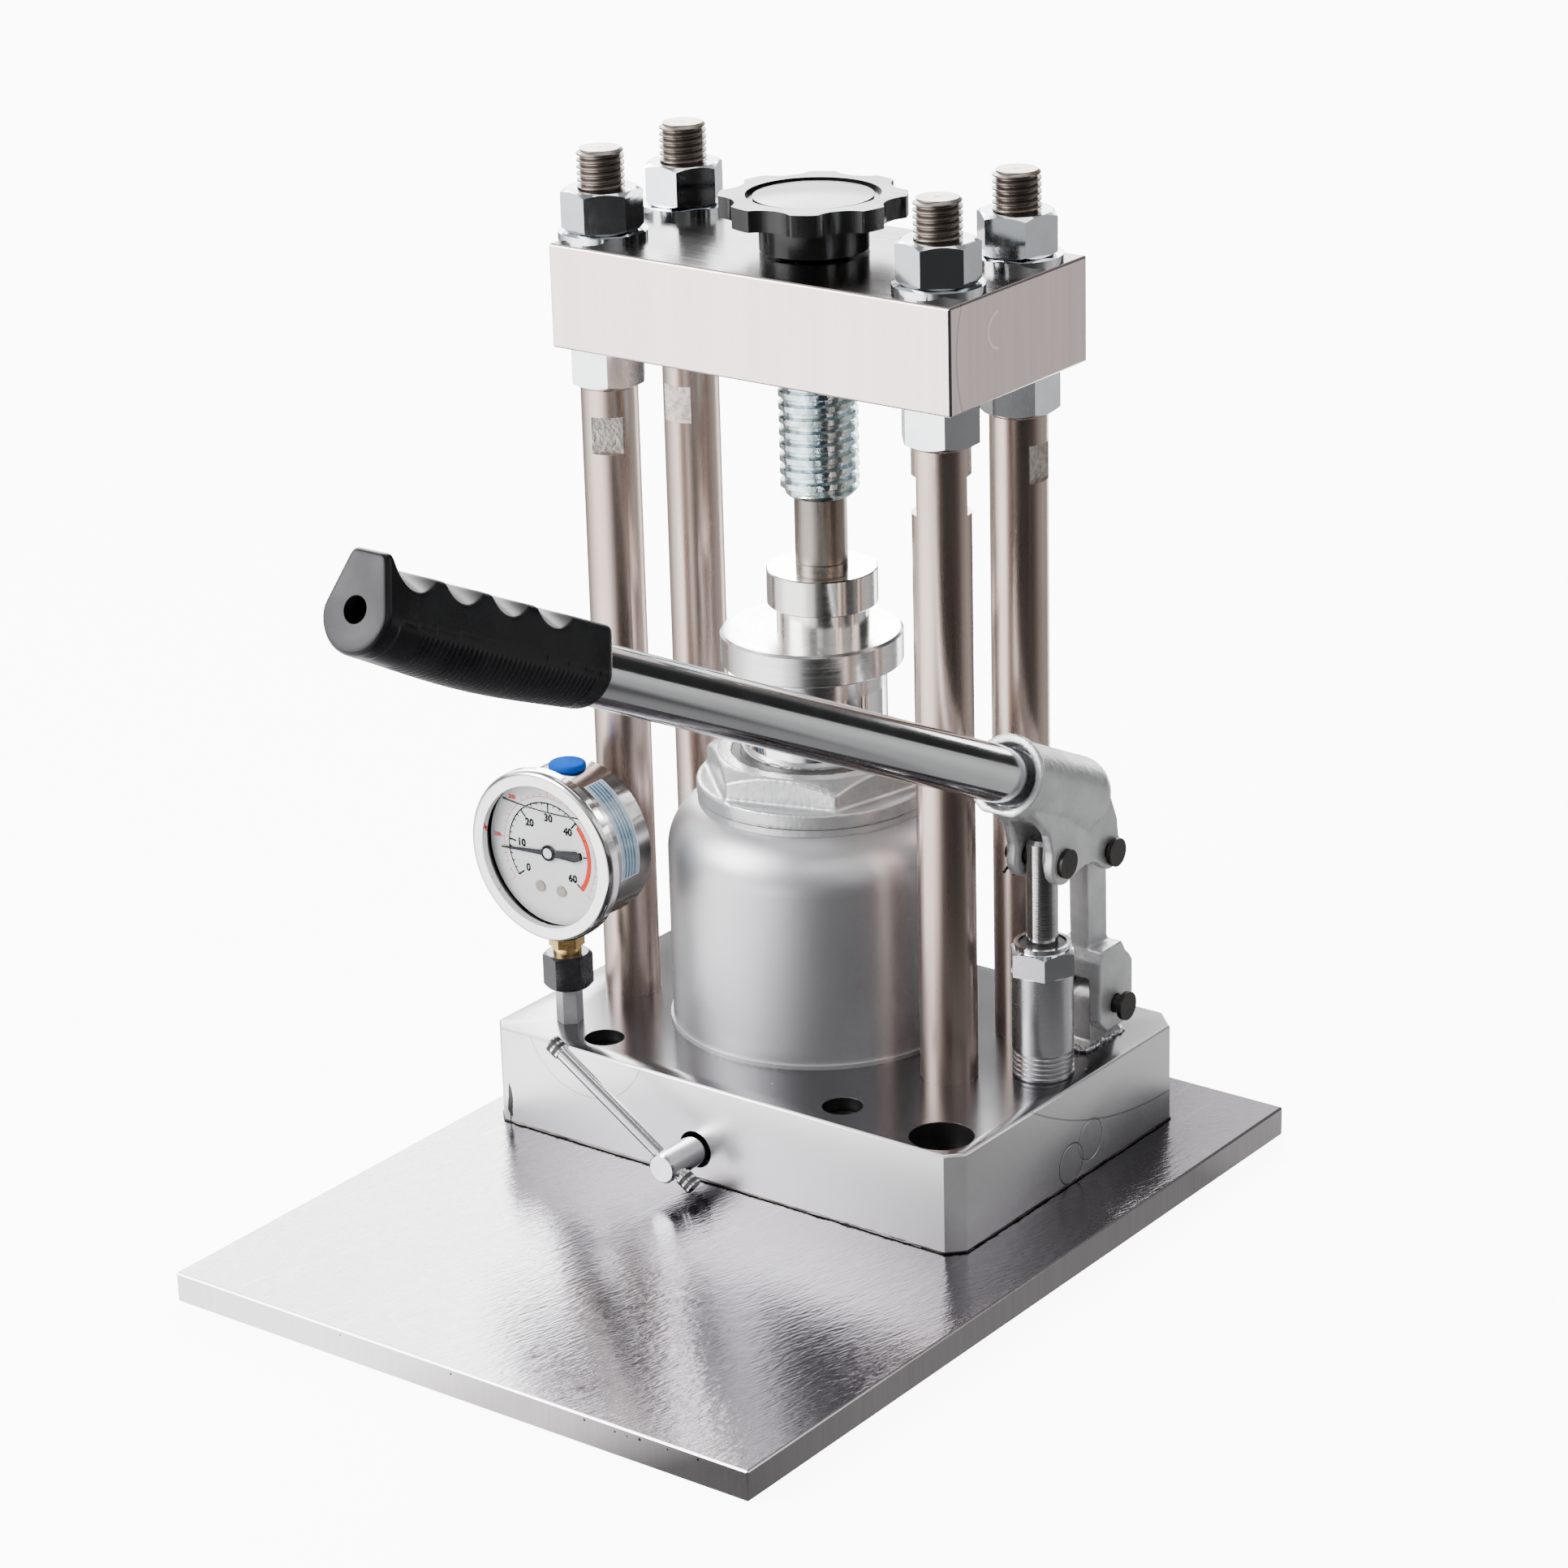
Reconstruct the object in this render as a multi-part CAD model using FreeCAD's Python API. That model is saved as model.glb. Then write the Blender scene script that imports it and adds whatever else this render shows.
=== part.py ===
"""Hydraulic tablet press: four-column frame, hand pump, ram, die, top screw and pressure gauge.

Units are millimetres. The origin lies on the underside of the base plate, midway between the
four columns. +X is to the right, towards the pump, +Y to the back and +Z up.
"""
import FreeCAD, Part
import math
import os

Vector = FreeCAD.Vector
UP = Vector(0, 0, 1)
RIGHT = Vector(1, 0, 0)
BACK = Vector(0, 1, 0)

# Clearances that the fits are made from
THREAD_GAP = 0.05
RUN_GAP = 0.04
SEAT_GAP = 0.1
BOLT_GAP = 0.5
SOFT_GAP = 0.3

# Base plate
BASE_LENGTH = 264.0
BASE_WIDTH = 348.0
BASE_THICK = 12.0
BASE_SHIFT_X = 21.0
BASE_SHIFT_Y = -81.0
BASE_EDGE = 0.6

# Pump block, which is also the oil manifold
BLOCK_LENGTH = 222.0
BLOCK_WIDTH = 154.0
BLOCK_HEIGHT = 40.0
BLOCK_SHIFT_X = 11.0
BLOCK_SHIFT_Y = -9.0
FRONT_CORNER = 6.0
BACK_CORNER = 9.0
BLOCK_EDGE = 0.8

# Columns and their nuts
COLUMN_DIA = 22.0
COLUMN_PITCH_X = 153.0
COLUMN_PITCH_Y = 50.0
COLUMN_FREE_LENGTH = 249.0
STUD_DIA = 18.0
STUD_LENGTH = 90.0
FOOT_DEPTH = 24.0
FLAT_ACROSS = 18.2
FLAT_HEIGHT = 14.5
FLAT_DROP = 11.5
CENTRE_HOLE_DIA = 3.2
COLUMN_BEVEL = 1.2
NUT_ACROSS = 27.0
NUT_HEIGHT = 16.0
WASHER_DIA = 34.0
WASHER_THICK = 3.0

# Crosshead on top of the columns
HEAD_LENGTH = 182.0
HEAD_WIDTH = 88.0
HEAD_HEIGHT = 40.0
HEAD_SHIFT_X = 3.3
HEAD_EDGE = 0.5

# Press screw and star knob
SCREW_DIA = 30.0
SCREW_PITCH = 5.0
SCREW_REACH = 53.4
SCREW_NOSE_DIA = 24.0
THREAD_DEPTH = 1.6
KNOB_DIA = 70.0
KNOB_RIM = 8.2
KNOB_LOBES = 8
KNOB_SCALLOP_RADIUS = 13.0
KNOB_SCALLOP_DEPTH = 4.4
KNOB_LOBE_ROUND = 1.2
KNOB_TURN = -14.5
HUB_DIA = 41.0
HUB_HEIGHT = 12.0
HUB_LIFT = 1.0
HUB_BORE_DIA = 20.0
KNOB_RECESS_DIA = 50.5
KNOB_RECESS_DEPTH = 1.8
CAP_DIA = 45.0
CAP_DOME = 1.4
GRUB_DIA = 5.0

# Punch and die
PUNCH_DIA = 20.0
PUNCH_ENTRY = 6.6
PUNCH_SPIGOT_DIA = 8.0
PUNCH_SPIGOT_LENGTH = 10.0
PUNCH_BEVEL = 0.8
PUNCH_LINE_HEIGHT = 2.6
DIE_RING_DIA = 42.4
DIE_RING_HEIGHT = 14.0
DIE_BASE_DIA = 35.5
DIE_BASE_HEIGHT = 10.5
DIE_SPIGOT_HEIGHT = 1.5

# Ram, cylinder and tank
RAM_X = -0.5
RAM_Y = -2.4
RAM_DIA = 57.0
RAM_HEAD_DIA = 70.0
RAM_HEAD_HEIGHT = 12.6
RAM_NECK_HEIGHT = 8.5
RAM_OUT = 27.0
RAM_DROP = 26.0
RAM_SPIGOT_DIA = 24.0
RAM_SPIGOT_HEIGHT = 12.0
PISTON_DIA = 64.0
PISTON_HEIGHT = 22.0
PISTON_FLOOR_GAP = 3.0
RAM_SEAL_HEIGHT = 7.0
RAM_GROOVE_RISE = 6.0
RAM_GROOVE_DEPTH = 5.0
CYLINDER_WALL = 9.0
TANK_DIA = 115.4
TANK_WALL = 3.0
TANK_SHOULDER = 22.0
TANK_HEIGHT = 92.0
TANK_SEAL_THICK = 0.5
TANK_BEAD_DIA = 117.4
TANK_BEAD_HEIGHT = 1.6
FLANGE_DIA = 91.6
FLANGE_HEIGHT = 6.4
GLAND_ACROSS = 77.0
GLAND_HEX_HEIGHT = 11.1
GLAND_TOP_DIA = 75.4
GLAND_TURN = 16.8
GLAND_SKIRT = 18.0
WIPER_WIDTH = 3.4
WIPER_HEIGHT = 5.0
WIPER_SINK = 0.8

# Hand pump
PUMP_X = 104.0
PUMP_Y = -2.4
PUMP_DIA = 23.5
PUMP_HEIGHT = 41.0
PUMP_DEPTH = 22.0
PUMP_NECK_DIA = 18.0
PUMP_NECK_HEIGHT = 7.5
PUMP_THREAD_LENGTH = 10.5
PUMP_THREAD_PITCH = 2.0
PUMP_THREAD_DEPTH = 0.9
PUMP_NUT_ACROSS = 23.0
PUMP_NUT_HEIGHT = 11.8
PUMP_NUT_HEX = 9.8
PUMP_NUT_COUNTERBORE = 18.4
PUMP_NUT_SINK = 1.8
PLUNGER_DIA = 12.0
PLUNGER_LENGTH = 86.0
PLUNGER_TIP = 8.0

# Lever, its pins and the link behind the pump
LEVER_ANGLE = 25.1
LEVER_PIN_HEIGHT = 138.4
PIN_DIA = 7.0
PIN_HEAD_DIA = 11.2
PIN_HEAD_THICK = 1.9
PIN_TAIL = 4.0
UPPER_PIN_STANDOUT = 1.2
COTTER_DIA = 1.8
FULCRUM_BACK = 31.5
FULCRUM_DROP = 5.6
EAR_GAP = 12.6
EAR_THICK = 4.1
EAR_NOSE_RADIUS = 8.6
EAR_TAIL_RADIUS = 7.2
BARREL_DIA = 29.0
BARREL_RIM_DIA = 31.6
BARREL_RIM_WIDTH = 2.6
BARREL_RISE = 26.2
BARREL_FRONT = 38.5
BARREL_BACK = 13.0
BARREL_DOME = 7.5
BARREL_SAG = 3.6
BARREL_MOUTH_DIA = 25.0
BARREL_MOUTH_DEPTH = 8.0
BARREL_BORE_DEPTH = 46.0
ARCH_RISE = 2.6
TUBE_DIA = 21.4
TUBE_WALL = 2.0
TUBE_LENGTH = 416.0
GRIP_START = 300.6
GRIP_LENGTH = 116.4
GRIP_WIDTH = 26.4
GRIP_ROUND = 4.0
GRIP_TOP = 16.0
GRIP_BOTTOM = 12.6
GRIP_BELLY = 15.0
GRIP_FLAT = 17.0
GRIP_COLLAR_TOP = 20.0
GRIP_COLLAR_FLAT = 14.0
GRIP_COLLAR_LENGTH = 5.2
GRIP_COLLAR_SLOPE = 6.3
GRIP_END_WALL = 4.0
GRIP_HOLE_DIA = 8.8
GRIP_HOLE_RISE = 1.4
FINGER_COUNT = 4
FINGER_PITCH = 23.2
FINGER_FIRST = 32.0
FINGER_RADIUS = 13.0
FINGER_DEPTH = 2.4
FINGER_TILT = 22.0
LINK_WIDTH = 8.4
LINK_DEPTH = 13.6
LINK_LENGTH = 63.4
LINK_LEAN = 2.9
LINK_EYE_RADIUS = 7.5
FORK_WIDTH = 21.6
FORK_SLOT = 10.8
FORK_DEPTH = 22.8
FORK_HEIGHT = 22.0
FORK_FOOT = 9.5
LOWER_PIN_STANDOUT = 3.6
LUG_THICK = 10.0
LUG_RADIUS = 9.5
LUG_FOOT_LENGTH = 26.0
LUG_FOOT_HEIGHT = 4.0
LUG_PLAY_BACK = 0.9
LUG_PLAY_FRONT = 3.2
LUG_PLAY_UP = 0.5

# Oil passages, balls and springs in the block
PASSAGE_DIA = 6.0
CHAMBER_DIA = 18.0
CHAMBER_DEPTH = 7.0
DELIVERY_Y = -10.5
DELIVERY_HEIGHT = 20.3
SUCTION_Y = 2.5
SUCTION_HEIGHT = 25.5
BALL_DIA = 7.0
BALL_BORE_GAP = 0.6
SPRING_DIA = 6.4
SPRING_LENGTH = 14.0
SPRING_WIRE = 0.9
SPRING_OVERLAP = 1.0
SPRING_TURNS = 6
COIL_SIDES = 8
PLUG_DIA = 16.0
PLUG_THICK = 5.0
DELIVERY_X = 66.0
SUCTION_X = 74.0
RELIEF_PASSAGE_DROP = 3.0

# Release valve and its sliding bar
VALVE_X = 0.6
VALVE_HEIGHT = 24.3
SPINDLE_DIA = 12.0
SPINDLE_OUT = 21.0
SPINDLE_IN = 40.0
SPINDLE_BEVEL = 0.8
VALVE_MOUTH_DIA = 15.0
VALVE_MOUTH_DEPTH = 8.0
VALVE_PACKING_LENGTH = 3.0
BAR_DIA = 5.5
BAR_SETBACK = 6.0
BAR_LONG_ARM = 67.0
BAR_SHORT_ARM = 12.8
BAR_ANGLE = 32.9
BAR_CAP_DIA = 6.9
BAR_CAP_LENGTH = 6.0
BAR_RING_DEPTH = 0.7
BAR_RING_WIDTH = 1.7
BAR_RING_PITCH = 2.6
BAR_RING_INSET = 0.7

# Relief valve in the front right corner of the block
RELIEF_X = 105.8
RELIEF_Y = -72.4
RELIEF_DIA = 24.5
RELIEF_SINK = 10.0
RELIEF_SCREW_HEIGHT = 8.0
RELIEF_SOCKET = 12.0

# Screws that hold the block to the base plate
BLOCK_SCREW_X = 57.0
BLOCK_SCREW_CENTRE_X = 3.0
BLOCK_SCREW_FRONT_Y = -71.3
BLOCK_SCREW_BACK_Y = 53.0
BLOCK_SCREW_DIA = 8.0
BLOCK_SCREW_HEAD_DIA = 13.0
BLOCK_SCREW_HEAD_HEIGHT = 8.0
BLOCK_SCREW_LENGTH = 36.0
BLOCK_SCREW_SOCKET = 6.0
BLOCK_SCREW_SOCKET_DEPTH = 4.5
COUNTERBORE_DIA = 15.6
COUNTERBORE_DEPTH = 13.0

# Gauge
GAUGE_X = -76.2
GAUGE_STEM_Y = -65.0
GAUGE_FRONT = 14.0
GAUGE_DEPTH = 29.0
GAUGE_CASE_DIA = 63.0
GAUGE_CASE_WALL = 1.2
BEZEL_RIM = 3.2
BEZEL_COVER = 2.75
BEZEL_LIP = 3.0
BEZEL_SKIRT = 5.5
LENS_THICK = 1.6
DIAL_SINK = 6.4
DIAL_THICK = 0.6
DIAL_MARGIN = 0.8
POINTER_LENGTH = 23.4
POINTER_TAIL = 16.0
POINTER_THICK = 0.6
POINTER_HUB_DIA = 6.4
POINTER_SHAFT_DIA = 2.0
POINTER_LEAN = 5.0
DIAL_SCREW_DIA = 4.6
DIAL_SCREW_PITCH = 10.4
DIAL_SCREW_DROP = 15.0
MOVEMENT_SIZE = 16.0
MOVEMENT_DEPTH = 9.0
BOURDON_RADIUS = 21.0
BOURDON_WIDTH = 8.0
BOURDON_THICK = 3.0
BOURDON_SWEEP = 250.0
STEM_BLOCK = 10.0
STEM_HEX_ACROSS = 12.2
STEM_HEX_HEIGHT = 5.9
STEM_RISE = 3.0
STEM_COLLAR_HEIGHT = 4.0
STEM_THREAD_DIA = 10.0
COUPLING_ACROSS = 17.0
COUPLING_HEIGHT = 14.0
ADAPTER_ACROSS = 9.2
ADAPTER_THREAD_DIA = 8.0
ADAPTER_HEIGHT = 15.0
ADAPTER_DEPTH = 8.0
FILLER_DIA = 14.6
FILLER_HEIGHT = 1.8
FILLER_BACK = 5.0
FILLER_STUB_DIA = 8.4

# Heights worked out from the sizes above
BLOCK_TOP = BASE_THICK + BLOCK_HEIGHT
SHOULDER = BLOCK_TOP + COLUMN_FREE_LENGTH
HEAD_BOTTOM = SHOULDER + NUT_HEIGHT
HEAD_TOP = HEAD_BOTTOM + HEAD_HEIGHT
COLUMN_TOP = SHOULDER + STUD_LENGTH
HUB_BOTTOM = HEAD_TOP + HUB_LIFT
KNOB_BOTTOM = HUB_BOTTOM + HUB_HEIGHT
KNOB_TOP = KNOB_BOTTOM + KNOB_RIM
SCREW_TIP = HEAD_BOTTOM - SCREW_REACH
PUNCH_TOP = SCREW_TIP - SEAT_GAP
TANK_TOP = BLOCK_TOP + TANK_HEIGHT
FLANGE_BOTTOM = TANK_TOP + TANK_SEAL_THICK
FLANGE_TOP = FLANGE_BOTTOM + FLANGE_HEIGHT
GLAND_TOP = FLANGE_TOP + GLAND_HEX_HEIGHT
RAM_TOP = GLAND_TOP + RAM_OUT
NECK_TOP = RAM_TOP + RAM_NECK_HEIGHT
TABLE = NECK_TOP + RAM_HEAD_HEIGHT
DIE_SEAM = TABLE + DIE_BASE_HEIGHT
DIE_TOP = DIE_SEAM + DIE_RING_HEIGHT
PUNCH_BOTTOM = DIE_TOP - PUNCH_ENTRY
RAM_BOTTOM = BLOCK_TOP + PISTON_FLOOR_GAP + RAM_DROP
BLOCK_FRONT = BLOCK_SHIFT_Y - BLOCK_WIDTH / 2
BLOCK_RIGHT = BLOCK_SHIFT_X + BLOCK_LENGTH / 2
PUMP_TOP = BLOCK_TOP + PUMP_HEIGHT
FULCRUM_Y = PUMP_Y + FULCRUM_BACK
FULCRUM_HEIGHT = LEVER_PIN_HEIGHT - FULCRUM_DROP
LINK_PIN_Y = FULCRUM_Y + LINK_LEAN
LINK_PIN_HEIGHT = FULCRUM_HEIGHT - LINK_LENGTH
EAR_OUTER = EAR_GAP / 2 + EAR_THICK
BAR_Y = BLOCK_FRONT - SPINDLE_OUT + BAR_SETBACK
DIAL_FACE_Y = GAUGE_STEM_Y - GAUGE_FRONT + DIAL_SINK
BEZEL_DIA = GAUGE_CASE_DIA + 2 * BEZEL_RIM
BEZEL_WINDOW_DIA = GAUGE_CASE_DIA - 2 * BEZEL_COVER
DIAL_DIA = GAUGE_CASE_DIA - 2 * GAUGE_CASE_WALL - 2 * DIAL_MARGIN
COUPLING_BASE = BLOCK_TOP + ADAPTER_HEIGHT
STEM_HEX_BASE = COUPLING_BASE + COUPLING_HEIGHT + STEM_RISE
STEM_HEX_TOP = STEM_HEX_BASE + STEM_HEX_HEIGHT
GAUGE_HEIGHT = STEM_HEX_TOP + SOFT_GAP + BEZEL_DIA / 2

# The four columns: name, side in X, side in Y and the way the wrench flats face
COLUMNS = {
    "front_left": (-1, -1, -59.0),
    "front_right": (1, -1, 37.0),
    "back_left": (-1, 1, -88.0),
    "back_right": (1, 1, -1.0),
}


def rod(diameter, bottom, top, x=0.0, y=0.0):
    """Upright solid cylinder."""
    return Part.makeCylinder(diameter / 2, top - bottom, Vector(x, y, bottom))


def pipe(outer, inner, bottom, top, x=0.0, y=0.0):
    """Upright ring."""
    return rod(outer, bottom, top, x, y).cut(rod(inner, bottom - 1, top + 1, x, y))


def rod_along(axis, diameter, start, length):
    """Solid cylinder from start along an axis."""
    return Part.makeCylinder(diameter / 2, length, start, axis)


def box(x0, x1, y0, y1, z0, z1):
    """Box between two corners."""
    return Part.makeBox(x1 - x0, y1 - y0, z1 - z0, Vector(x0, y0, z0))


def turned(profile, x=0.0, y=0.0):
    """Solid of revolution about an upright axis from (radius, height) points."""
    points = [Vector(r, 0, z) for r, z in profile]
    face = Part.Face(Part.makePolygon(points + [points[0]]))
    solid = face.revolve(Vector(0, 0, 0), UP, 360)
    solid.translate(Vector(x, y, 0))
    return solid


def hexagon(across, bottom, top, x=0.0, y=0.0, turn=0.0):
    """Upright hexagonal prism; turn is the way one corner points, in degrees from +X."""
    corner = across / math.sqrt(3)
    angles = [math.radians(turn + 60 * i) for i in range(6)]
    points = [Vector(x + corner * math.cos(a), y + corner * math.sin(a), bottom) for a in angles]
    return Part.Face(Part.makePolygon(points + [points[0]])).extrude(Vector(0, 0, top - bottom))


def chamfered_hexagon(across, bottom, top, x, y, turn, both_ends=True):
    """Hexagon with the corners turned off at 30 degrees, as on a nut."""
    corner = across / math.sqrt(3)
    inner = across * 0.485
    drop = (corner - inner) * math.tan(math.radians(30))
    profile = [(0, bottom), (corner, bottom), (corner, top - drop), (inner, top), (0, top)]
    if both_ends:
        profile = [(0, bottom), (inner, bottom), (corner, bottom + drop)] + profile[2:]
    return hexagon(across, bottom, top, x, y, turn).common(turned(profile, x, y))


def extruded(points, x0, x1):
    """Plate from (y, z) points, from x0 to x1."""
    corners = [Vector(x0, y, z) for y, z in points]
    return Part.Face(Part.makePolygon(corners + [corners[0]])).extrude(Vector(x1 - x0, 0, 0))


def wire_coil(diameter, wire, turns, length, start, axis):
    """Open spring of short straight runs with its first turn at start."""
    r = (diameter - wire) / 2
    rise = length - wire
    steps = turns * COIL_SIDES
    points = []
    for i in range(steps + 1):
        angle = 2 * math.pi * i / COIL_SIDES
        points.append(Vector(r * math.cos(angle), r * math.sin(angle), wire / 2 + rise * i / steps))
    section = Part.Wire(Part.makeCircle(wire / 2, points[0], points[1] - points[0]))
    coil = Part.makePolygon(points).makePipeShell([section], True, False, 1)
    turn = FreeCAD.Rotation(UP, axis)
    coil.Placement = FreeCAD.Placement(start, turn).multiply(coil.Placement)
    return coil


def column_place(side_x, side_y):
    """Axis of one column."""
    return side_x * COLUMN_PITCH_X / 2, side_y * COLUMN_PITCH_Y / 2


def block_screw_places():
    """Axes of the four screws through the block."""
    left = BLOCK_SCREW_CENTRE_X - BLOCK_SCREW_X
    right = BLOCK_SCREW_CENTRE_X + BLOCK_SCREW_X
    return [(x, y) for x in (left, right) for y in (BLOCK_SCREW_FRONT_Y, BLOCK_SCREW_BACK_Y)]


# Frame

def base_plate():
    """Flat plate with the four tapped holes for the block screws."""
    x0 = BASE_SHIFT_X - BASE_LENGTH / 2
    y0 = BASE_SHIFT_Y - BASE_WIDTH / 2
    plate = box(x0, x0 + BASE_LENGTH, y0, y0 + BASE_WIDTH, 0, BASE_THICK)
    plate = plate.makeChamfer(BASE_EDGE, plate.Edges)
    for x, y in block_screw_places():
        plate = plate.cut(rod(BLOCK_SCREW_DIA + 2 * THREAD_GAP, -1, BASE_THICK + 1, x, y))
    return plate


def block_blank():
    """Block outline with its cut corners."""
    x0 = BLOCK_SHIFT_X - BLOCK_LENGTH / 2
    x1 = BLOCK_SHIFT_X + BLOCK_LENGTH / 2
    y0 = BLOCK_FRONT
    y1 = BLOCK_FRONT + BLOCK_WIDTH
    f = FRONT_CORNER
    b = BACK_CORNER
    outline = [(x0 + f, y0), (x1 - f, y0), (x1, y0 + f), (x1, y1 - b), (x1 - b, y1), (x0 + b, y1),
               (x0, y1 - b), (x0, y0 + f)]
    points = [Vector(x, y, BASE_THICK) for x, y in outline]
    blank = Part.Face(Part.makePolygon(points + [points[0]])).extrude(Vector(0, 0, BLOCK_HEIGHT))
    top_edges = [e for e in blank.Edges if e.BoundBox.ZMin > BLOCK_TOP - 0.01]
    return blank.makeChamfer(BLOCK_EDGE, top_edges)


def pump_block():
    """Block with its column sockets, screw holes, valve bores and oil passages."""
    block = block_blank()
    holes = []
    for side_x, side_y, _ in COLUMNS.values():
        x, y = column_place(side_x, side_y)
        holes.append(rod(STUD_DIA + 2 * THREAD_GAP, BLOCK_TOP - FOOT_DEPTH - 2, BLOCK_TOP + 1, x, y))
    for x, y in block_screw_places():
        holes.append(rod(COUNTERBORE_DIA, BLOCK_TOP - COUNTERBORE_DEPTH, BLOCK_TOP + 1, x, y))
        holes.append(rod(BLOCK_SCREW_DIA + 2 * BOLT_GAP, BASE_THICK - 1, BLOCK_TOP, x, y))
    bore = BALL_DIA + BALL_BORE_GAP
    # pump well, its chamber and the delivery and suction passages
    well_floor = BLOCK_TOP - PUMP_DEPTH
    chamber_floor = well_floor - CHAMBER_DEPTH
    holes.append(rod(PUMP_DIA + 2 * THREAD_GAP, well_floor, BLOCK_TOP + 1, PUMP_X, PUMP_Y))
    holes.append(rod(CHAMBER_DIA, chamber_floor, well_floor + 1, PUMP_X, PUMP_Y))
    feed = Vector(RAM_X, DELIVERY_Y, DELIVERY_HEIGHT)
    holes.append(rod_along(RIGHT, PASSAGE_DIA, feed, BLOCK_RIGHT - RAM_X - 1))
    delivery = Vector(DELIVERY_X - BALL_DIA / 2 - SPRING_LENGTH, DELIVERY_Y, DELIVERY_HEIGHT)
    holes.append(rod_along(RIGHT, bore, delivery, SPRING_LENGTH + BALL_DIA))
    tank_middle = (TANK_DIA / 2 - TANK_WALL + PISTON_DIA / 2 + CYLINDER_WALL) / 2
    intake = Vector(RAM_X + tank_middle, SUCTION_Y, SUCTION_HEIGHT)
    holes.append(rod_along(RIGHT, PASSAGE_DIA, intake, BLOCK_RIGHT - intake.x - 1))
    holes.append(rod(PASSAGE_DIA, SUCTION_HEIGHT, BLOCK_TOP + 1, intake.x, SUCTION_Y))
    suction = Vector(SUCTION_X - BALL_DIA / 2, SUCTION_Y, SUCTION_HEIGHT)
    holes.append(rod_along(RIGHT, bore, suction, SPRING_LENGTH + BALL_DIA))
    for y, z in plug_places():
        start = Vector(BLOCK_RIGHT - PLUG_THICK, y, z)
        holes.append(rod_along(RIGHT, PLUG_DIA, start, PLUG_THICK + 1))
    # feed under the ram and return from the tank
    holes.append(rod(PASSAGE_DIA, DELIVERY_HEIGHT, BLOCK_TOP + 1, RAM_X, DELIVERY_Y))
    holes.append(rod(PASSAGE_DIA, VALVE_HEIGHT, BLOCK_TOP + 1, VALVE_X, RAM_Y - tank_middle))
    # release valve, from the front face to the feed
    mouth = Vector(VALVE_X, BLOCK_FRONT - 1, VALVE_HEIGHT)
    holes.append(rod_along(BACK, VALVE_MOUTH_DIA, mouth, VALVE_MOUTH_DEPTH + 1))
    holes.append(rod_along(BACK, SPINDLE_DIA + 2 * RUN_GAP, mouth, SPINDLE_IN + BALL_DIA + 1))
    holes.append(rod_along(BACK, PASSAGE_DIA, mouth, DELIVERY_Y - BLOCK_FRONT + 1))
    # relief valve in the corner and its passage to the delivery passage
    relief_floor = BLOCK_TOP - RELIEF_SINK - RELIEF_SCREW_HEIGHT
    spring_floor = relief_floor - SPRING_LENGTH
    passage_height = spring_floor - RELIEF_PASSAGE_DROP
    holes.append(rod(RELIEF_DIA, relief_floor, BLOCK_TOP + 1, RELIEF_X, RELIEF_Y))
    holes.append(rod(bore, spring_floor, relief_floor + 1, RELIEF_X, RELIEF_Y))
    holes.append(rod(PASSAGE_DIA / 2, passage_height, spring_floor + 1, RELIEF_X, RELIEF_Y))
    relief_way = Vector(RELIEF_X, RELIEF_Y, passage_height)
    holes.append(rod_along(BACK, PASSAGE_DIA / 2, relief_way, DELIVERY_Y - RELIEF_Y))
    # gauge port and its drilling to the feed
    port_floor = BLOCK_TOP - ADAPTER_DEPTH - 1
    holes.append(rod(ADAPTER_THREAD_DIA + 2 * THREAD_GAP, port_floor, BLOCK_TOP + 1, GAUGE_X, GAUGE_STEM_Y))
    holes.append(rod(PASSAGE_DIA / 2, VALVE_HEIGHT, BLOCK_TOP, GAUGE_X, GAUGE_STEM_Y))
    port = Vector(GAUGE_X, GAUGE_STEM_Y, VALVE_HEIGHT)
    way = Vector(RAM_X, DELIVERY_Y, VALVE_HEIGHT) - port
    holes.append(rod_along(way, PASSAGE_DIA / 2, port, way.Length))
    for hole in holes:
        block = block.cut(hole)
    return block


def block_screws():
    """Four socket-head screws, sunk in the block."""
    top = BLOCK_TOP - COUNTERBORE_DEPTH + BLOCK_SCREW_HEAD_HEIGHT
    seat = top - BLOCK_SCREW_HEAD_HEIGHT
    screws = []
    for x, y in block_screw_places():
        screw = rod(BLOCK_SCREW_HEAD_DIA, seat, top, x, y)
        screw = screw.fuse(rod(BLOCK_SCREW_DIA, seat - BLOCK_SCREW_LENGTH, seat, x, y))
        socket = hexagon(BLOCK_SCREW_SOCKET, top - BLOCK_SCREW_SOCKET_DEPTH, top + 1, x, y, 10)
        screws.append(screw.cut(socket).removeSplitter())
    return Part.makeCompound(screws)


def plug_places():
    """Centres of the two plugs on the right face, as (y, z)."""
    return ((SUCTION_Y, SUCTION_HEIGHT), (DELIVERY_Y, DELIVERY_HEIGHT))


def passage_plugs():
    """Flush plugs over the drilled passages; the first one cuts into the second."""
    plugs = []
    for y, z in plug_places():
        start = Vector(BLOCK_RIGHT - PLUG_THICK, y, z)
        plugs.append(rod_along(RIGHT, PLUG_DIA, start, PLUG_THICK))
    return Part.makeCompound([plugs[0], plugs[1].cut(plugs[0])])


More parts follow.
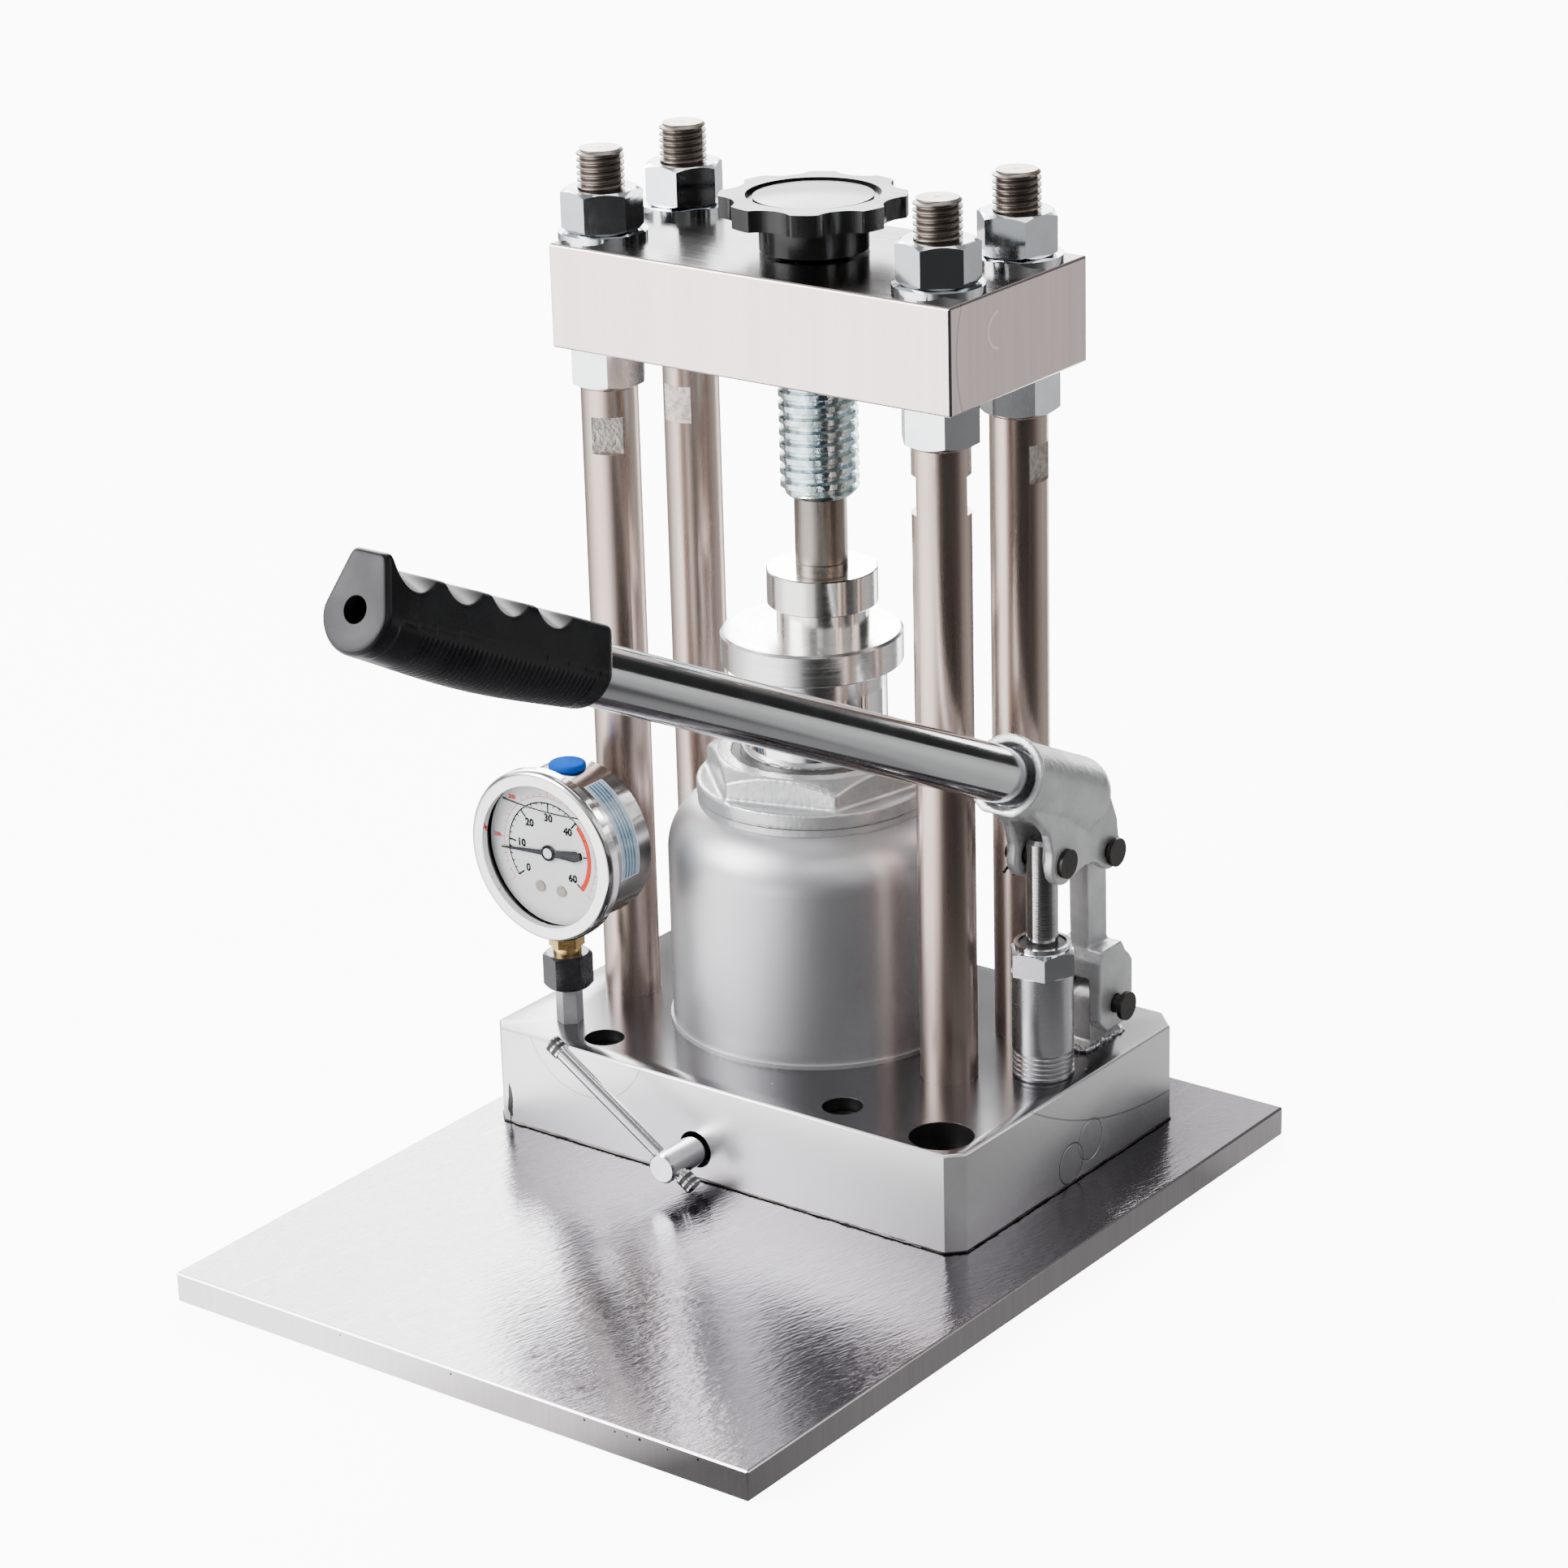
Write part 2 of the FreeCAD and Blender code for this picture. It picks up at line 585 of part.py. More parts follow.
def column(side_x, side_y, flat_angle):
    """Round column with a threaded foot, wrench flats and a long stud on top."""
    bevel = COLUMN_BEVEL
    r = COLUMN_DIA / 2
    s = STUD_DIA / 2
    profile = [(0, BLOCK_TOP - FOOT_DEPTH), (s, BLOCK_TOP - FOOT_DEPTH), (s, BLOCK_TOP), (r, BLOCK_TOP),
               (r, SHOULDER - bevel), (r - bevel, SHOULDER), (s, SHOULDER),
               (s, COLUMN_TOP - bevel), (s - bevel, COLUMN_TOP), (0, COLUMN_TOP)]
    shape = turned(profile)
    top = SHOULDER - FLAT_DROP
    for side in (-1, 1):
        cutter = box(FLAT_ACROSS / 2, COLUMN_DIA, -COLUMN_DIA, COLUMN_DIA, top - FLAT_HEIGHT, top)
        cutter.rotate(Vector(0, 0, 0), UP, flat_angle + 90 + 90 * side)
        shape = shape.cut(cutter)
    centre_depth = CENTRE_HOLE_DIA
    shape = shape.cut(rod(CENTRE_HOLE_DIA, COLUMN_TOP - centre_depth, COLUMN_TOP + 1))
    x, y = column_place(side_x, side_y)
    shape.translate(Vector(x, y, 0))
    return shape


def column_nuts(bottom, turns):
    """Four nuts on the column studs."""
    nuts = []
    for (side_x, side_y, _), turn in zip(COLUMNS.values(), turns):
        x, y = column_place(side_x, side_y)
        nut = chamfered_hexagon(NUT_ACROSS, bottom, bottom + NUT_HEIGHT, x, y, turn)
        nuts.append(nut.cut(rod(STUD_DIA + 2 * THREAD_GAP, bottom - 1, bottom + NUT_HEIGHT + 1, x, y)))
    return Part.makeCompound(nuts)


def column_washers():
    """Four washers under the top nuts."""
    washers = []
    for side_x, side_y, _ in COLUMNS.values():
        x, y = column_place(side_x, side_y)
        washers.append(pipe(WASHER_DIA, STUD_DIA + 2 * BOLT_GAP, HEAD_TOP, HEAD_TOP + WASHER_THICK, x, y))
    return Part.makeCompound(washers)


def crosshead():
    """Top plate with four stud holes and the threaded hole of the press screw."""
    x0 = HEAD_SHIFT_X - HEAD_LENGTH / 2
    y0 = -HEAD_WIDTH / 2
    plate = box(x0, x0 + HEAD_LENGTH, y0, y0 + HEAD_WIDTH, HEAD_BOTTOM, HEAD_TOP)
    plate = plate.makeChamfer(HEAD_EDGE, plate.Edges)
    for side_x, side_y, _ in COLUMNS.values():
        x, y = column_place(side_x, side_y)
        plate = plate.cut(rod(STUD_DIA + BOLT_GAP, HEAD_BOTTOM - 1, HEAD_TOP + 1, x, y))
    return plate.cut(rod(SCREW_DIA + 2 * RUN_GAP, HEAD_BOTTOM - 1, HEAD_TOP + 1, HEAD_SHIFT_X, 0))


# Screw, knob, punch and die

def press_screw():
    """Coarse screw with a bevelled nose, a swivel socket in it and a spigot for the knob."""
    r = SCREW_DIA / 2
    nose = SCREW_NOSE_DIA / 2
    socket = PUNCH_SPIGOT_DIA / 2 + RUN_GAP
    socket_top = SCREW_TIP + PUNCH_SPIGOT_LENGTH + SEAT_GAP
    spigot = HUB_BORE_DIA / 2 - RUN_GAP
    spigot_top = KNOB_TOP - KNOB_RECESS_DEPTH - SEAT_GAP
    profile = [(socket, SCREW_TIP), (nose, SCREW_TIP), (r, SCREW_TIP + r - nose)]
    first = SCREW_TIP + r - nose + SCREW_PITCH / 2
    turns = int((HUB_BOTTOM - first) / SCREW_PITCH)
    for i in range(turns):
        z = first + i * SCREW_PITCH
        root = r - THREAD_DEPTH
        profile += [(r, z), (root, z + 0.2 * SCREW_PITCH), (root, z + 0.4 * SCREW_PITCH)]
        profile += [(r, z + 0.6 * SCREW_PITCH)]
    profile += [(r, HUB_BOTTOM), (spigot, HUB_BOTTOM), (spigot, spigot_top), (0, spigot_top),
                (0, socket_top), (socket, socket_top)]
    return turned(profile, HEAD_SHIFT_X, 0)


def knob():
    """Star knob: a lobed rim on a round hub, with a ring recess for the cap."""
    rim = rod(KNOB_DIA, KNOB_BOTTOM, KNOB_TOP)
    offset = KNOB_DIA / 2 - KNOB_SCALLOP_DEPTH + KNOB_SCALLOP_RADIUS
    for i in range(KNOB_LOBES):
        angle = math.radians(KNOB_TURN + (i + 0.5) * 360 / KNOB_LOBES)
        x = offset * math.cos(angle)
        y = offset * math.sin(angle)
        rim = rim.cut(rod(2 * KNOB_SCALLOP_RADIUS, KNOB_BOTTOM - 1, KNOB_TOP + 1, x, y))
    corners = [e for e in rim.Edges if e.BoundBox.XLength + e.BoundBox.YLength < 0.01]
    rim = rim.makeFillet(KNOB_LOBE_ROUND, corners)
    body = rim.fuse(rod(HUB_DIA, HUB_BOTTOM, KNOB_BOTTOM))
    body = body.cut(rod(HUB_BORE_DIA, HUB_BOTTOM - 1, KNOB_TOP + 1))
    body = body.cut(rod(KNOB_RECESS_DIA, KNOB_TOP - KNOB_RECESS_DEPTH, KNOB_TOP + 1))
    body = body.removeSplitter()
    body.translate(Vector(HEAD_SHIFT_X, 0, 0))
    height = (HUB_BOTTOM + KNOB_BOTTOM) / 2
    start = Vector(HEAD_SHIFT_X, 0, height)
    return body.cut(rod_along(Vector(-1, 0, 0), GRUB_DIA + 2 * THREAD_GAP, start, HUB_DIA))


def knob_cap():
    """Domed disc pressed into the knob's recess."""
    floor = KNOB_TOP - KNOB_RECESS_DEPTH
    r = CAP_DIA / 2
    edge = floor + 1.2
    dome_radius = (r * r + CAP_DOME * CAP_DOME) / (2 * CAP_DOME)
    ball = Part.makeSphere(dome_radius, Vector(HEAD_SHIFT_X, 0, edge + CAP_DOME - dome_radius))
    return rod(CAP_DIA, floor, edge + CAP_DOME + 1, HEAD_SHIFT_X, 0).common(ball)


def knob_grub_screw():
    """Grub screw through the hub on to the spigot of the press screw."""
    height = (HUB_BOTTOM + KNOB_BOTTOM) / 2
    inner = HUB_BORE_DIA / 2
    outer = HUB_DIA / 2 - 1.0
    start = Vector(HEAD_SHIFT_X - inner, 0, height)
    screw = rod_along(Vector(-1, 0, 0), GRUB_DIA, start, outer - inner)
    socket = rod_along(Vector(-1, 0, 0), GRUB_DIA / 2, Vector(HEAD_SHIFT_X - outer + 2.5, 0, height), 4)
    return screw.cut(socket)


def upper_punch():
    """Plain punch with a spigot that swivels in the nose of the press screw."""
    r = PUNCH_DIA / 2
    s = PUNCH_SPIGOT_DIA / 2
    line = DIE_TOP + PUNCH_LINE_HEIGHT
    depth = 0.3
    profile = [(0, PUNCH_BOTTOM), (r, PUNCH_BOTTOM), (r, line - depth), (r - depth, line),
               (r, line + depth), (r, PUNCH_TOP - PUNCH_BEVEL), (r - PUNCH_BEVEL, PUNCH_TOP),
               (s, PUNCH_TOP), (s, PUNCH_TOP + PUNCH_SPIGOT_LENGTH), (0, PUNCH_TOP + PUNCH_SPIGOT_LENGTH)]
    return turned(profile, HEAD_SHIFT_X, 0)


def die_ring():
    """Upper ring of the die, open right through."""
    ring = pipe(DIE_RING_DIA, PUNCH_DIA + 2 * RUN_GAP, DIE_SEAM, DIE_TOP, HEAD_SHIFT_X, 0)
    rims = [e for e in ring.Edges if len(e.Vertexes) == 1 and abs(e.Length - math.pi * DIE_RING_DIA) < 0.1]
    return ring.makeChamfer(0.4, rims)


def die_base():
    """Lower disc of the die, with a short spigot that closes the ring from below."""
    r = DIE_BASE_DIA / 2
    s = PUNCH_DIA / 2
    profile = [(0, TABLE), (r, TABLE), (r, DIE_SEAM), (s, DIE_SEAM), (s, DIE_SEAM + DIE_SPIGOT_HEIGHT),
               (0, DIE_SEAM + DIE_SPIGOT_HEIGHT)]
    return turned(profile, HEAD_SHIFT_X, 0)


# Ram, cylinder and tank

def ram_head():
    """Round table on the ram."""
    r = RAM_HEAD_DIA / 2
    n = RAM_DIA / 2
    bevel = 1.0
    profile = [(0, RAM_TOP), (n, RAM_TOP), (n, NECK_TOP), (r - bevel / 2, NECK_TOP),
               (r, NECK_TOP + bevel / 2), (r, TABLE - bevel), (r - bevel, TABLE), (0, TABLE)]
    socket_top = RAM_TOP + RAM_SPIGOT_HEIGHT + 0.5
    socket = rod(RAM_SPIGOT_DIA + 2 * THREAD_GAP, RAM_TOP - 1, socket_top, RAM_X, RAM_Y)
    return turned(profile, RAM_X, RAM_Y).cut(socket)


def ram():
    """Ram with its piston end, the groove for the seal and the spigot for the head."""
    r = RAM_DIA / 2
    p = PISTON_DIA / 2 - RUN_GAP
    g = p - RAM_GROOVE_DEPTH
    s = RAM_SPIGOT_DIA / 2
    groove = RAM_BOTTOM + RAM_GROOVE_RISE
    groove_top = groove + RAM_SEAL_HEIGHT
    piston_top = RAM_BOTTOM + PISTON_HEIGHT
    spigot_top = RAM_TOP + RAM_SPIGOT_HEIGHT
    profile = [(0, RAM_BOTTOM), (p, RAM_BOTTOM), (p, groove), (g, groove), (g, groove_top), (p, groove_top),
               (p, piston_top), (r, piston_top), (r, RAM_TOP), (s, RAM_TOP), (s, spigot_top), (0, spigot_top)]
    return turned(profile, RAM_X, RAM_Y)


def ram_seal():
    """Lip seal in the groove of the piston."""
    groove = RAM_BOTTOM + RAM_GROOVE_RISE
    outer = PISTON_DIA - 2 * RUN_GAP
    inner = outer - 2 * RAM_GROOVE_DEPTH + 2 * SEAT_GAP
    return pipe(outer, inner, groove, groove + RAM_SEAL_HEIGHT, RAM_X, RAM_Y)


def inner_cylinder():
    """Pressure cylinder, standing on the block inside the tank."""
    outer = PISTON_DIA + 2 * CYLINDER_WALL
    return pipe(outer, PISTON_DIA, BLOCK_TOP, FLANGE_BOTTOM, RAM_X, RAM_Y)


def shoulder_height(reach, rounding):
    """Height of the rounded shoulder at a distance from the tank's axis."""
    off = reach - (TANK_DIA / 2 - TANK_SHOULDER)
    return TANK_TOP - TANK_SHOULDER + math.sqrt(max(rounding ** 2 - off ** 2, 0.0))


def shoulder_arc(start, end, rounding):
    """Arc of the shoulder's section between two distances from the axis."""
    points = [Vector(r, 0, shoulder_height(r, rounding)) for r in (start, (start + end) / 2, end)]
    return Part.Arc(*points).toShape()


def tank():
    """Spun oil tank, open below and round the cylinder on top."""
    radius = TANK_DIA / 2
    inner = radius - TANK_WALL
    inner_rounding = TANK_SHOULDER - TANK_WALL
    hole = PISTON_DIA / 2 + CYLINDER_WALL + SOFT_GAP
    foot = TANK_TOP - TANK_SHOULDER
    lip_top = Vector(hole, 0, shoulder_height(hole, TANK_SHOULDER))
    lip_bottom = Vector(hole, 0, shoulder_height(hole, inner_rounding))
    edges = [
        Part.makeLine(Vector(radius, 0, BLOCK_TOP), Vector(radius, 0, foot)),
        shoulder_arc(radius, hole, TANK_SHOULDER),
        Part.makeLine(lip_top, lip_bottom),
        shoulder_arc(hole, inner, inner_rounding),
        Part.makePolygon([Vector(inner, 0, foot), Vector(inner, 0, BLOCK_TOP), Vector(radius, 0, BLOCK_TOP)]),
    ]
    shell = Part.Face(Part.Wire(edges)).revolve(Vector(0, 0, 0), UP, 360)
    shell.translate(Vector(RAM_X, RAM_Y, 0))
    return shell


def tank_seals():
    """Bead round the foot of the tank and the ring between its shoulder and the gland flange."""
    bead = pipe(TANK_BEAD_DIA, TANK_DIA, BLOCK_TOP, BLOCK_TOP + TANK_BEAD_HEIGHT, RAM_X, RAM_Y)
    inner = PISTON_DIA / 2 + CYLINDER_WALL + SOFT_GAP
    outer = FLANGE_DIA / 2 - SOFT_GAP
    rounding = TANK_SHOULDER + SEAT_GAP
    sides = [Vector(inner, 0, shoulder_height(inner, rounding)), Vector(inner, 0, FLANGE_BOTTOM),
             Vector(outer, 0, FLANGE_BOTTOM), Vector(outer, 0, shoulder_height(outer, rounding))]
    section = Part.Wire([shoulder_arc(outer, inner, rounding), Part.makePolygon(sides)])
    ring = Part.Face(section).revolve(Vector(0, 0, 0), UP, 360)
    ring.translate(Vector(RAM_X, RAM_Y, 0))
    return Part.makeCompound([bead, ring])


def gland_nut():
    """Cast cap: skirt in the cylinder, flange on the tank and a hexagon with a bevelled top."""
    flange = rod(FLANGE_DIA, FLANGE_BOTTOM, FLANGE_TOP, RAM_X, RAM_Y)
    corner = GLAND_ACROSS / math.sqrt(3)
    top_r = GLAND_TOP_DIA / 2
    drop = (corner - top_r) * math.tan(math.radians(33))
    cone = [(0, FLANGE_TOP - 1), (corner, FLANGE_TOP - 1), (corner, GLAND_TOP - drop), (top_r, GLAND_TOP),
            (0, GLAND_TOP)]
    cap = hexagon(GLAND_ACROSS, FLANGE_TOP - 1, GLAND_TOP, RAM_X, RAM_Y, GLAND_TURN)
    cap = cap.common(turned(cone, RAM_X, RAM_Y))
    skirt = rod(PISTON_DIA - 2 * THREAD_GAP, FLANGE_BOTTOM - GLAND_SKIRT, FLANGE_BOTTOM, RAM_X, RAM_Y)
    body = flange.fuse([cap, skirt]).removeSplitter()
    body = body.cut(rod(RAM_DIA + 2 * RUN_GAP, FLANGE_BOTTOM - GLAND_SKIRT - 1, GLAND_TOP + 1, RAM_X, RAM_Y))
    wiper_floor = GLAND_TOP - WIPER_SINK - WIPER_HEIGHT
    return body.cut(rod(RAM_DIA + 2 * WIPER_WIDTH, wiper_floor, GLAND_TOP + 1, RAM_X, RAM_Y))


def gland_wiper():
    """Rubber wiper in the mouth of the gland."""
    floor = GLAND_TOP - WIPER_SINK - WIPER_HEIGHT
    return pipe(RAM_DIA + 2 * WIPER_WIDTH, RAM_DIA + 2 * RUN_GAP, floor, floor + WIPER_HEIGHT, RAM_X, RAM_Y)


# Hand pump

def pump_cylinder():
    """Pump cylinder, screwed into the block, with its thread showing at the foot."""
    r = PUMP_DIA / 2
    n = PUMP_NECK_DIA / 2
    b = PLUNGER_DIA / 2 + RUN_GAP
    bottom = BLOCK_TOP - PUMP_DEPTH
    profile = [(b, bottom), (r, bottom), (r, BLOCK_TOP)]
    root = r - PUMP_THREAD_DEPTH
    turns = int(PUMP_THREAD_LENGTH / PUMP_THREAD_PITCH)
    for i in range(turns):
        z = BLOCK_TOP + (i + 0.25) * PUMP_THREAD_PITCH
        profile += [(r, z), (root, z + 0.4 * PUMP_THREAD_PITCH), (r, z + 0.7 * PUMP_THREAD_PITCH)]
    neck_top = PUMP_TOP + PUMP_NECK_HEIGHT
    profile += [(r, PUMP_TOP), (n, PUMP_TOP), (n, neck_top), (b, neck_top)]
    return turned(profile, PUMP_X, PUMP_Y)


def pump_gland_nut():
    """Hexagonal gland nut with a round open lip, over the neck of the pump cylinder."""
    hexed = chamfered_hexagon(PUMP_NUT_ACROSS, PUMP_TOP, PUMP_TOP + PUMP_NUT_HEX, PUMP_X, PUMP_Y, -53, False)
    top = PUMP_TOP + PUMP_NUT_HEIGHT
    nut = hexed.fuse(rod(PUMP_NUT_ACROSS - 1.6, PUMP_TOP, top, PUMP_X, PUMP_Y)).removeSplitter()
    neck_top = PUMP_TOP + PUMP_NECK_HEIGHT
    nut = nut.cut(rod(PUMP_NECK_DIA + 2 * THREAD_GAP, PUMP_TOP - 1, neck_top, PUMP_X, PUMP_Y))
    nut = nut.cut(rod(PLUNGER_DIA + 2 * BOLT_GAP, PUMP_TOP, top + 1, PUMP_X, PUMP_Y))
    return nut.cut(rod(PUMP_NUT_COUNTERBORE, top - PUMP_NUT_SINK, top + 1, PUMP_X, PUMP_Y))


def pump_packing():
    """Packing ring round the plunger, lying in the mouth of the gland nut."""
    top = PUMP_TOP + PUMP_NUT_HEIGHT
    floor = top - PUMP_NUT_SINK
    return pipe(PUMP_NUT_COUNTERBORE - 0.4, PLUNGER_DIA + 2 * RUN_GAP, floor, floor + 1.0, PUMP_X, PUMP_Y)


def pump_plunger():
    """Pump plunger with the cross hole of the lever pin."""
    top = LEVER_PIN_HEIGHT + PLUNGER_TIP
    r = PLUNGER_DIA / 2
    profile = [(0, top - PLUNGER_LENGTH), (r, top - PLUNGER_LENGTH), (r, top - 1.5), (r - 1.5, top), (0, top)]
    plunger = turned(profile, PUMP_X, PUMP_Y)
    hole = Vector(PUMP_X - PLUNGER_DIA, PUMP_Y, LEVER_PIN_HEIGHT)
    return plunger.cut(rod_along(RIGHT, PIN_DIA + 2 * RUN_GAP, hole, 2 * PLUNGER_DIA))


# Lever. Its parts are drawn with the tube level, pointing to -Y, and the plunger pin at the
# origin, then tipped up by LEVER_ANGLE and set on the pump.

def set_on_pump(shape):
    """Tip a level lever part up and carry it to the plunger pin."""
    shape.rotate(Vector(0, 0, 0), RIGHT, -LEVER_ANGLE)
    shape.translate(Vector(PUMP_X, PUMP_Y, LEVER_PIN_HEIGHT))
    return shape


def fulcrum_in_lever():
    """Place of the link's upper pin in the level lever, as (y, z)."""
    a = math.radians(LEVER_ANGLE)
    y = FULCRUM_BACK * math.cos(a) + FULCRUM_DROP * math.sin(a)
    z = FULCRUM_BACK * math.sin(a) - FULCRUM_DROP * math.cos(a)
    return y, z


def lever_barrel():
    """Barrel for the tube: a rim at its mouth, a domed back and a belly that sags to the back."""
    r = BARREL_DIA / 2
    rim = BARREL_RIM_DIA / 2
    mouth = -BARREL_FRONT
    back = BARREL_BACK
    dome = BARREL_DOME
    rim_end = mouth + BARREL_RIM_WIDTH
    profile = [(0, mouth), (rim, mouth), (rim, rim_end), (r, rim_end), (r, back),
               (r * 0.95, back + dome * 0.4), (r * 0.78, back + dome * 0.75), (r * 0.5, back + dome * 0.93),
               (0, back + dome)]
    body = turned(profile)
    body.rotate(Vector(0, 0, 0), RIGHT, -90)
    inset = 1.2
    half = r - inset
    start = mouth / 2
    arc = Part.Arc(Vector(-half, start, 0), Vector(0, start, -half), Vector(half, start, 0)).toShape()
    sides = Part.makePolygon([Vector(half, start, 0), Vector(half, start, 4), Vector(-half, start, 4),
                              Vector(-half, start, 0)])
    section = Part.Face(Part.Wire([arc] + sides.Edges))
    belly = section.extrude(Vector(0, back - 1 - start, -BARREL_SAG - inset))
    barrel = body.fuse(belly)
    barrel.translate(Vector(0, 0, BARREL_RISE))
    return barrel


def lever_socket():
    """Cast socket: a barrel for the tube over two ears that carry both pins."""
    q_y, q_z = fulcrum_in_lever()
    rise = BARREL_RISE
    body = lever_barrel()
    ear = EAR_OUTER
    nose_r = EAR_NOSE_RADIUS
    tail_r = EAR_TAIL_RADIUS
    under = rise - BARREL_DIA / 2
    front_top = (-BARREL_FRONT + BARREL_RIM_WIDTH + 6, under + 3)
    outline = [front_top, (-nose_r * 1.8, nose_r), (-nose_r * 1.15, nose_r * 0.25),
               (-nose_r * 0.7, -nose_r * 0.7), (0, -nose_r), (nose_r, -nose_r * 0.45),
               (q_y * 0.47, ARCH_RISE * 0.2), (q_y * 0.64, ARCH_RISE),
               (q_y * 0.78, ARCH_RISE), (q_y - tail_r * 0.5, q_z - tail_r * 0.9),
               (q_y + tail_r * 0.7, q_z - tail_r * 0.7), (q_y + tail_r, q_z),
               (q_y - 1, rise - 5), (q_y - 9, rise + 2), (0, rise)]
    plate = extruded(outline, -ear, ear)
    nose = rod_along(RIGHT, 2 * nose_r, Vector(-ear, 0, 0), 2 * ear)
    heel = rod_along(RIGHT, 2 * tail_r, Vector(-ear, q_y, q_z), 2 * ear)
    body = body.fuse([plate, nose, heel])
    beyond = 3 * tail_r
    gap = box(-EAR_GAP / 2, EAR_GAP / 2, -BARREL_FRONT, q_y + beyond, -beyond, under)
    pocket = rod_along(RIGHT, 2 * (LINK_EYE_RADIUS + 1.5), Vector(-EAR_GAP / 2, q_y, q_z), EAR_GAP)
    body = body.cut(gap.fuse(pocket))
    forward = Vector(0, -BARREL_FRONT - 1, rise)
    body = body.cut(rod_along(BACK, TUBE_DIA + 2 * SEAT_GAP, forward, BARREL_BORE_DEPTH + 1))
    body = body.cut(rod_along(BACK, BARREL_MOUTH_DIA, forward, BARREL_MOUTH_DEPTH + 1))
    for y, z in ((0, 0), (q_y, q_z)):
        hole = Vector(-ear - 1, y, z)
        body = body.cut(rod_along(RIGHT, PIN_DIA + 2 * RUN_GAP, hole, 2 * ear + 2))
    return set_on_pump(body.removeSplitter())


def level_pin(y, z, reach, standout=0.0):
    """Headed pin through both ears, with a hole for its cotter."""
    head = reach + standout
    pin = rod_along(RIGHT, PIN_DIA, Vector(-reach - PIN_TAIL, y, z), reach + PIN_TAIL + head)
    pin = pin.fuse(rod_along(RIGHT, PIN_HEAD_DIA, Vector(head, y, z), PIN_HEAD_THICK)).removeSplitter()
    eye = Vector(-reach - PIN_TAIL / 2, y, z - PIN_DIA)
    return pin.cut(rod_along(UP, COTTER_DIA + 2 * RUN_GAP, eye, 2 * PIN_DIA))


def level_cotter(y, z, reach):
    """Split cotter through the tail of a pin: a shank with an eye above and two spread legs."""
    x = -reach - PIN_TAIL / 2
    r = PIN_DIA / 2
    shank = rod_along(UP, COTTER_DIA, Vector(x, y, z - r - 0.5), 2 * r + 1.5)
    eye = Part.makeTorus(1.7, COTTER_DIA / 2 - 0.1, Vector(x, y, z + r + 2.4), RIGHT)
    cotter = shank.fuse(eye)
    for lean in (-1, 1):
        way = Vector(0, lean * 0.8, -1)
        leg = rod_along(way, COTTER_DIA * 0.7, Vector(x, y, z - r - 0.3), 6)
        cotter = cotter.fuse(leg)
    return cotter.removeSplitter()


def lever_pins():
    """Plunger pin and the link's upper pin."""
    q_y, q_z = fulcrum_in_lever()
    pins = [level_pin(0, 0, EAR_OUTER), level_pin(q_y, q_z, EAR_OUTER, UPPER_PIN_STANDOUT)]
    return set_on_pump(Part.makeCompound(pins))


def lever_cotters():
    """Cotters of the two lever pins."""
    q_y, q_z = fulcrum_in_lever()
    cotters = [level_cotter(0, 0, EAR_OUTER), level_cotter(q_y, q_z, EAR_OUTER)]
    return set_on_pump(Part.makeCompound(cotters))


def handle_tube():
    """Plated tube, pushed into the barrel of the socket."""
    start = Vector(0, -BARREL_FRONT + BARREL_BORE_DEPTH - SEAT_GAP, BARREL_RISE)
    forward = Vector(0, -1, 0)
    outer = rod_along(forward, TUBE_DIA, start, TUBE_LENGTH)
    inner = rod_along(forward, TUBE_DIA - 2 * TUBE_WALL, start, TUBE_LENGTH)
    return set_on_pump(outer.cut(inner))


def grip_section(reach, half, bottom, top, flat):
    """Upright outline of the grip: round below, with straight sides up to a flat."""
    y = -reach
    c = BARREL_RISE
    low = c - bottom
    corner = math.sqrt(0.5)
    centre = low + half
    left = Vector(-half, y, centre)
    right = Vector(half, y, centre)
    foot = Vector(0, y, low)
    left_arc = Part.Arc(left, Vector(-half * corner, y, centre - half * corner), foot)
    right_arc = Part.Arc(foot, Vector(half * corner, y, centre - half * corner), right)
    edges = [
        left_arc.toShape(),
        right_arc.toShape(),
        Part.makeLine(right, Vector(flat / 2, y, c + top)),
        Part.makeLine(Vector(flat / 2, y, c + top), Vector(-flat / 2, y, c + top)),
        Part.makeLine(Vector(-flat / 2, y, c + top), left),
    ]
    return Part.Wire(edges)


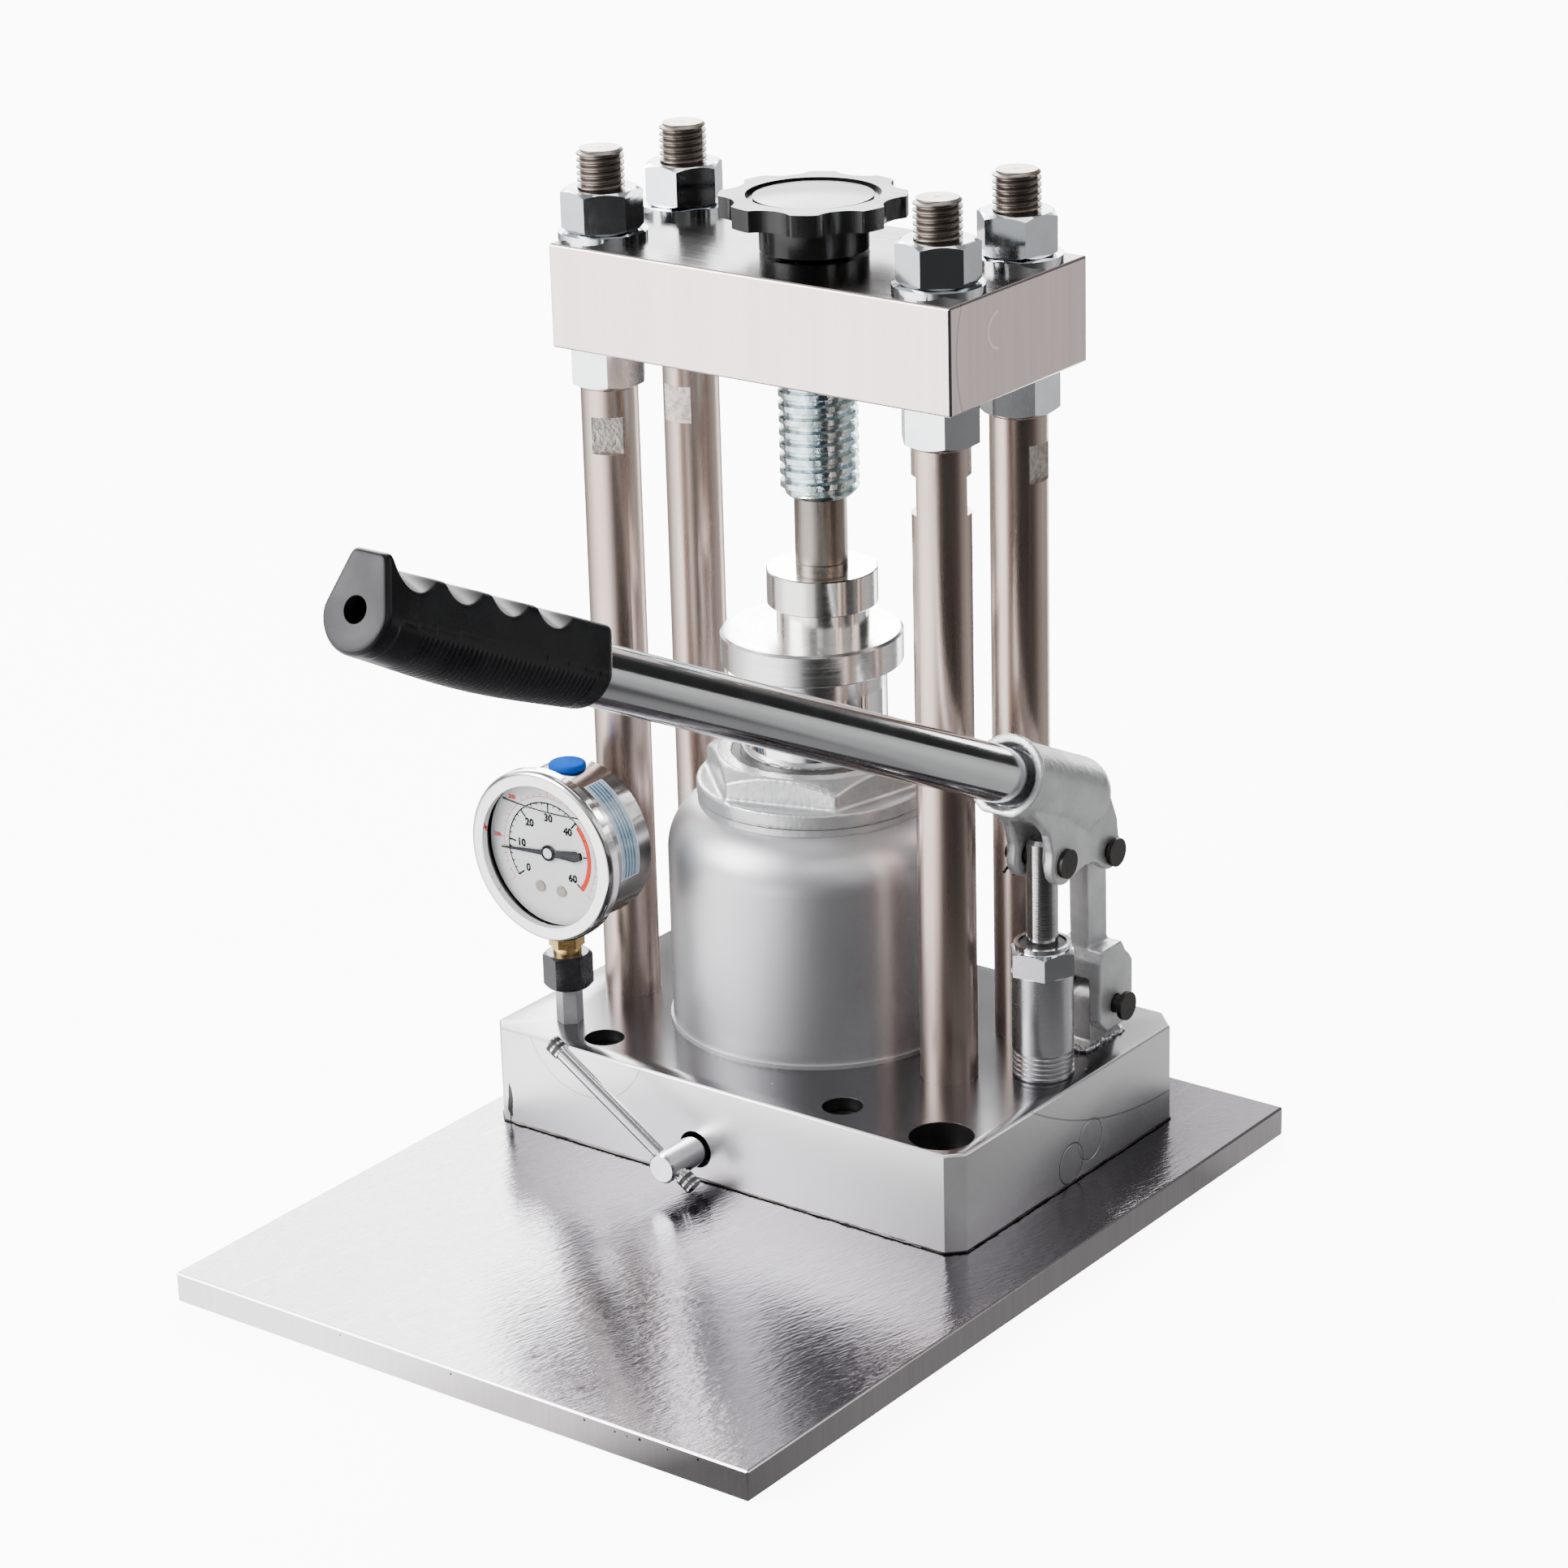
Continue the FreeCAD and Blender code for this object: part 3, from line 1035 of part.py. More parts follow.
def handle_grip():
    """Rubber grip with finger hollows on one side of its ridge and a raised end collar."""
    half = GRIP_WIDTH / 2
    start = GRIP_START
    end = GRIP_START + GRIP_LENGTH
    collar = end - GRIP_COLLAR_LENGTH
    foot = collar - GRIP_COLLAR_SLOPE
    inset = GRIP_ROUND * 0.7
    less = inset * 0.3
    near = start + GRIP_ROUND * 0.3
    sections = [
        grip_section(start, half - inset, GRIP_BOTTOM - inset, GRIP_TOP - inset, GRIP_FLAT - inset),
        grip_section(near, half - less, GRIP_BOTTOM - less, GRIP_TOP - less, GRIP_FLAT - less),
        grip_section(start + GRIP_ROUND, half, GRIP_BOTTOM, GRIP_TOP, GRIP_FLAT),
        grip_section((start + foot) / 2, half, GRIP_BELLY, GRIP_TOP, GRIP_FLAT),
        grip_section(foot, half, GRIP_BOTTOM, GRIP_TOP, GRIP_FLAT),
        grip_section(collar, half, GRIP_BOTTOM, GRIP_COLLAR_TOP, GRIP_COLLAR_FLAT),
        grip_section(end, half, GRIP_BOTTOM, GRIP_COLLAR_TOP, GRIP_COLLAR_FLAT),
    ]
    grip = Part.makeLoft(sections, True, True)
    tilt = math.radians(FINGER_TILT)
    across = Vector(math.cos(tilt), 0, -math.sin(tilt))
    above = Vector(math.sin(tilt), 0, math.cos(tilt))
    ridge = BARREL_RISE + GRIP_TOP
    for i in range(FINGER_COUNT):
        middle = Vector(0, -(start + FINGER_FIRST + i * FINGER_PITCH), ridge - FINGER_DEPTH / 2)
        axis_point = middle + above * FINGER_RADIUS - across * GRIP_WIDTH
        grip = grip.cut(rod_along(across, 2 * FINGER_RADIUS, axis_point, 2 * GRIP_WIDTH))
    bore_start = Vector(0, -end + GRIP_END_WALL, BARREL_RISE)
    bore = rod_along(BACK, TUBE_DIA + SEAT_GAP, bore_start, GRIP_LENGTH)
    mouth = Vector(0, -end - 1, BARREL_RISE + GRIP_HOLE_RISE)
    vent = rod_along(BACK, GRIP_HOLE_DIA, mouth, GRIP_END_WALL + 2)
    return set_on_pump(grip.cut(bore).cut(vent))


# Link between the lever and the block

def pump_link():
    """Cast link: an eye and a leaning bar above, and a fork below."""
    w = LINK_WIDTH / 2
    f = FORK_WIDTH / 2
    y = LINK_PIN_Y
    front = y - FORK_DEPTH / 2
    back = y + FORK_DEPTH / 2
    foot = LINK_PIN_HEIGHT - FORK_FOOT
    fork_top = LINK_PIN_HEIGHT + FORK_HEIGHT
    bar_front = FULCRUM_Y - LINK_EYE_RADIUS
    bar_foot = front + 1.8
    sides = [(bar_foot, fork_top), (bar_foot + LINK_DEPTH, fork_top),
             (bar_front + LINK_DEPTH, FULCRUM_HEIGHT), (bar_front, FULCRUM_HEIGHT)]
    bar = extruded(sides, PUMP_X - w, PUMP_X + w)
    eye = rod_along(RIGHT, 2 * LINK_EYE_RADIUS, Vector(PUMP_X - w, FULCRUM_Y, FULCRUM_HEIGHT), 2 * w)
    corner = 5.0
    outline = [(front, foot + corner), (front + corner, foot), (back - corner, foot), (back, foot + corner),
               (back, fork_top - 1.5 * corner), (back - corner / 2, fork_top - corner * 0.8),
               (bar_foot + LINK_DEPTH + 3, fork_top - corner / 2),
               (bar_foot + LINK_DEPTH, fork_top + corner / 2), (bar_foot, fork_top + corner / 2),
               (front, fork_top - corner / 2)]
    fork = extruded(outline, PUMP_X - f, PUMP_X + f)
    link = bar.fuse([eye, fork])
    slot_top = LINK_PIN_HEIGHT + LUG_RADIUS + 3
    slot = box(PUMP_X - FORK_SLOT / 2, PUMP_X + FORK_SLOT / 2, front - 1, back + 1, foot - 1, slot_top)
    link = link.cut(slot)
    for hole_y, hole_z in ((FULCRUM_Y, FULCRUM_HEIGHT), (LINK_PIN_Y, LINK_PIN_HEIGHT)):
        start = Vector(PUMP_X - 2 * f, hole_y, hole_z)
        link = link.cut(rod_along(RIGHT, PIN_DIA + 2 * RUN_GAP, start, 4 * f))
    return link.removeSplitter()


def link_lower_pin():
    """Headed pin through the fork and the lug, standing out on the head side."""
    pin = level_pin(0, 0, FORK_WIDTH / 2, LOWER_PIN_STANDOUT)
    pin.translate(Vector(PUMP_X, LINK_PIN_Y, LINK_PIN_HEIGHT))
    return pin


def link_cotter():
    """Cotter of the link's lower pin."""
    cotter = level_cotter(0, 0, FORK_WIDTH / 2)
    cotter.translate(Vector(PUMP_X, LINK_PIN_Y, LINK_PIN_HEIGHT))
    return cotter


def link_lug():
    """Lug on the block, in the fork, with an oblong hole that takes up the swing of the link."""
    y = LINK_PIN_Y
    z = LINK_PIN_HEIGHT
    w = LUG_THICK / 2
    lug = rod_along(RIGHT, 2 * LUG_RADIUS, Vector(PUMP_X - w, y, z), 2 * w)
    lug = lug.fuse(box(PUMP_X - w, PUMP_X + w, y - LUG_RADIUS, y + LUG_RADIUS, BLOCK_TOP, z))
    foot = LUG_FOOT_LENGTH / 2
    pad_top = BLOCK_TOP + LUG_FOOT_HEIGHT
    pad = [(y - foot, BLOCK_TOP), (y + foot, BLOCK_TOP), (y + foot, BLOCK_TOP + 1), (y + LUG_RADIUS, pad_top),
           (y - LUG_RADIUS, pad_top), (y - foot, BLOCK_TOP + 1)]
    lug = lug.fuse(extruded(pad, PUMP_X - w, PUMP_X + w))
    r = PIN_DIA / 2 + LUG_PLAY_UP
    near = y - LUG_PLAY_FRONT + LUG_PLAY_UP
    far = y + LUG_PLAY_BACK - LUG_PLAY_UP
    for end in (near, far):
        lug = lug.cut(rod_along(RIGHT, 2 * r, Vector(PUMP_X - 2 * w, end, z), 4 * w))
    slot = box(PUMP_X - 2 * w, PUMP_X + 2 * w, near, far, z - r, z + r)
    return lug.cut(slot).removeSplitter()


# Valves in the block

def check_valve_places():
    """Ball centre, way to the spring and spring length of each sprung check valve."""
    spring_floor = BLOCK_TOP - RELIEF_SINK - RELIEF_SCREW_HEIGHT - SPRING_LENGTH
    nest = BALL_DIA / 2 - SPRING_OVERLAP
    relief_room = SPRING_LENGTH - BALL_DIA / 2 - nest
    return [
        (Vector(SUCTION_X, SUCTION_Y, SUCTION_HEIGHT), RIGHT, SPRING_LENGTH - nest),
        (Vector(DELIVERY_X, DELIVERY_Y, DELIVERY_HEIGHT), -RIGHT, SPRING_LENGTH),
        (Vector(RELIEF_X, RELIEF_Y, spring_floor + BALL_DIA / 2), UP, relief_room),
    ]


def check_balls():
    """Suction, delivery and relief balls, and the ball of the release valve."""
    release = Vector(VALVE_X, BLOCK_FRONT + SPINDLE_IN + BALL_DIA / 2, VALVE_HEIGHT)
    places = [place for place, _, _ in check_valve_places()] + [release]
    return Part.makeCompound([Part.makeSphere(BALL_DIA / 2, place) for place in places])


def valve_springs():
    """Coil behind each sprung ball."""
    nest = BALL_DIA / 2 - SPRING_OVERLAP
    springs = []
    for place, way, length in check_valve_places():
        springs.append(wire_coil(SPRING_DIA, SPRING_WIRE, SPRING_TURNS, length, place + way * nest, way))
    return Part.makeCompound(springs)


def relief_screw():
    """Wide adjusting screw of the relief valve, sunk in its hole."""
    top = BLOCK_TOP - RELIEF_SINK
    screw = rod(RELIEF_DIA - 2 * THREAD_GAP, top - RELIEF_SCREW_HEIGHT, top, RELIEF_X, RELIEF_Y)
    return screw.cut(hexagon(RELIEF_SOCKET, top - RELIEF_SCREW_HEIGHT * 0.6, top + 1, RELIEF_X, RELIEF_Y, 20))


def release_spindle():
    """Release valve spindle with a cross hole for the bar."""
    start = Vector(VALVE_X, BLOCK_FRONT - SPINDLE_OUT, VALVE_HEIGHT)
    spindle = rod_along(BACK, SPINDLE_DIA, start, SPINDLE_OUT + SPINDLE_IN)
    rim = [e for e in spindle.Edges if len(e.Vertexes) == 1 and e.BoundBox.YMax < start.y + 0.01]
    spindle = spindle.makeChamfer(SPINDLE_BEVEL, rim)
    return spindle.cut(bar_rod(BAR_DIA + 2 * RUN_GAP, -SPINDLE_DIA, SPINDLE_DIA))


def release_packing():
    """Packing ring round the spindle in the mouth of its bore."""
    start = Vector(VALVE_X, BLOCK_FRONT + VALVE_MOUTH_DEPTH - VALVE_PACKING_LENGTH, VALVE_HEIGHT)
    ring = rod_along(BACK, VALVE_MOUTH_DIA - 2 * RUN_GAP, start, VALVE_PACKING_LENGTH)
    return ring.cut(rod_along(BACK, SPINDLE_DIA + 2 * RUN_GAP, start, VALVE_PACKING_LENGTH))


def bar_way():
    """Direction of the sliding bar, from its short arm to its long arm."""
    a = math.radians(BAR_ANGLE)
    return Vector(-math.cos(a), 0, math.sin(a))


def bar_rod(diameter, begin, end):
    """Cylinder along the bar between two distances from the spindle's axis."""
    start = Vector(VALVE_X, BAR_Y, VALVE_HEIGHT) + bar_way() * begin
    return rod_along(bar_way(), diameter, start, end - begin)


def release_bar():
    """Sliding bar with a wider cap at each end and two ring grooves in each cap."""
    bar = bar_rod(BAR_DIA, -BAR_SHORT_ARM, BAR_LONG_ARM)
    caps = [bar_rod(BAR_CAP_DIA, BAR_LONG_ARM - BAR_CAP_LENGTH, BAR_LONG_ARM),
            bar_rod(BAR_CAP_DIA, -BAR_SHORT_ARM, BAR_CAP_LENGTH - BAR_SHORT_ARM)]
    bar = bar.fuse(caps).removeSplitter()
    for begin in bar_ring_places():
        bar = bar.cut(bar_ring(begin))
    return bar


def bar_ring(begin):
    """Ring in a cap of the bar."""
    end = begin + BAR_RING_WIDTH
    return bar_rod(BAR_CAP_DIA, begin, end).cut(bar_rod(BAR_CAP_DIA - 2 * BAR_RING_DEPTH, begin, end))


def bar_ring_places():
    """Where the rings begin along the bar."""
    upper = BAR_LONG_ARM - BAR_RING_INSET - BAR_RING_WIDTH
    lower = BAR_RING_INSET - BAR_SHORT_ARM
    return (upper, upper - BAR_RING_PITCH, lower, lower + BAR_RING_PITCH)


def release_bar_rings():
    """Dark rings in the grooves of the bar caps."""
    return Part.makeCompound([bar_ring(begin) for begin in bar_ring_places()])


# Gauge. Its axis runs along Y through (GAUGE_X, GAUGE_HEIGHT) and it faces -Y.

def dial_disc(diameter, front, thick):
    """Disc on the gauge's axis; front is its distance ahead of the stem."""
    start = Vector(GAUGE_X, GAUGE_STEM_Y - front, GAUGE_HEIGHT)
    return rod_along(BACK, diameter, start, thick)


def gauge_case():
    """Round steel case, open at the front, with holes for the stem and the filler plug."""
    front = GAUGE_FRONT - BEZEL_LIP - LENS_THICK
    depth = GAUGE_DEPTH - (GAUGE_FRONT - front)
    case = dial_disc(GAUGE_CASE_DIA, front, depth)
    case = case.cut(dial_disc(GAUGE_CASE_DIA - 2 * GAUGE_CASE_WALL, front + 1, depth + 1 - GAUGE_CASE_WALL))
    case = case.cut(rod(STEM_BLOCK + 1, STEM_HEX_BASE, GAUGE_HEIGHT - 10, GAUGE_X, GAUGE_STEM_Y))
    y = GAUGE_STEM_Y + FILLER_BACK
    return case.cut(rod(FILLER_STUB_DIA, GAUGE_HEIGHT, GAUGE_HEIGHT + GAUGE_CASE_DIA, GAUGE_X, y))


def gauge_bezel():
    """Polished ring that holds the lens, with a skirt over the case."""
    lip = dial_disc(BEZEL_DIA, GAUGE_FRONT, BEZEL_LIP)
    face = GAUGE_STEM_Y - GAUGE_FRONT
    rims = [e for e in lip.Edges if len(e.Vertexes) == 1 and e.BoundBox.YMax < face + 0.01]
    lip = lip.makeFillet(BEZEL_LIP * 0.8, rims)
    skirt = dial_disc(BEZEL_DIA, GAUGE_FRONT - BEZEL_LIP, BEZEL_SKIRT - BEZEL_LIP)
    ring = lip.fuse(skirt).removeSplitter()
    ring = ring.cut(dial_disc(BEZEL_WINDOW_DIA, GAUGE_FRONT + 1, BEZEL_LIP + 2))
    inner = GAUGE_CASE_DIA + 2 * SEAT_GAP
    return ring.cut(dial_disc(inner, GAUGE_FRONT - BEZEL_LIP, BEZEL_SKIRT))


def gauge_lens():
    """Flat window between the bezel and the case."""
    return dial_disc(GAUGE_CASE_DIA, GAUGE_FRONT - BEZEL_LIP, LENS_THICK)


def gauge_dial():
    """Thin dial plate with a hole for the pointer shaft."""
    front = GAUGE_FRONT - DIAL_SINK
    dial = dial_disc(DIAL_DIA, front, DIAL_THICK)
    return dial.cut(dial_disc(POINTER_SHAFT_DIA + 1, front + 1, DIAL_THICK + 2))


def gauge_dial_screws():
    """Two small screws that hold the dial to the movement."""
    screws = []
    for side in (-1, 1):
        x = GAUGE_X + side * DIAL_SCREW_PITCH / 2
        head = Vector(x, DIAL_FACE_Y - 0.5, GAUGE_HEIGHT - DIAL_SCREW_DROP)
        screws.append(rod_along(BACK, DIAL_SCREW_DIA, head, 0.5))
    return Part.makeCompound(screws)


def gauge_pointer():
    """Pointer with a round hub, a thin blade, a wider tail and its shaft."""
    y1 = DIAL_FACE_Y - 0.7
    y0 = y1 - POINTER_THICK
    c = GAUGE_X
    z = GAUGE_HEIGHT
    blade = [(c, z - 1.1), (c, z + 1.1), (c - POINTER_LENGTH, z + 0.25), (c - POINTER_LENGTH, z - 0.25)]
    end = c + POINTER_TAIL
    tail = [(c, z - 1.1), (end - 3, z - 2.2), (end, z - 1.2),
            (end, z + 1.2), (end - 3, z + 2.2), (c, z + 1.1)]
    pieces = []
    for outline in (blade, tail):
        corners = [Vector(px, y0, pz) for px, pz in outline]
        side = Part.Face(Part.makePolygon(corners + [corners[0]]))
        pieces.append(side.extrude(Vector(0, POINTER_THICK, 0)))
    hub = rod_along(BACK, POINTER_HUB_DIA, Vector(c, y0 - 0.2, z), POINTER_THICK + 0.2)
    shaft = rod_along(BACK, POINTER_SHAFT_DIA, Vector(c, y1, z), 5.0)
    pointer = hub.fuse(pieces + [shaft]).removeSplitter()
    pointer.rotate(Vector(c, 0, z), BACK, -POINTER_LEAN)
    return pointer


def gauge_movement():
    """Movement block behind the dial, with the bearing of the pointer shaft."""
    y0 = DIAL_FACE_Y + DIAL_THICK
    h = MOVEMENT_SIZE / 2
    bottom = GAUGE_HEIGHT - DIAL_SCREW_DROP - 4
    block = box(GAUGE_X - h, GAUGE_X + h, y0, y0 + MOVEMENT_DEPTH, bottom, GAUGE_HEIGHT + 6)
    bearing = Vector(GAUGE_X, y0 - 1, GAUGE_HEIGHT)
    return block.cut(rod_along(BACK, POINTER_SHAFT_DIA + 2 * RUN_GAP, bearing, 7))


def gauge_bourdon_tube():
    """Flat tube bent round the movement, from the stem block to its closed tip."""
    y0 = DIAL_FACE_Y + DIAL_THICK + MOVEMENT_DEPTH + 0.5
    y1 = y0 + BOURDON_WIDTH
    inner = BOURDON_RADIUS - BOURDON_THICK / 2
    outer = BOURDON_RADIUS + BOURDON_THICK / 2
    section = [Vector(inner, y0, 0), Vector(outer, y0, 0), Vector(outer, y1, 0), Vector(inner, y1, 0)]
    tube = Part.Face(Part.makePolygon(section + [section[0]])).revolve(Vector(0, 0, 0), BACK, BOURDON_SWEEP)
    tube.rotate(Vector(0, 0, 0), BACK, 90 + 16)
    tube.translate(Vector(GAUGE_X, 0, GAUGE_HEIGHT))
    return tube


def gauge_stem():
    """Brass stem: block in the case, wrench hexagon, collar and thread."""
    x = GAUGE_X
    y = GAUGE_STEM_Y
    case_bottom = GAUGE_HEIGHT - GAUGE_CASE_DIA / 2
    hex_top = STEM_HEX_TOP
    top = GAUGE_HEIGHT - DIAL_SCREW_DROP - 4 - SEAT_GAP
    stem = hexagon(STEM_HEX_ACROSS, STEM_HEX_BASE, hex_top, x, y, -20)
    stem = stem.fuse(rod(STEM_BLOCK, hex_top, case_bottom + 6, x, y))
    half = STEM_BLOCK / 2
    y0 = DIAL_FACE_Y + DIAL_THICK + 1
    y1 = DIAL_FACE_Y + DIAL_THICK + MOVEMENT_DEPTH + 0.5 + BOURDON_WIDTH
    stem = stem.fuse(box(x - half, x + half, y0, y1, case_bottom + 5, top))
    collar_bottom = STEM_HEX_BASE - STEM_COLLAR_HEIGHT
    stem = stem.fuse(rod(STEM_HEX_ACROSS - 1, collar_bottom, STEM_HEX_BASE, x, y))
    return stem.fuse(rod(STEM_THREAD_DIA, collar_bottom - 6, collar_bottom, x, y)).removeSplitter()


def gauge_coupling_nut():
    """Dark hexagonal coupling between the stem and the adapter."""
    x = GAUGE_X
    y = GAUGE_STEM_Y
    top = COUPLING_BASE + COUPLING_HEIGHT
    nut = chamfered_hexagon(COUPLING_ACROSS, COUPLING_BASE, top, x, y, -20)
    collar_bottom = STEM_HEX_BASE - STEM_COLLAR_HEIGHT
    nut = nut.cut(rod(STEM_HEX_ACROSS - 1 + 2 * THREAD_GAP, collar_bottom, top + 1, x, y))
    nut = nut.cut(rod(STEM_THREAD_DIA + 2 * THREAD_GAP, collar_bottom - 6 - SEAT_GAP, top, x, y))
    return nut.cut(rod(ADAPTER_THREAD_DIA + 2 * THREAD_GAP, COUPLING_BASE - 1, top, x, y))


def gauge_adapter():
    """Slim hexagonal adapter, screwed into the block and into the coupling nut."""
    x = GAUGE_X
    y = GAUGE_STEM_Y
    adapter = hexagon(ADAPTER_ACROSS, BLOCK_TOP, COUPLING_BASE, x, y, -20)
    adapter = adapter.fuse(rod(ADAPTER_THREAD_DIA, BLOCK_TOP - ADAPTER_DEPTH, BLOCK_TOP, x, y))
    adapter = adapter.fuse(rod(ADAPTER_THREAD_DIA, COUPLING_BASE, COUPLING_BASE + 5, x, y))
    return adapter.removeSplitter().cut(rod(3, 0, COUPLING_BASE + 20, x, y))


def gauge_filler_plug():
    """Blue rubber plug on top of the case."""
    y = GAUGE_STEM_Y + FILLER_BACK
    top = GAUGE_HEIGHT + GAUGE_CASE_DIA / 2
    cap = rod(FILLER_DIA, top - 0.6, top + FILLER_HEIGHT, GAUGE_X, y)
    rim = [e for e in cap.Edges if e.BoundBox.ZMin > top + FILLER_HEIGHT - 0.01]
    cap = cap.makeFillet(FILLER_HEIGHT * 0.7, rim)
    cap = cap.cut(dial_disc(GAUGE_CASE_DIA, GAUGE_FRONT, GAUGE_DEPTH))
    stub = rod(FILLER_STUB_DIA - 2 * RUN_GAP, top - 3, top + 0.2, GAUGE_X, y)
    return cap.fuse(stub).removeSplitter()


def all_parts():
    """Every sub-part by its node name."""
    parts = {
        "base_plate": base_plate(),
        "pump_block": pump_block(),
        "block_screws": block_screws(),
        "passage_plugs": passage_plugs(),
        "column_lower_nuts": column_nuts(SHOULDER, (7, 10, 35, 27)),
        "column_top_nuts": column_nuts(HEAD_TOP + WASHER_THICK, (43, 40, -3, 15)),
        "column_washers": column_washers(),
        "crosshead": crosshead(),
        "press_screw": press_screw(),
        "knob": knob(),
        "knob_cap": knob_cap(),
        "knob_grub_screw": knob_grub_screw(),
        "upper_punch": upper_punch(),
        "die_ring": die_ring(),
        "die_base": die_base(),
        "ram_head": ram_head(),
        "ram": ram(),
        "ram_seal": ram_seal(),
        "inner_cylinder": inner_cylinder(),
        "tank": tank(),
        "tank_seals": tank_seals(),
        "gland_nut": gland_nut(),
        "gland_wiper": gland_wiper(),
        "pump_cylinder": pump_cylinder(),
        "pump_gland_nut": pump_gland_nut(),
        "pump_packing": pump_packing(),
        "pump_plunger": pump_plunger(),
        "lever_socket": lever_socket(),
        "lever_pins": lever_pins(),
        "lever_cotters": lever_cotters(),
        "handle_tube": handle_tube(),
        "handle_grip": handle_grip(),
        "pump_link": pump_link(),
        "link_lower_pin": link_lower_pin(),
        "link_cotter": link_cotter(),
        "link_lug": link_lug(),
        "check_balls": check_balls(),
        "valve_springs": valve_springs(),
        "relief_screw": relief_screw(),
        "release_spindle": release_spindle(),
        "release_packing": release_packing(),
        "release_bar": release_bar(),
        "release_bar_rings": release_bar_rings(),
        "gauge_case": gauge_case(),
        "gauge_bezel": gauge_bezel(),
        "gauge_lens": gauge_lens(),
        "gauge_dial": gauge_dial(),
        "gauge_dial_screws": gauge_dial_screws(),
        "gauge_pointer": gauge_pointer(),
        "gauge_movement": gauge_movement(),
        "gauge_bourdon_tube": gauge_bourdon_tube(),
        "gauge_stem": gauge_stem(),
        "gauge_coupling_nut": gauge_coupling_nut(),
        "gauge_adapter": gauge_adapter(),
        "gauge_filler_plug": gauge_filler_plug(),
    }
    for name, (side_x, side_y, flats) in COLUMNS.items():
        parts["column_" + name] = column(side_x, side_y, flats)
    return parts


def main():
    """Write one file for each sub-part."""
    os.makedirs("parts", exist_ok=True)
    for name, shape in all_parts().items():
        if not shape.isValid():
            print("not valid:", name)
        shape.exportStep("parts/" + name + ".step")
        print(name, len(shape.Solids), round(shape.Volume, 1))


main()
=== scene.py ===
"""Looks of the hydraulic tablet press: finishes for its solid pieces and detailed pieces over them.

The scene is in metres. Sizes of the press are kept in millimetres, as in its drawing, and MM turns them
into metres; finishes, marks and the studio are in metres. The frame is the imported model's: origin under
the base plate midway between the columns, +X to the pump, +Y to the back, +Z up.
"""

import logging
import math
from dataclasses import dataclass, field
from enum import Enum, IntEnum
from typing import Callable, Optional, Sequence, Union

import bmesh
import bpy
from mathutils import Matrix, Vector, noise


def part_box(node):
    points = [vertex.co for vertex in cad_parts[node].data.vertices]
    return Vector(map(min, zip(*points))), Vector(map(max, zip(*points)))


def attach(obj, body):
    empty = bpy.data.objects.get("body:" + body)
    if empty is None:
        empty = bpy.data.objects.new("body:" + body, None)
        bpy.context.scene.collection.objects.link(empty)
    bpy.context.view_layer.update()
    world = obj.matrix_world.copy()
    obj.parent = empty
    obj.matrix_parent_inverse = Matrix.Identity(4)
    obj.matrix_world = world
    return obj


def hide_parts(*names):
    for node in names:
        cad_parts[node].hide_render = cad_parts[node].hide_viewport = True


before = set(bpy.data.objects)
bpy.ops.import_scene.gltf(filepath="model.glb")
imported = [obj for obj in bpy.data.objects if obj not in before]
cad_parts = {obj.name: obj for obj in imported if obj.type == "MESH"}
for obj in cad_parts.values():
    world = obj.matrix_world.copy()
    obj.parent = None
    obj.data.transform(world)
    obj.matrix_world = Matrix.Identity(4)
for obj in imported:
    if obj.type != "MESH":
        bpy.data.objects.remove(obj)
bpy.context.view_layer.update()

LOG = logging.getLogger("press")
MM = 0.001
TURN = 2 * math.pi
FLOAT = "NodeSocketFloat"
VECTOR = "NodeSocketVector"

Colour = tuple[float, float, float]
Point = tuple[float, float, float]
Pair = tuple[float, float]
Socket = bpy.types.NodeSocket
Value = Union[Socket, float]


class Grain(Enum):
    """How a surface was worked."""

    NONE = "none"
    STRAIGHT = "straight"
    TURNED = "turned"


class Spot(Enum):
    """Form of a single mark."""

    RING = "ring"
    DISC = "disc"
    # Painted shade on the walls inside a hole.
    SHADED_BORE = "shaded_bore"


class Ink(Enum):
    """Colours of the dial's print."""

    BLACK = "black"
    RED = "red"


class ColumnFace(IntEnum):
    """Faces of a column, by the number of their finish."""

    SHANK = 0
    STUD = 1
    WRENCH_FLAT = 2


class Film(IntEnum):
    """Areas of the gauge's side film, by the number of their finish."""

    BORDER = 0
    FIELD = 1
    LINE = 2


def at(x: float, y: float, z: float) -> Point:
    """Point in metres from a place in millimetres."""
    return x * MM, y * MM, z * MM


def rgba(colour: Colour) -> tuple[float, float, float, float]:
    """Colour with full alpha."""
    return (*colour, 1.0)


def shade(colour: Colour, share: float) -> Colour:
    """Colour at a share of its brightness."""
    return tuple(share * part for part in colour)


# Node helpers


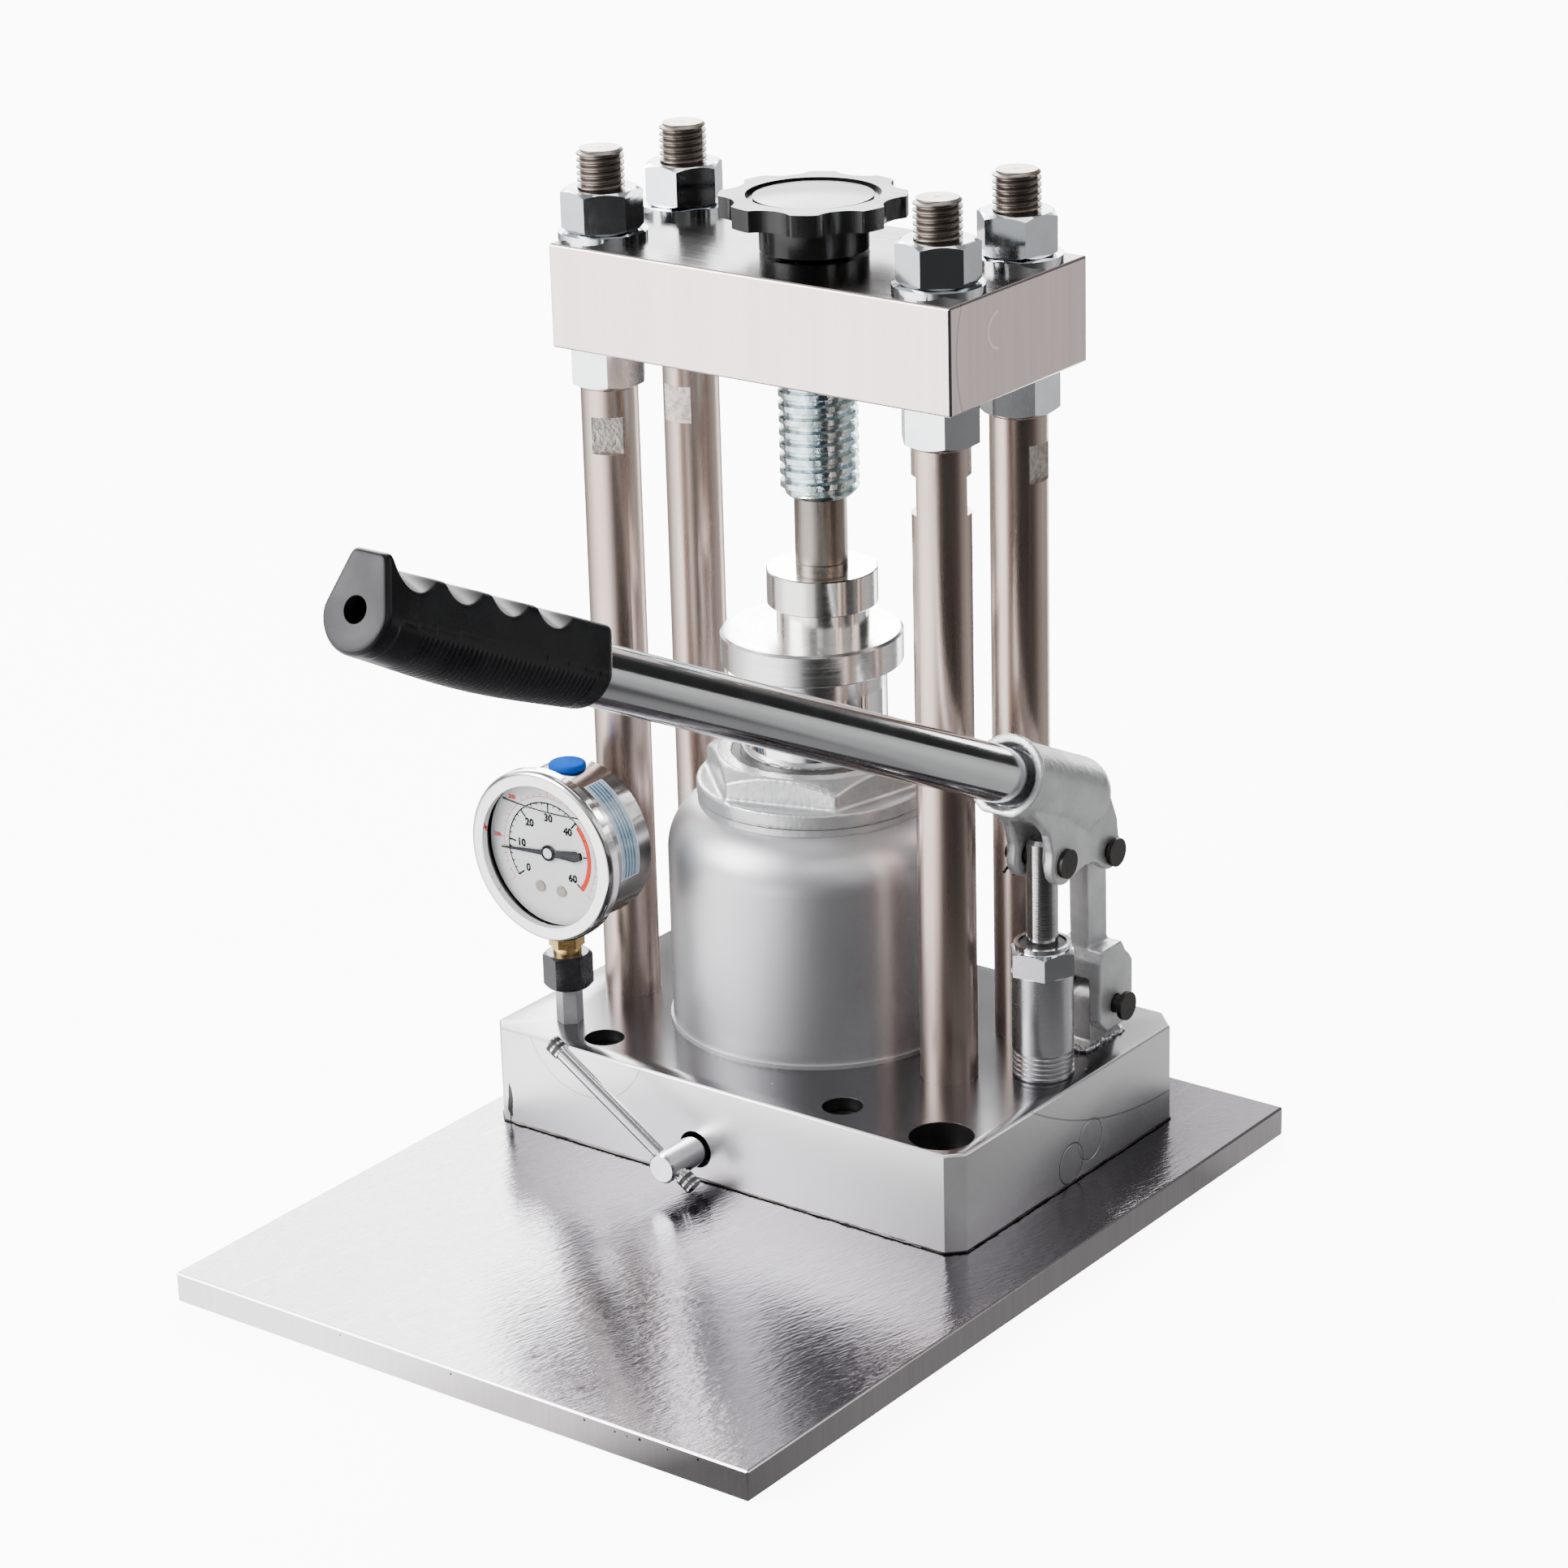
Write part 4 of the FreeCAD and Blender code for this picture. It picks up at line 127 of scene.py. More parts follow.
class Tree:
    """Adds and links nodes in one node tree."""

    def __init__(self, tree: bpy.types.NodeTree) -> None:
        """Keep the tree and empty it."""
        self.tree = tree
        tree.nodes.clear()

    def add(self, kind: str, **settings: object) -> bpy.types.Node:
        """Add a node.

        Args:
            kind: The node's type name.
            settings: Properties to set on it.

        Returns:
            The new node.
        """
        node = self.tree.nodes.new(kind)
        for name, value in settings.items():
            setattr(node, name, value)
        return node

    def feed(self, target: Socket, value: object) -> None:
        """Link a socket to the target, or set a plain value on it.

        Args:
            target: The input to feed.
            value: A socket, or a value that the input takes.
        """
        if isinstance(value, bpy.types.NodeSocket):
            self.tree.links.new(value, target)
        else:
            target.default_value = value

    def fill(self, node: bpy.types.Node, *values: object) -> Socket:
        """Feed a node's inputs in their order.

        Args:
            node: The node.
            values: A socket or a plain value for each of its first inputs.

        Returns:
            The node's first output.
        """
        for target, value in zip(node.inputs, values):
            self.feed(target, value)
        return node.outputs[0]

    def maths(self, operation: str, first: Value, second: Value = 0.0, clamp: bool = False) -> Socket:
        """Add a Math node.

        Args:
            operation: What it does.
            first: Its first value.
            second: Its second value.
            clamp: Whether the result is kept between 0 and 1.

        Returns:
            The result.
        """
        return self.fill(self.add("ShaderNodeMath", operation=operation, use_clamp=clamp), first, second)

    def vector_maths(self, operation: str, first: object, second: object = (0, 0, 0)) -> Socket:
        """Add a Vector Math node.

        Args:
            operation: What it does.
            first: Its first vector.
            second: Its second vector.

        Returns:
            The result: a number for a length or a dot product, else a vector.
        """
        node = self.add("ShaderNodeVectorMath", operation=operation)
        self.fill(node, first, second)
        return node.outputs["Value"] if operation in ("LENGTH", "DOT_PRODUCT") else node.outputs["Vector"]

    def inverse(self, value: Socket) -> Socket:
        """One less a value."""
        return self.maths("SUBTRACT", 1.0, value)

    def blend(self, share: Value, first: object, second: object, way: str = "MIX") -> Socket:
        """Mix two colours.

        Args:
            share: How much of the second colour is mixed in.
            first: The first colour.
            second: The second colour.
            way: The Mix node's blend type.

        Returns:
            The mixed colour.
        """
        node = self.add("ShaderNodeMix", data_type="RGBA", blend_type=way)
        self.feed(node.inputs["Factor"], share)
        self.feed(node.inputs["A"], first)
        self.feed(node.inputs["B"], second)
        return node.outputs["Result"]

    def spread(self, value: Socket, low: float, high: float) -> Socket:
        """Stretch a value, with soft ends.

        Args:
            value: The value.
            low: What becomes 0.
            high: What becomes 1.

        Returns:
            The stretched value.
        """
        node = self.add("ShaderNodeMapRange", interpolation_type="SMOOTHSTEP")
        self.feed(node.inputs["Value"], value)
        self.feed(node.inputs["From Min"], low)
        self.feed(node.inputs["From Max"], high)
        return node.outputs["Result"]

    def sway(self, value: Socket, amount: float, base: Value) -> Socket:
        """Move a base value up and down by a value from 0 to 1.

        Args:
            value: The value that moves it.
            amount: How far it moves in all.
            base: The value that is moved.

        Returns:
            The moved value, kept between 0 and 1.
        """
        centred = self.maths("SUBTRACT", value, 0.5)
        return self.maths("ADD", self.maths("MULTIPLY", centred, amount), base, True)

    def noise(self, vector: Socket, scale: Value, detail: float = 3.0) -> Socket:
        """Add a noise.

        Args:
            vector: Where it is read.
            scale: Its scale.
            detail: Its detail.

        Returns:
            The noise's value.
        """
        node = self.add("ShaderNodeTexNoise")
        self.feed(node.inputs["Vector"], vector)
        self.feed(node.inputs["Scale"], scale)
        self.feed(node.inputs["Detail"], detail)
        return node.outputs["Fac"]

    def split(self, vector: Socket) -> list[Socket]:
        """Take a vector apart.

        Args:
            vector: The vector.

        Returns:
            Its X, Y and Z.
        """
        node = self.add("ShaderNodeSeparateXYZ")
        self.fill(node, vector)
        return list(node.outputs)

    def join(self, x: Value, y: Value, z: Value) -> Socket:
        """Vector of three values."""
        return self.fill(self.add("ShaderNodeCombineXYZ"), x, y, z)

    def seat(self, vector: Socket, centre: Point, turn: Point, stretch: Point = (1.0, 1.0, 1.0)) -> Socket:
        """See a vector from a seat of its own.

        Args:
            vector: The vector.
            centre: The seat's origin.
            turn: The seat's turn about X, Y and Z, in degrees.
            stretch: The seat's size along each axis.

        Returns:
            The vector in the seat's own axes.
        """
        node = self.add("ShaderNodeMapping", vector_type="TEXTURE")
        return self.fill(node, vector, centre, tuple(math.radians(angle) for angle in turn), stretch)

    def effect(self, group: bpy.types.NodeTree, vector: Socket, **values: object) -> Socket:
        """Place a shared effect with its own values.

        Args:
            group: The effect.
            vector: Where it is read.
            values: What each of its other inputs is set to.

        Returns:
            Its first output.
        """
        node = self.add("ShaderNodeGroup", node_tree=group)
        self.feed(node.inputs["Vector"], vector)
        for name, value in values.items():
            self.feed(node.inputs[name], value)
        return node.outputs[0]

    def mix_shaders(self, share: Value, first: Socket, second: Socket) -> Socket:
        """Shader between two shaders."""
        return self.fill(self.add("ShaderNodeMixShader"), share, first, second)


def new_group(
    name: str, inputs: Sequence[tuple[str, str, object]], outputs: Sequence[tuple[str, str]]
) -> tuple[Tree, bpy.types.Node, bpy.types.Node]:
    """Make an empty node group with named sockets.

    Args:
        name: The group's name.
        inputs: Name, kind and default of each input.
        outputs: Name and kind of each output.

    Returns:
        Its tree, its input node and its output node.
    """
    group = bpy.data.node_groups.new(name, "ShaderNodeTree")
    for label, kind, default in inputs:
        socket = group.interface.new_socket(name=label, in_out="INPUT", socket_type=kind)
        if default is not None:
            socket.default_value = default
    for label, kind in outputs:
        group.interface.new_socket(name=label, in_out="OUTPUT", socket_type=kind)
    tree = Tree(group)
    return tree, tree.add("NodeGroupInput"), tree.add("NodeGroupOutput")


def new_material(name: str) -> tuple[bpy.types.Material, Tree, Socket]:
    """Make a material with nothing but its output.

    Args:
        name: The material's name.

    Returns:
        The material, its tree and the surface input of its output.
    """
    made = bpy.data.materials.new(name)
    made.use_nodes = True
    tree = Tree(made.node_tree)
    return made, tree, tree.add("ShaderNodeOutputMaterial").inputs["Surface"]


class Effects:
    """The shared effects, each a node group that is built once."""

    # Lines of worked metal: the fine lines' share, the coarse lines' scale against them, how much turned
    # lines change on their way round, and the part of the noise that shows.
    FINE_SHARE = 0.6
    FINE_DETAIL = 4.0
    COARSE_DETAIL = 2.0
    STRAIGHT_COARSE = 0.23
    TURNED_COARSE = 0.2
    TURNED_CHANGE = 0.8
    LINE_RANGE = (0.3, 0.7)

    PATCH_DETAIL = 5.0
    PATCH_RANGE = (0.32, 0.68)

    # The largest speck against the cell that it lies in.
    SPECK_SIZE = 0.28

    # Scratches: their two directions in radians, and what breaks them.
    SCRATCH_TURNS = ((0.3, 0.5, 0.9), (1.2, 0.2, 2.1))
    SCRATCH_STRETCH = (1.0, 0.12, 1.0)
    SCRATCH_WIDTH = 0.012
    BREAK_SCALE = 90.0
    BREAK_DETAIL = 2.0
    BREAK_RANGE = (0.58, 0.66)

    # Marks: a ring's line fades from this share of its width, and reaches this far off its plane.
    RING_FADE = (0.3, 1.0)
    RING_REACH = 0.0006
    RAGGED_SCALE = 700.0

    def __init__(self) -> None:
        """Build every group."""
        self.straight = self._straight()
        self.turned = self._turned()
        self.patches = self._patches()
        self.specks = self._specks()
        self.scratches = self._scratches()
        self.ring = self._ring()
        self.spot = self._spot()

    def _lines(self, tree: Tree, place: Socket, coarse_scale: float) -> Socket:
        """Lay fine and coarse lines together.

        Args:
            tree: The group's tree.
            place: Vector that is drawn out along the lines.
            coarse_scale: The coarse lines' scale.

        Returns:
            Their value, from 0 to 1.
        """
        fine = tree.noise(place, 1.0, self.FINE_DETAIL)
        coarse = tree.noise(place, coarse_scale, self.COARSE_DETAIL)
        mixed = tree.maths("ADD", tree.maths("MULTIPLY", fine, self.FINE_SHARE),
                           tree.maths("MULTIPLY", coarse, 1.0 - self.FINE_SHARE))
        return tree.spread(mixed, *self.LINE_RANGE)

    def _straight(self) -> bpy.types.NodeTree:
        """Fine lines along the vector's X.

        Returns:
            The group.
        """
        inputs = [("Vector", VECTOR, None), ("Along", FLOAT, 40.0), ("Across", FLOAT, 2500.0)]
        tree, start, end = new_group("straight_grain", inputs, [("Value", FLOAT)])
        across = start.outputs["Across"]
        scale = tree.join(start.outputs["Along"], across, across)
        place = tree.vector_maths("MULTIPLY", start.outputs["Vector"], scale)
        tree.feed(end.inputs["Value"], self._lines(tree, place, self.STRAIGHT_COARSE))
        return tree.tree

    def _turned(self) -> bpy.types.NodeTree:
        """Fine rings about the vector's Z.

        Returns:
            The group.
        """
        inputs = [("Vector", VECTOR, None), ("Across", FLOAT, 3000.0)]
        tree, start, end = new_group("turned_grain", inputs, [("Value", FLOAT)])
        vector, across = start.outputs["Vector"], start.outputs["Across"]
        x, y, z = tree.split(vector)
        radius = tree.vector_maths("LENGTH", tree.vector_maths("MULTIPLY", vector, (1.0, 1.0, 0.0)))
        around = tree.maths("ARCTAN2", y, x)
        place = tree.join(tree.maths("MULTIPLY", radius, across), tree.maths("MULTIPLY", z, across),
                          tree.maths("MULTIPLY", around, self.TURNED_CHANGE))
        tree.feed(end.inputs["Value"], self._lines(tree, place, self.TURNED_COARSE))
        return tree.tree

    def _patches(self) -> bpy.types.NodeTree:
        """Soft uneven areas.

        Returns:
            The group.
        """
        inputs = [("Vector", VECTOR, None), ("Scale", FLOAT, 40.0)]
        tree, start, end = new_group("soft_patches", inputs, [("Value", FLOAT)])
        value = tree.noise(start.outputs["Vector"], start.outputs["Scale"], self.PATCH_DETAIL)
        tree.feed(end.inputs["Value"], tree.spread(value, *self.PATCH_RANGE))
        return tree.tree

    def _specks(self) -> bpy.types.NodeTree:
        """Scattered small dots.

        Returns:
            The group.
        """
        inputs = [("Vector", VECTOR, None), ("Scale", FLOAT, 300.0), ("Share", FLOAT, 0.2)]
        tree, start, end = new_group("small_specks", inputs, [("Mask", FLOAT)])
        cells = tree.add("ShaderNodeTexVoronoi", feature="F1")
        tree.feed(cells.inputs["Vector"], start.outputs["Vector"])
        tree.feed(cells.inputs["Scale"], start.outputs["Scale"])
        chances = tree.add("ShaderNodeSeparateColor")
        tree.feed(chances.inputs[0], cells.outputs["Color"])
        shown = tree.maths("LESS_THAN", chances.outputs[0], start.outputs["Share"])
        size = tree.maths("MULTIPLY", chances.outputs[1], self.SPECK_SIZE)
        inside = tree.maths("LESS_THAN", cells.outputs["Distance"], size)
        tree.feed(end.inputs["Mask"], tree.maths("MULTIPLY", shown, inside))
        return tree.tree

    def _scratches(self) -> bpy.types.NodeTree:
        """Thin broken lines in odd directions.

        Returns:
            The group.
        """
        inputs = [("Vector", VECTOR, None), ("Scale", FLOAT, 60.0)]
        tree, start, end = new_group("thin_scratches", inputs, [("Mask", FLOAT)])
        masks = []
        for turn in self.SCRATCH_TURNS:
            moved = tree.add("ShaderNodeMapping")
            place = tree.fill(moved, start.outputs["Vector"], (0.0, 0.0, 0.0), turn, self.SCRATCH_STRETCH)
            cells = tree.add("ShaderNodeTexVoronoi", feature="DISTANCE_TO_EDGE")
            tree.feed(cells.inputs["Vector"], place)
            tree.feed(cells.inputs["Scale"], start.outputs["Scale"])
            line = tree.maths("LESS_THAN", cells.outputs["Distance"], self.SCRATCH_WIDTH)
            gate = tree.spread(tree.noise(place, self.BREAK_SCALE, self.BREAK_DETAIL), *self.BREAK_RANGE)
            masks.append(tree.maths("MULTIPLY", line, gate))
        tree.feed(end.inputs["Mask"], tree.maths("MAXIMUM", *masks))
        return tree.tree

    def _ring(self) -> bpy.types.NodeTree:
        """Ring about the vector's origin in its XY plane, or the part of one on its -X side.

        Returns:
            The group.
        """
        inputs = [("Vector", VECTOR, None), ("Radius", FLOAT, 0.01), ("Width", FLOAT, 0.001), ("Open", FLOAT, -2.0)]
        tree, start, end = new_group("ring_mark", inputs, [("Mask", FLOAT)])
        x, _, z = tree.split(start.outputs["Vector"])
        radius = tree.vector_maths("LENGTH", start.outputs["Vector"])
        off = tree.maths("ABSOLUTE", tree.maths("SUBTRACT", radius, start.outputs["Radius"]))
        line = tree.inverse(tree.spread(tree.maths("DIVIDE", off, start.outputs["Width"]), *self.RING_FADE))
        side = tree.maths("MULTIPLY", tree.maths("DIVIDE", x, start.outputs["Radius"]), -1.0)
        kept = tree.maths("GREATER_THAN", side, start.outputs["Open"])
        level = tree.maths("LESS_THAN", tree.maths("ABSOLUTE", z), self.RING_REACH)
        tree.feed(end.inputs["Mask"], tree.maths("MULTIPLY", line, tree.maths("MULTIPLY", kept, level)))
        return tree.tree

    def _spot(self) -> bpy.types.NodeTree:
        """Round area about the vector's Z, between two heights, with a ragged rim.

        Returns:
            The group.
        """
        inputs = [("Vector", VECTOR, None), ("Radius", FLOAT, 0.01), ("Ragged", FLOAT, 0.0),
                  ("Low", FLOAT, -0.001), ("High", FLOAT, 0.001)]
        tree, start, end = new_group("round_spot", inputs, [("Mask", FLOAT)])
        vector = start.outputs["Vector"]
        height = tree.split(vector)[2]
        radius = tree.vector_maths("LENGTH", tree.vector_maths("MULTIPLY", vector, (1.0, 1.0, 0.0)))
        uneven = tree.maths("SUBTRACT", tree.noise(vector, self.RAGGED_SCALE), 0.5)
        radius = tree.maths("ADD", radius, tree.maths("MULTIPLY", uneven, start.outputs["Ragged"]))
        inside = tree.maths("LESS_THAN", radius, start.outputs["Radius"])
        above = tree.maths("GREATER_THAN", height, start.outputs["Low"])
        below = tree.maths("LESS_THAN", height, start.outputs["High"])
        tree.feed(end.inputs["Mask"], tree.maths("MULTIPLY", inside, tree.maths("MULTIPLY", above, below)))
        return tree.tree


EFFECTS = Effects()


# Finishes


@dataclass(frozen=True)
class Mark:
    """One mark at a place, in metres: a ring or crescent, a disc, or the painted shade inside a hole.

    It lies across its own Z, which turn tilts, in degrees. Tone is mixed in by amount, and depth is how far
    it stands up. A ring is cut short where its X is above minus opening times its radius.
    """

    centre: Point
    radius: float
    width: float
    tone: Colour
    amount: float = 0.5
    depth: float = 0.0
    turn: Point = (0.0, 0.0, 0.0)
    opening: float = -2.0
    shape: Spot = Spot.RING
    stretch: Point = (1.0, 1.0, 1.0)
    ragged: float = 0.0


# How far below and above its face a disc and the painted shade inside a hole reach.
SPOT_HEIGHTS = {Spot.DISC: (-0.0004, 0.0004), Spot.SHADED_BORE: (-0.06, -0.0002)}
NEARLY_BLACK = (0.012, 0.011, 0.011)


def shaded_bore(x: float, y: float, z: float, radius: float, turn: Point = (0.0, 0.0, 0.0)) -> Mark:
    """Painted shade: nearly black walls inside a hole whose mouth is at a place, in millimetres."""
    return Mark(at(x, y, z), radius * MM, 0.0, NEARLY_BLACK, 0.93, turn=turn, shape=Spot.SHADED_BORE)


def dot(x: float, y: float, z: float, radius: float, turn: Point = (0.0, 0.0, 0.0)) -> Mark:
    """Small dark dot on a flat face, in millimetres."""
    return Mark(at(x, y, z), radius * MM, 0.0, NEARLY_BLACK, 0.9, turn=turn, shape=Spot.DISC,
                ragged=radius * MM * 0.5)


@dataclass
class Layers:
    """A surface in the making: where it is read, and its colour, roughness and height so far."""

    tree: Tree
    place: Socket
    normal: Socket
    colour: Socket
    rough: Socket
    height: Optional[Socket] = None

    def paint(self, share: Value, colour: object) -> None:
        """Mix a colour in by a share."""
        self.colour = self.tree.blend(share, self.colour, colour)

    def lift(self, mask: Socket, depth: float) -> None:
        """Raise the surface where a mask is 1 by a depth."""
        step = self.tree.maths("MULTIPLY", mask, depth)
        self.height = step if self.height is None else self.tree.maths("ADD", self.height, step)


@dataclass(frozen=True)
class Finish:
    """One surface finish and the numbers its material is made from."""

    name: str
    colour: Colour
    metallic: float = 1.0
    roughness: float = 0.3
    tint: Optional[Colour] = None
    patch_scale: float = 35.0
    patch_tone: float = 0.5
    patch_roughness: float = 0.08
    grain: Grain = Grain.NONE
    turn: Point = (0.0, 0.0, 0.0)
    centre: Point = (0.0, 0.0, 0.0)
    along: float = 40.0
    across: float = 2500.0
    grain_tone: float = 0.12
    grain_shade: float = 0.45
    grain_roughness: float = 0.08
    grain_depth: float = 0.00002
    speck_scale: float = 0.0
    speck_share: float = 0.2
    speck_colour: Colour = (0.05, 0.05, 0.05)
    speck_amount: float = 0.6
    scratch_scale: float = 0.0
    scratch_colour: Colour = (0.8, 0.8, 0.8)
    scratch_amount: float = 0.4
    rough_scale: float = 0.0
    rough_detail: float = 4.0
    rough_depth: float = 0.0
    coat: float = 0.0
    coat_roughness: float = 0.06
    specular: float = 0.5
    # Colour of the upright faces, far lighter than the tops' colour: painted light, standing in for the bright
    # reflections on the upright faces and the dark ones on the tops.
    side: Optional[Colour] = None
    side_lines: float = 0.16
    side_along: float = 12.0
    side_across: float = 420.0
    side_roughness: float = 0.2
    side_limits: Pair = (0.9, 0.98)
    marks: tuple[Mark, ...] = ()

    def material(self) -> bpy.types.Material:
        """The finish's material, built on first use.

        Returns:
            The material that every piece with this finish shares.
        """
        found = bpy.data.materials.get(self.name)
        if found is not None:
            return found
        made, tree, surface = new_material(self.name)
        shader = tree.add("ShaderNodeBsdfPrincipled")
        tree.feed(surface, shader.outputs[0])
        shader.inputs["Metallic"].default_value = self.metallic
        shader.inputs["Coat Weight"].default_value = self.coat
        shader.inputs["Coat Roughness"].default_value = self.coat_roughness
        shader.inputs["Specular IOR Level"].default_value = self.specular
        layers = self._patches(tree)
        if self.grain is not Grain.NONE:
            self._grain(layers)
        # Painted light: upright faces get a far lighter colour than the tops.
        if self.side is not None:
            self._painted_side_light(layers)
        self._spots(layers)
        self._marks(layers)
        tree.feed(shader.inputs["Base Color"], layers.colour)
        tree.feed(shader.inputs["Roughness"], layers.rough)
        if layers.height is not None:
            bump = tree.add("ShaderNodeBump")
            bump.inputs["Distance"].default_value = 1.0
            tree.feed(bump.inputs["Height"], layers.height)
            tree.feed(shader.inputs["Normal"], bump.outputs[0])
        return made

    def _patches(self, tree: Tree) -> Layers:
        """Start a surface with its colour and roughness in soft patches.

        Args:
            tree: The material's tree.

        Returns:
            The surface.
        """
        coordinates = tree.add("ShaderNodeTexCoord")
        place = coordinates.outputs["Object"]
        value = tree.effect(EFFECTS.patches, place, Scale=self.patch_scale)
        tint = self.tint or shade(self.colour, 0.8)
        colour = tree.blend(tree.maths("MULTIPLY", value, self.patch_tone), rgba(self.colour), rgba(tint))
        rough = tree.sway(value, self.patch_roughness, self.roughness)
        return Layers(tree, place, coordinates.outputs["Normal"], colour, rough)

    def _grain(self, layers: Layers) -> None:
        """Add brushed or turned lines.

        Args:
            layers: The surface so far.
        """
        tree = layers.tree
        place = tree.seat(layers.place, self.centre, self.turn)
        if self.grain is Grain.STRAIGHT:
            value = tree.effect(EFFECTS.straight, place, Along=self.along, Across=self.across)
        else:
            value = tree.effect(EFFECTS.turned, place, Across=self.across)
        dark = tree.blend(1.0, layers.colour, rgba((self.grain_shade,) * 3), "MULTIPLY")
        layers.paint(tree.maths("MULTIPLY", value, self.grain_tone), dark)
        layers.rough = tree.sway(value, self.grain_roughness, layers.rough)
        layers.lift(value, self.grain_depth)

    def _painted_side_light(self, layers: Layers) -> None:
        """Paint the upright faces a far lighter colour than the tops, as painted light for their brighter
        reflections, with saw marks down them instead of the grain.

        Args:
            layers: The surface so far.
        """
        tree = layers.tree
        facing_up = tree.maths("ABSOLUTE", tree.split(layers.normal)[2])
        upright = tree.inverse(tree.spread(facing_up, *self.side_limits))
        flat = tree.inverse(upright)
        place = tree.seat(layers.place, (0.0, 0.0, 0.0), UPRIGHT)
        lines = tree.effect(EFFECTS.straight, place, Along=self.side_along, Across=self.side_across)
        share = tree.maths("MULTIPLY", lines, self.side_lines)
        # Painted light: the upright faces are painted far lighter than the tops, with darker saw lines down them.
        layers.paint(upright, tree.blend(share, rgba(self.side), rgba(shade(self.side, 0.5))))
        layers.rough = tree.maths("ADD", tree.maths("MULTIPLY", layers.rough, flat),
                                  tree.maths("MULTIPLY", upright, self.side_roughness))
        if layers.height is not None:
            layers.height = tree.maths("MULTIPLY", layers.height, flat)

    def _spots(self, layers: Layers) -> None:
        """Add specks, scratches and an overall roughness of the surface.

        Args:
            layers: The surface so far.
        """
        tree, place = layers.tree, layers.place
        if self.speck_scale:
            mask = tree.effect(EFFECTS.specks, place, Scale=self.speck_scale, Share=self.speck_share)
            layers.paint(tree.maths("MULTIPLY", mask, self.speck_amount), rgba(self.speck_colour))
        if self.scratch_scale:
            mask = tree.effect(EFFECTS.scratches, place, Scale=self.scratch_scale)
            layers.paint(tree.maths("MULTIPLY", mask, self.scratch_amount), rgba(self.scratch_colour))
        if self.rough_scale:
            layers.lift(tree.noise(place, self.rough_scale, self.rough_detail), self.rough_depth)

    def _marks(self, layers: Layers) -> None:
        """Add the single marks.

        Args:
            layers: The surface so far.
        """
        tree = layers.tree
        for mark in self.marks:
            place = tree.seat(layers.place, mark.centre, mark.turn, mark.stretch)
            if mark.shape is Spot.RING:
                mask = tree.effect(EFFECTS.ring, place, Radius=mark.radius, Width=mark.width, Open=mark.opening)
            else:
                low, high = SPOT_HEIGHTS[mark.shape]
                mask = tree.effect(EFFECTS.spot, place, Radius=mark.radius, Ragged=mark.ragged, Low=low, High=high)
            layers.paint(tree.maths("MULTIPLY", mask, mark.amount), rgba(mark.tone))
            if mark.depth:
                layers.lift(mask, mark.depth)


# Turns, in degrees, that point a mark's or a grain's own Z or X: grain that runs up, marks on the front
# and marks on the right side.
UPRIGHT = (0.0, 90.0, 0.0)
FRONT = (90.0, 0.0, 0.0)
SIDE = (90.0, 0.0, 90.0)

# Axes that turned pieces were turned about, in metres.
SCREW_AXIS = (0.0033, 0.0, 0.0)
RAM_AXIS = (-0.0005, -0.0024, 0.0)
PUMP_AXIS = (0.104, -0.0024, 0.0)
GAUGE_AXIS = (-0.0762, 0.0, 0.1249)
STEM_AXIS = (-0.0762, -0.065, 0.0)

# Faces that marks lie on, in millimetres, and the lever's angle in degrees.
PLATE_FRONT = -255.0
BLOCK_FRONT = -86.0
BLOCK_RIGHT = 122.0
BLOCK_TOP = 52.0
BLOCK_SCREW_ROWS = (-71.3, 53.0)
HEAD_RIGHT = 94.3
STUD_TOP = 391.0
LEVER_TILT = -25.1

# Pits in the plate's front edge: place along it, height and radius.
PLATE_PITS = (
    (82.5, 9.9, 0.5), (95.9, 9.5, 0.45), (101.3, 9.4, 0.3), (106.7, 9.8, 0.6), (118.8, 9.7, 0.35),
    (131.9, 9.9, 0.5), (-30.0, 9.8, 0.4), (22.0, 9.6, 0.5))

# The crosshead's right end: a crescent dent, and the arcs that the cutter left.
HEAD_MARKS = (
    Mark(at(HEAD_RIGHT, -13.1, 342.5), 0.0068, 0.0007, (0.95, 0.93, 0.9), 0.9, turn=SIDE, opening=0.1),
) + tuple(
    Mark(at(HEAD_RIGHT, 20.0, 337.0 - 9.0 * i), 0.060 + 0.011 * i, 0.0006, (0.26, 0.23, 0.22), 0.5, turn=SIDE)
    for i in range(7)
)

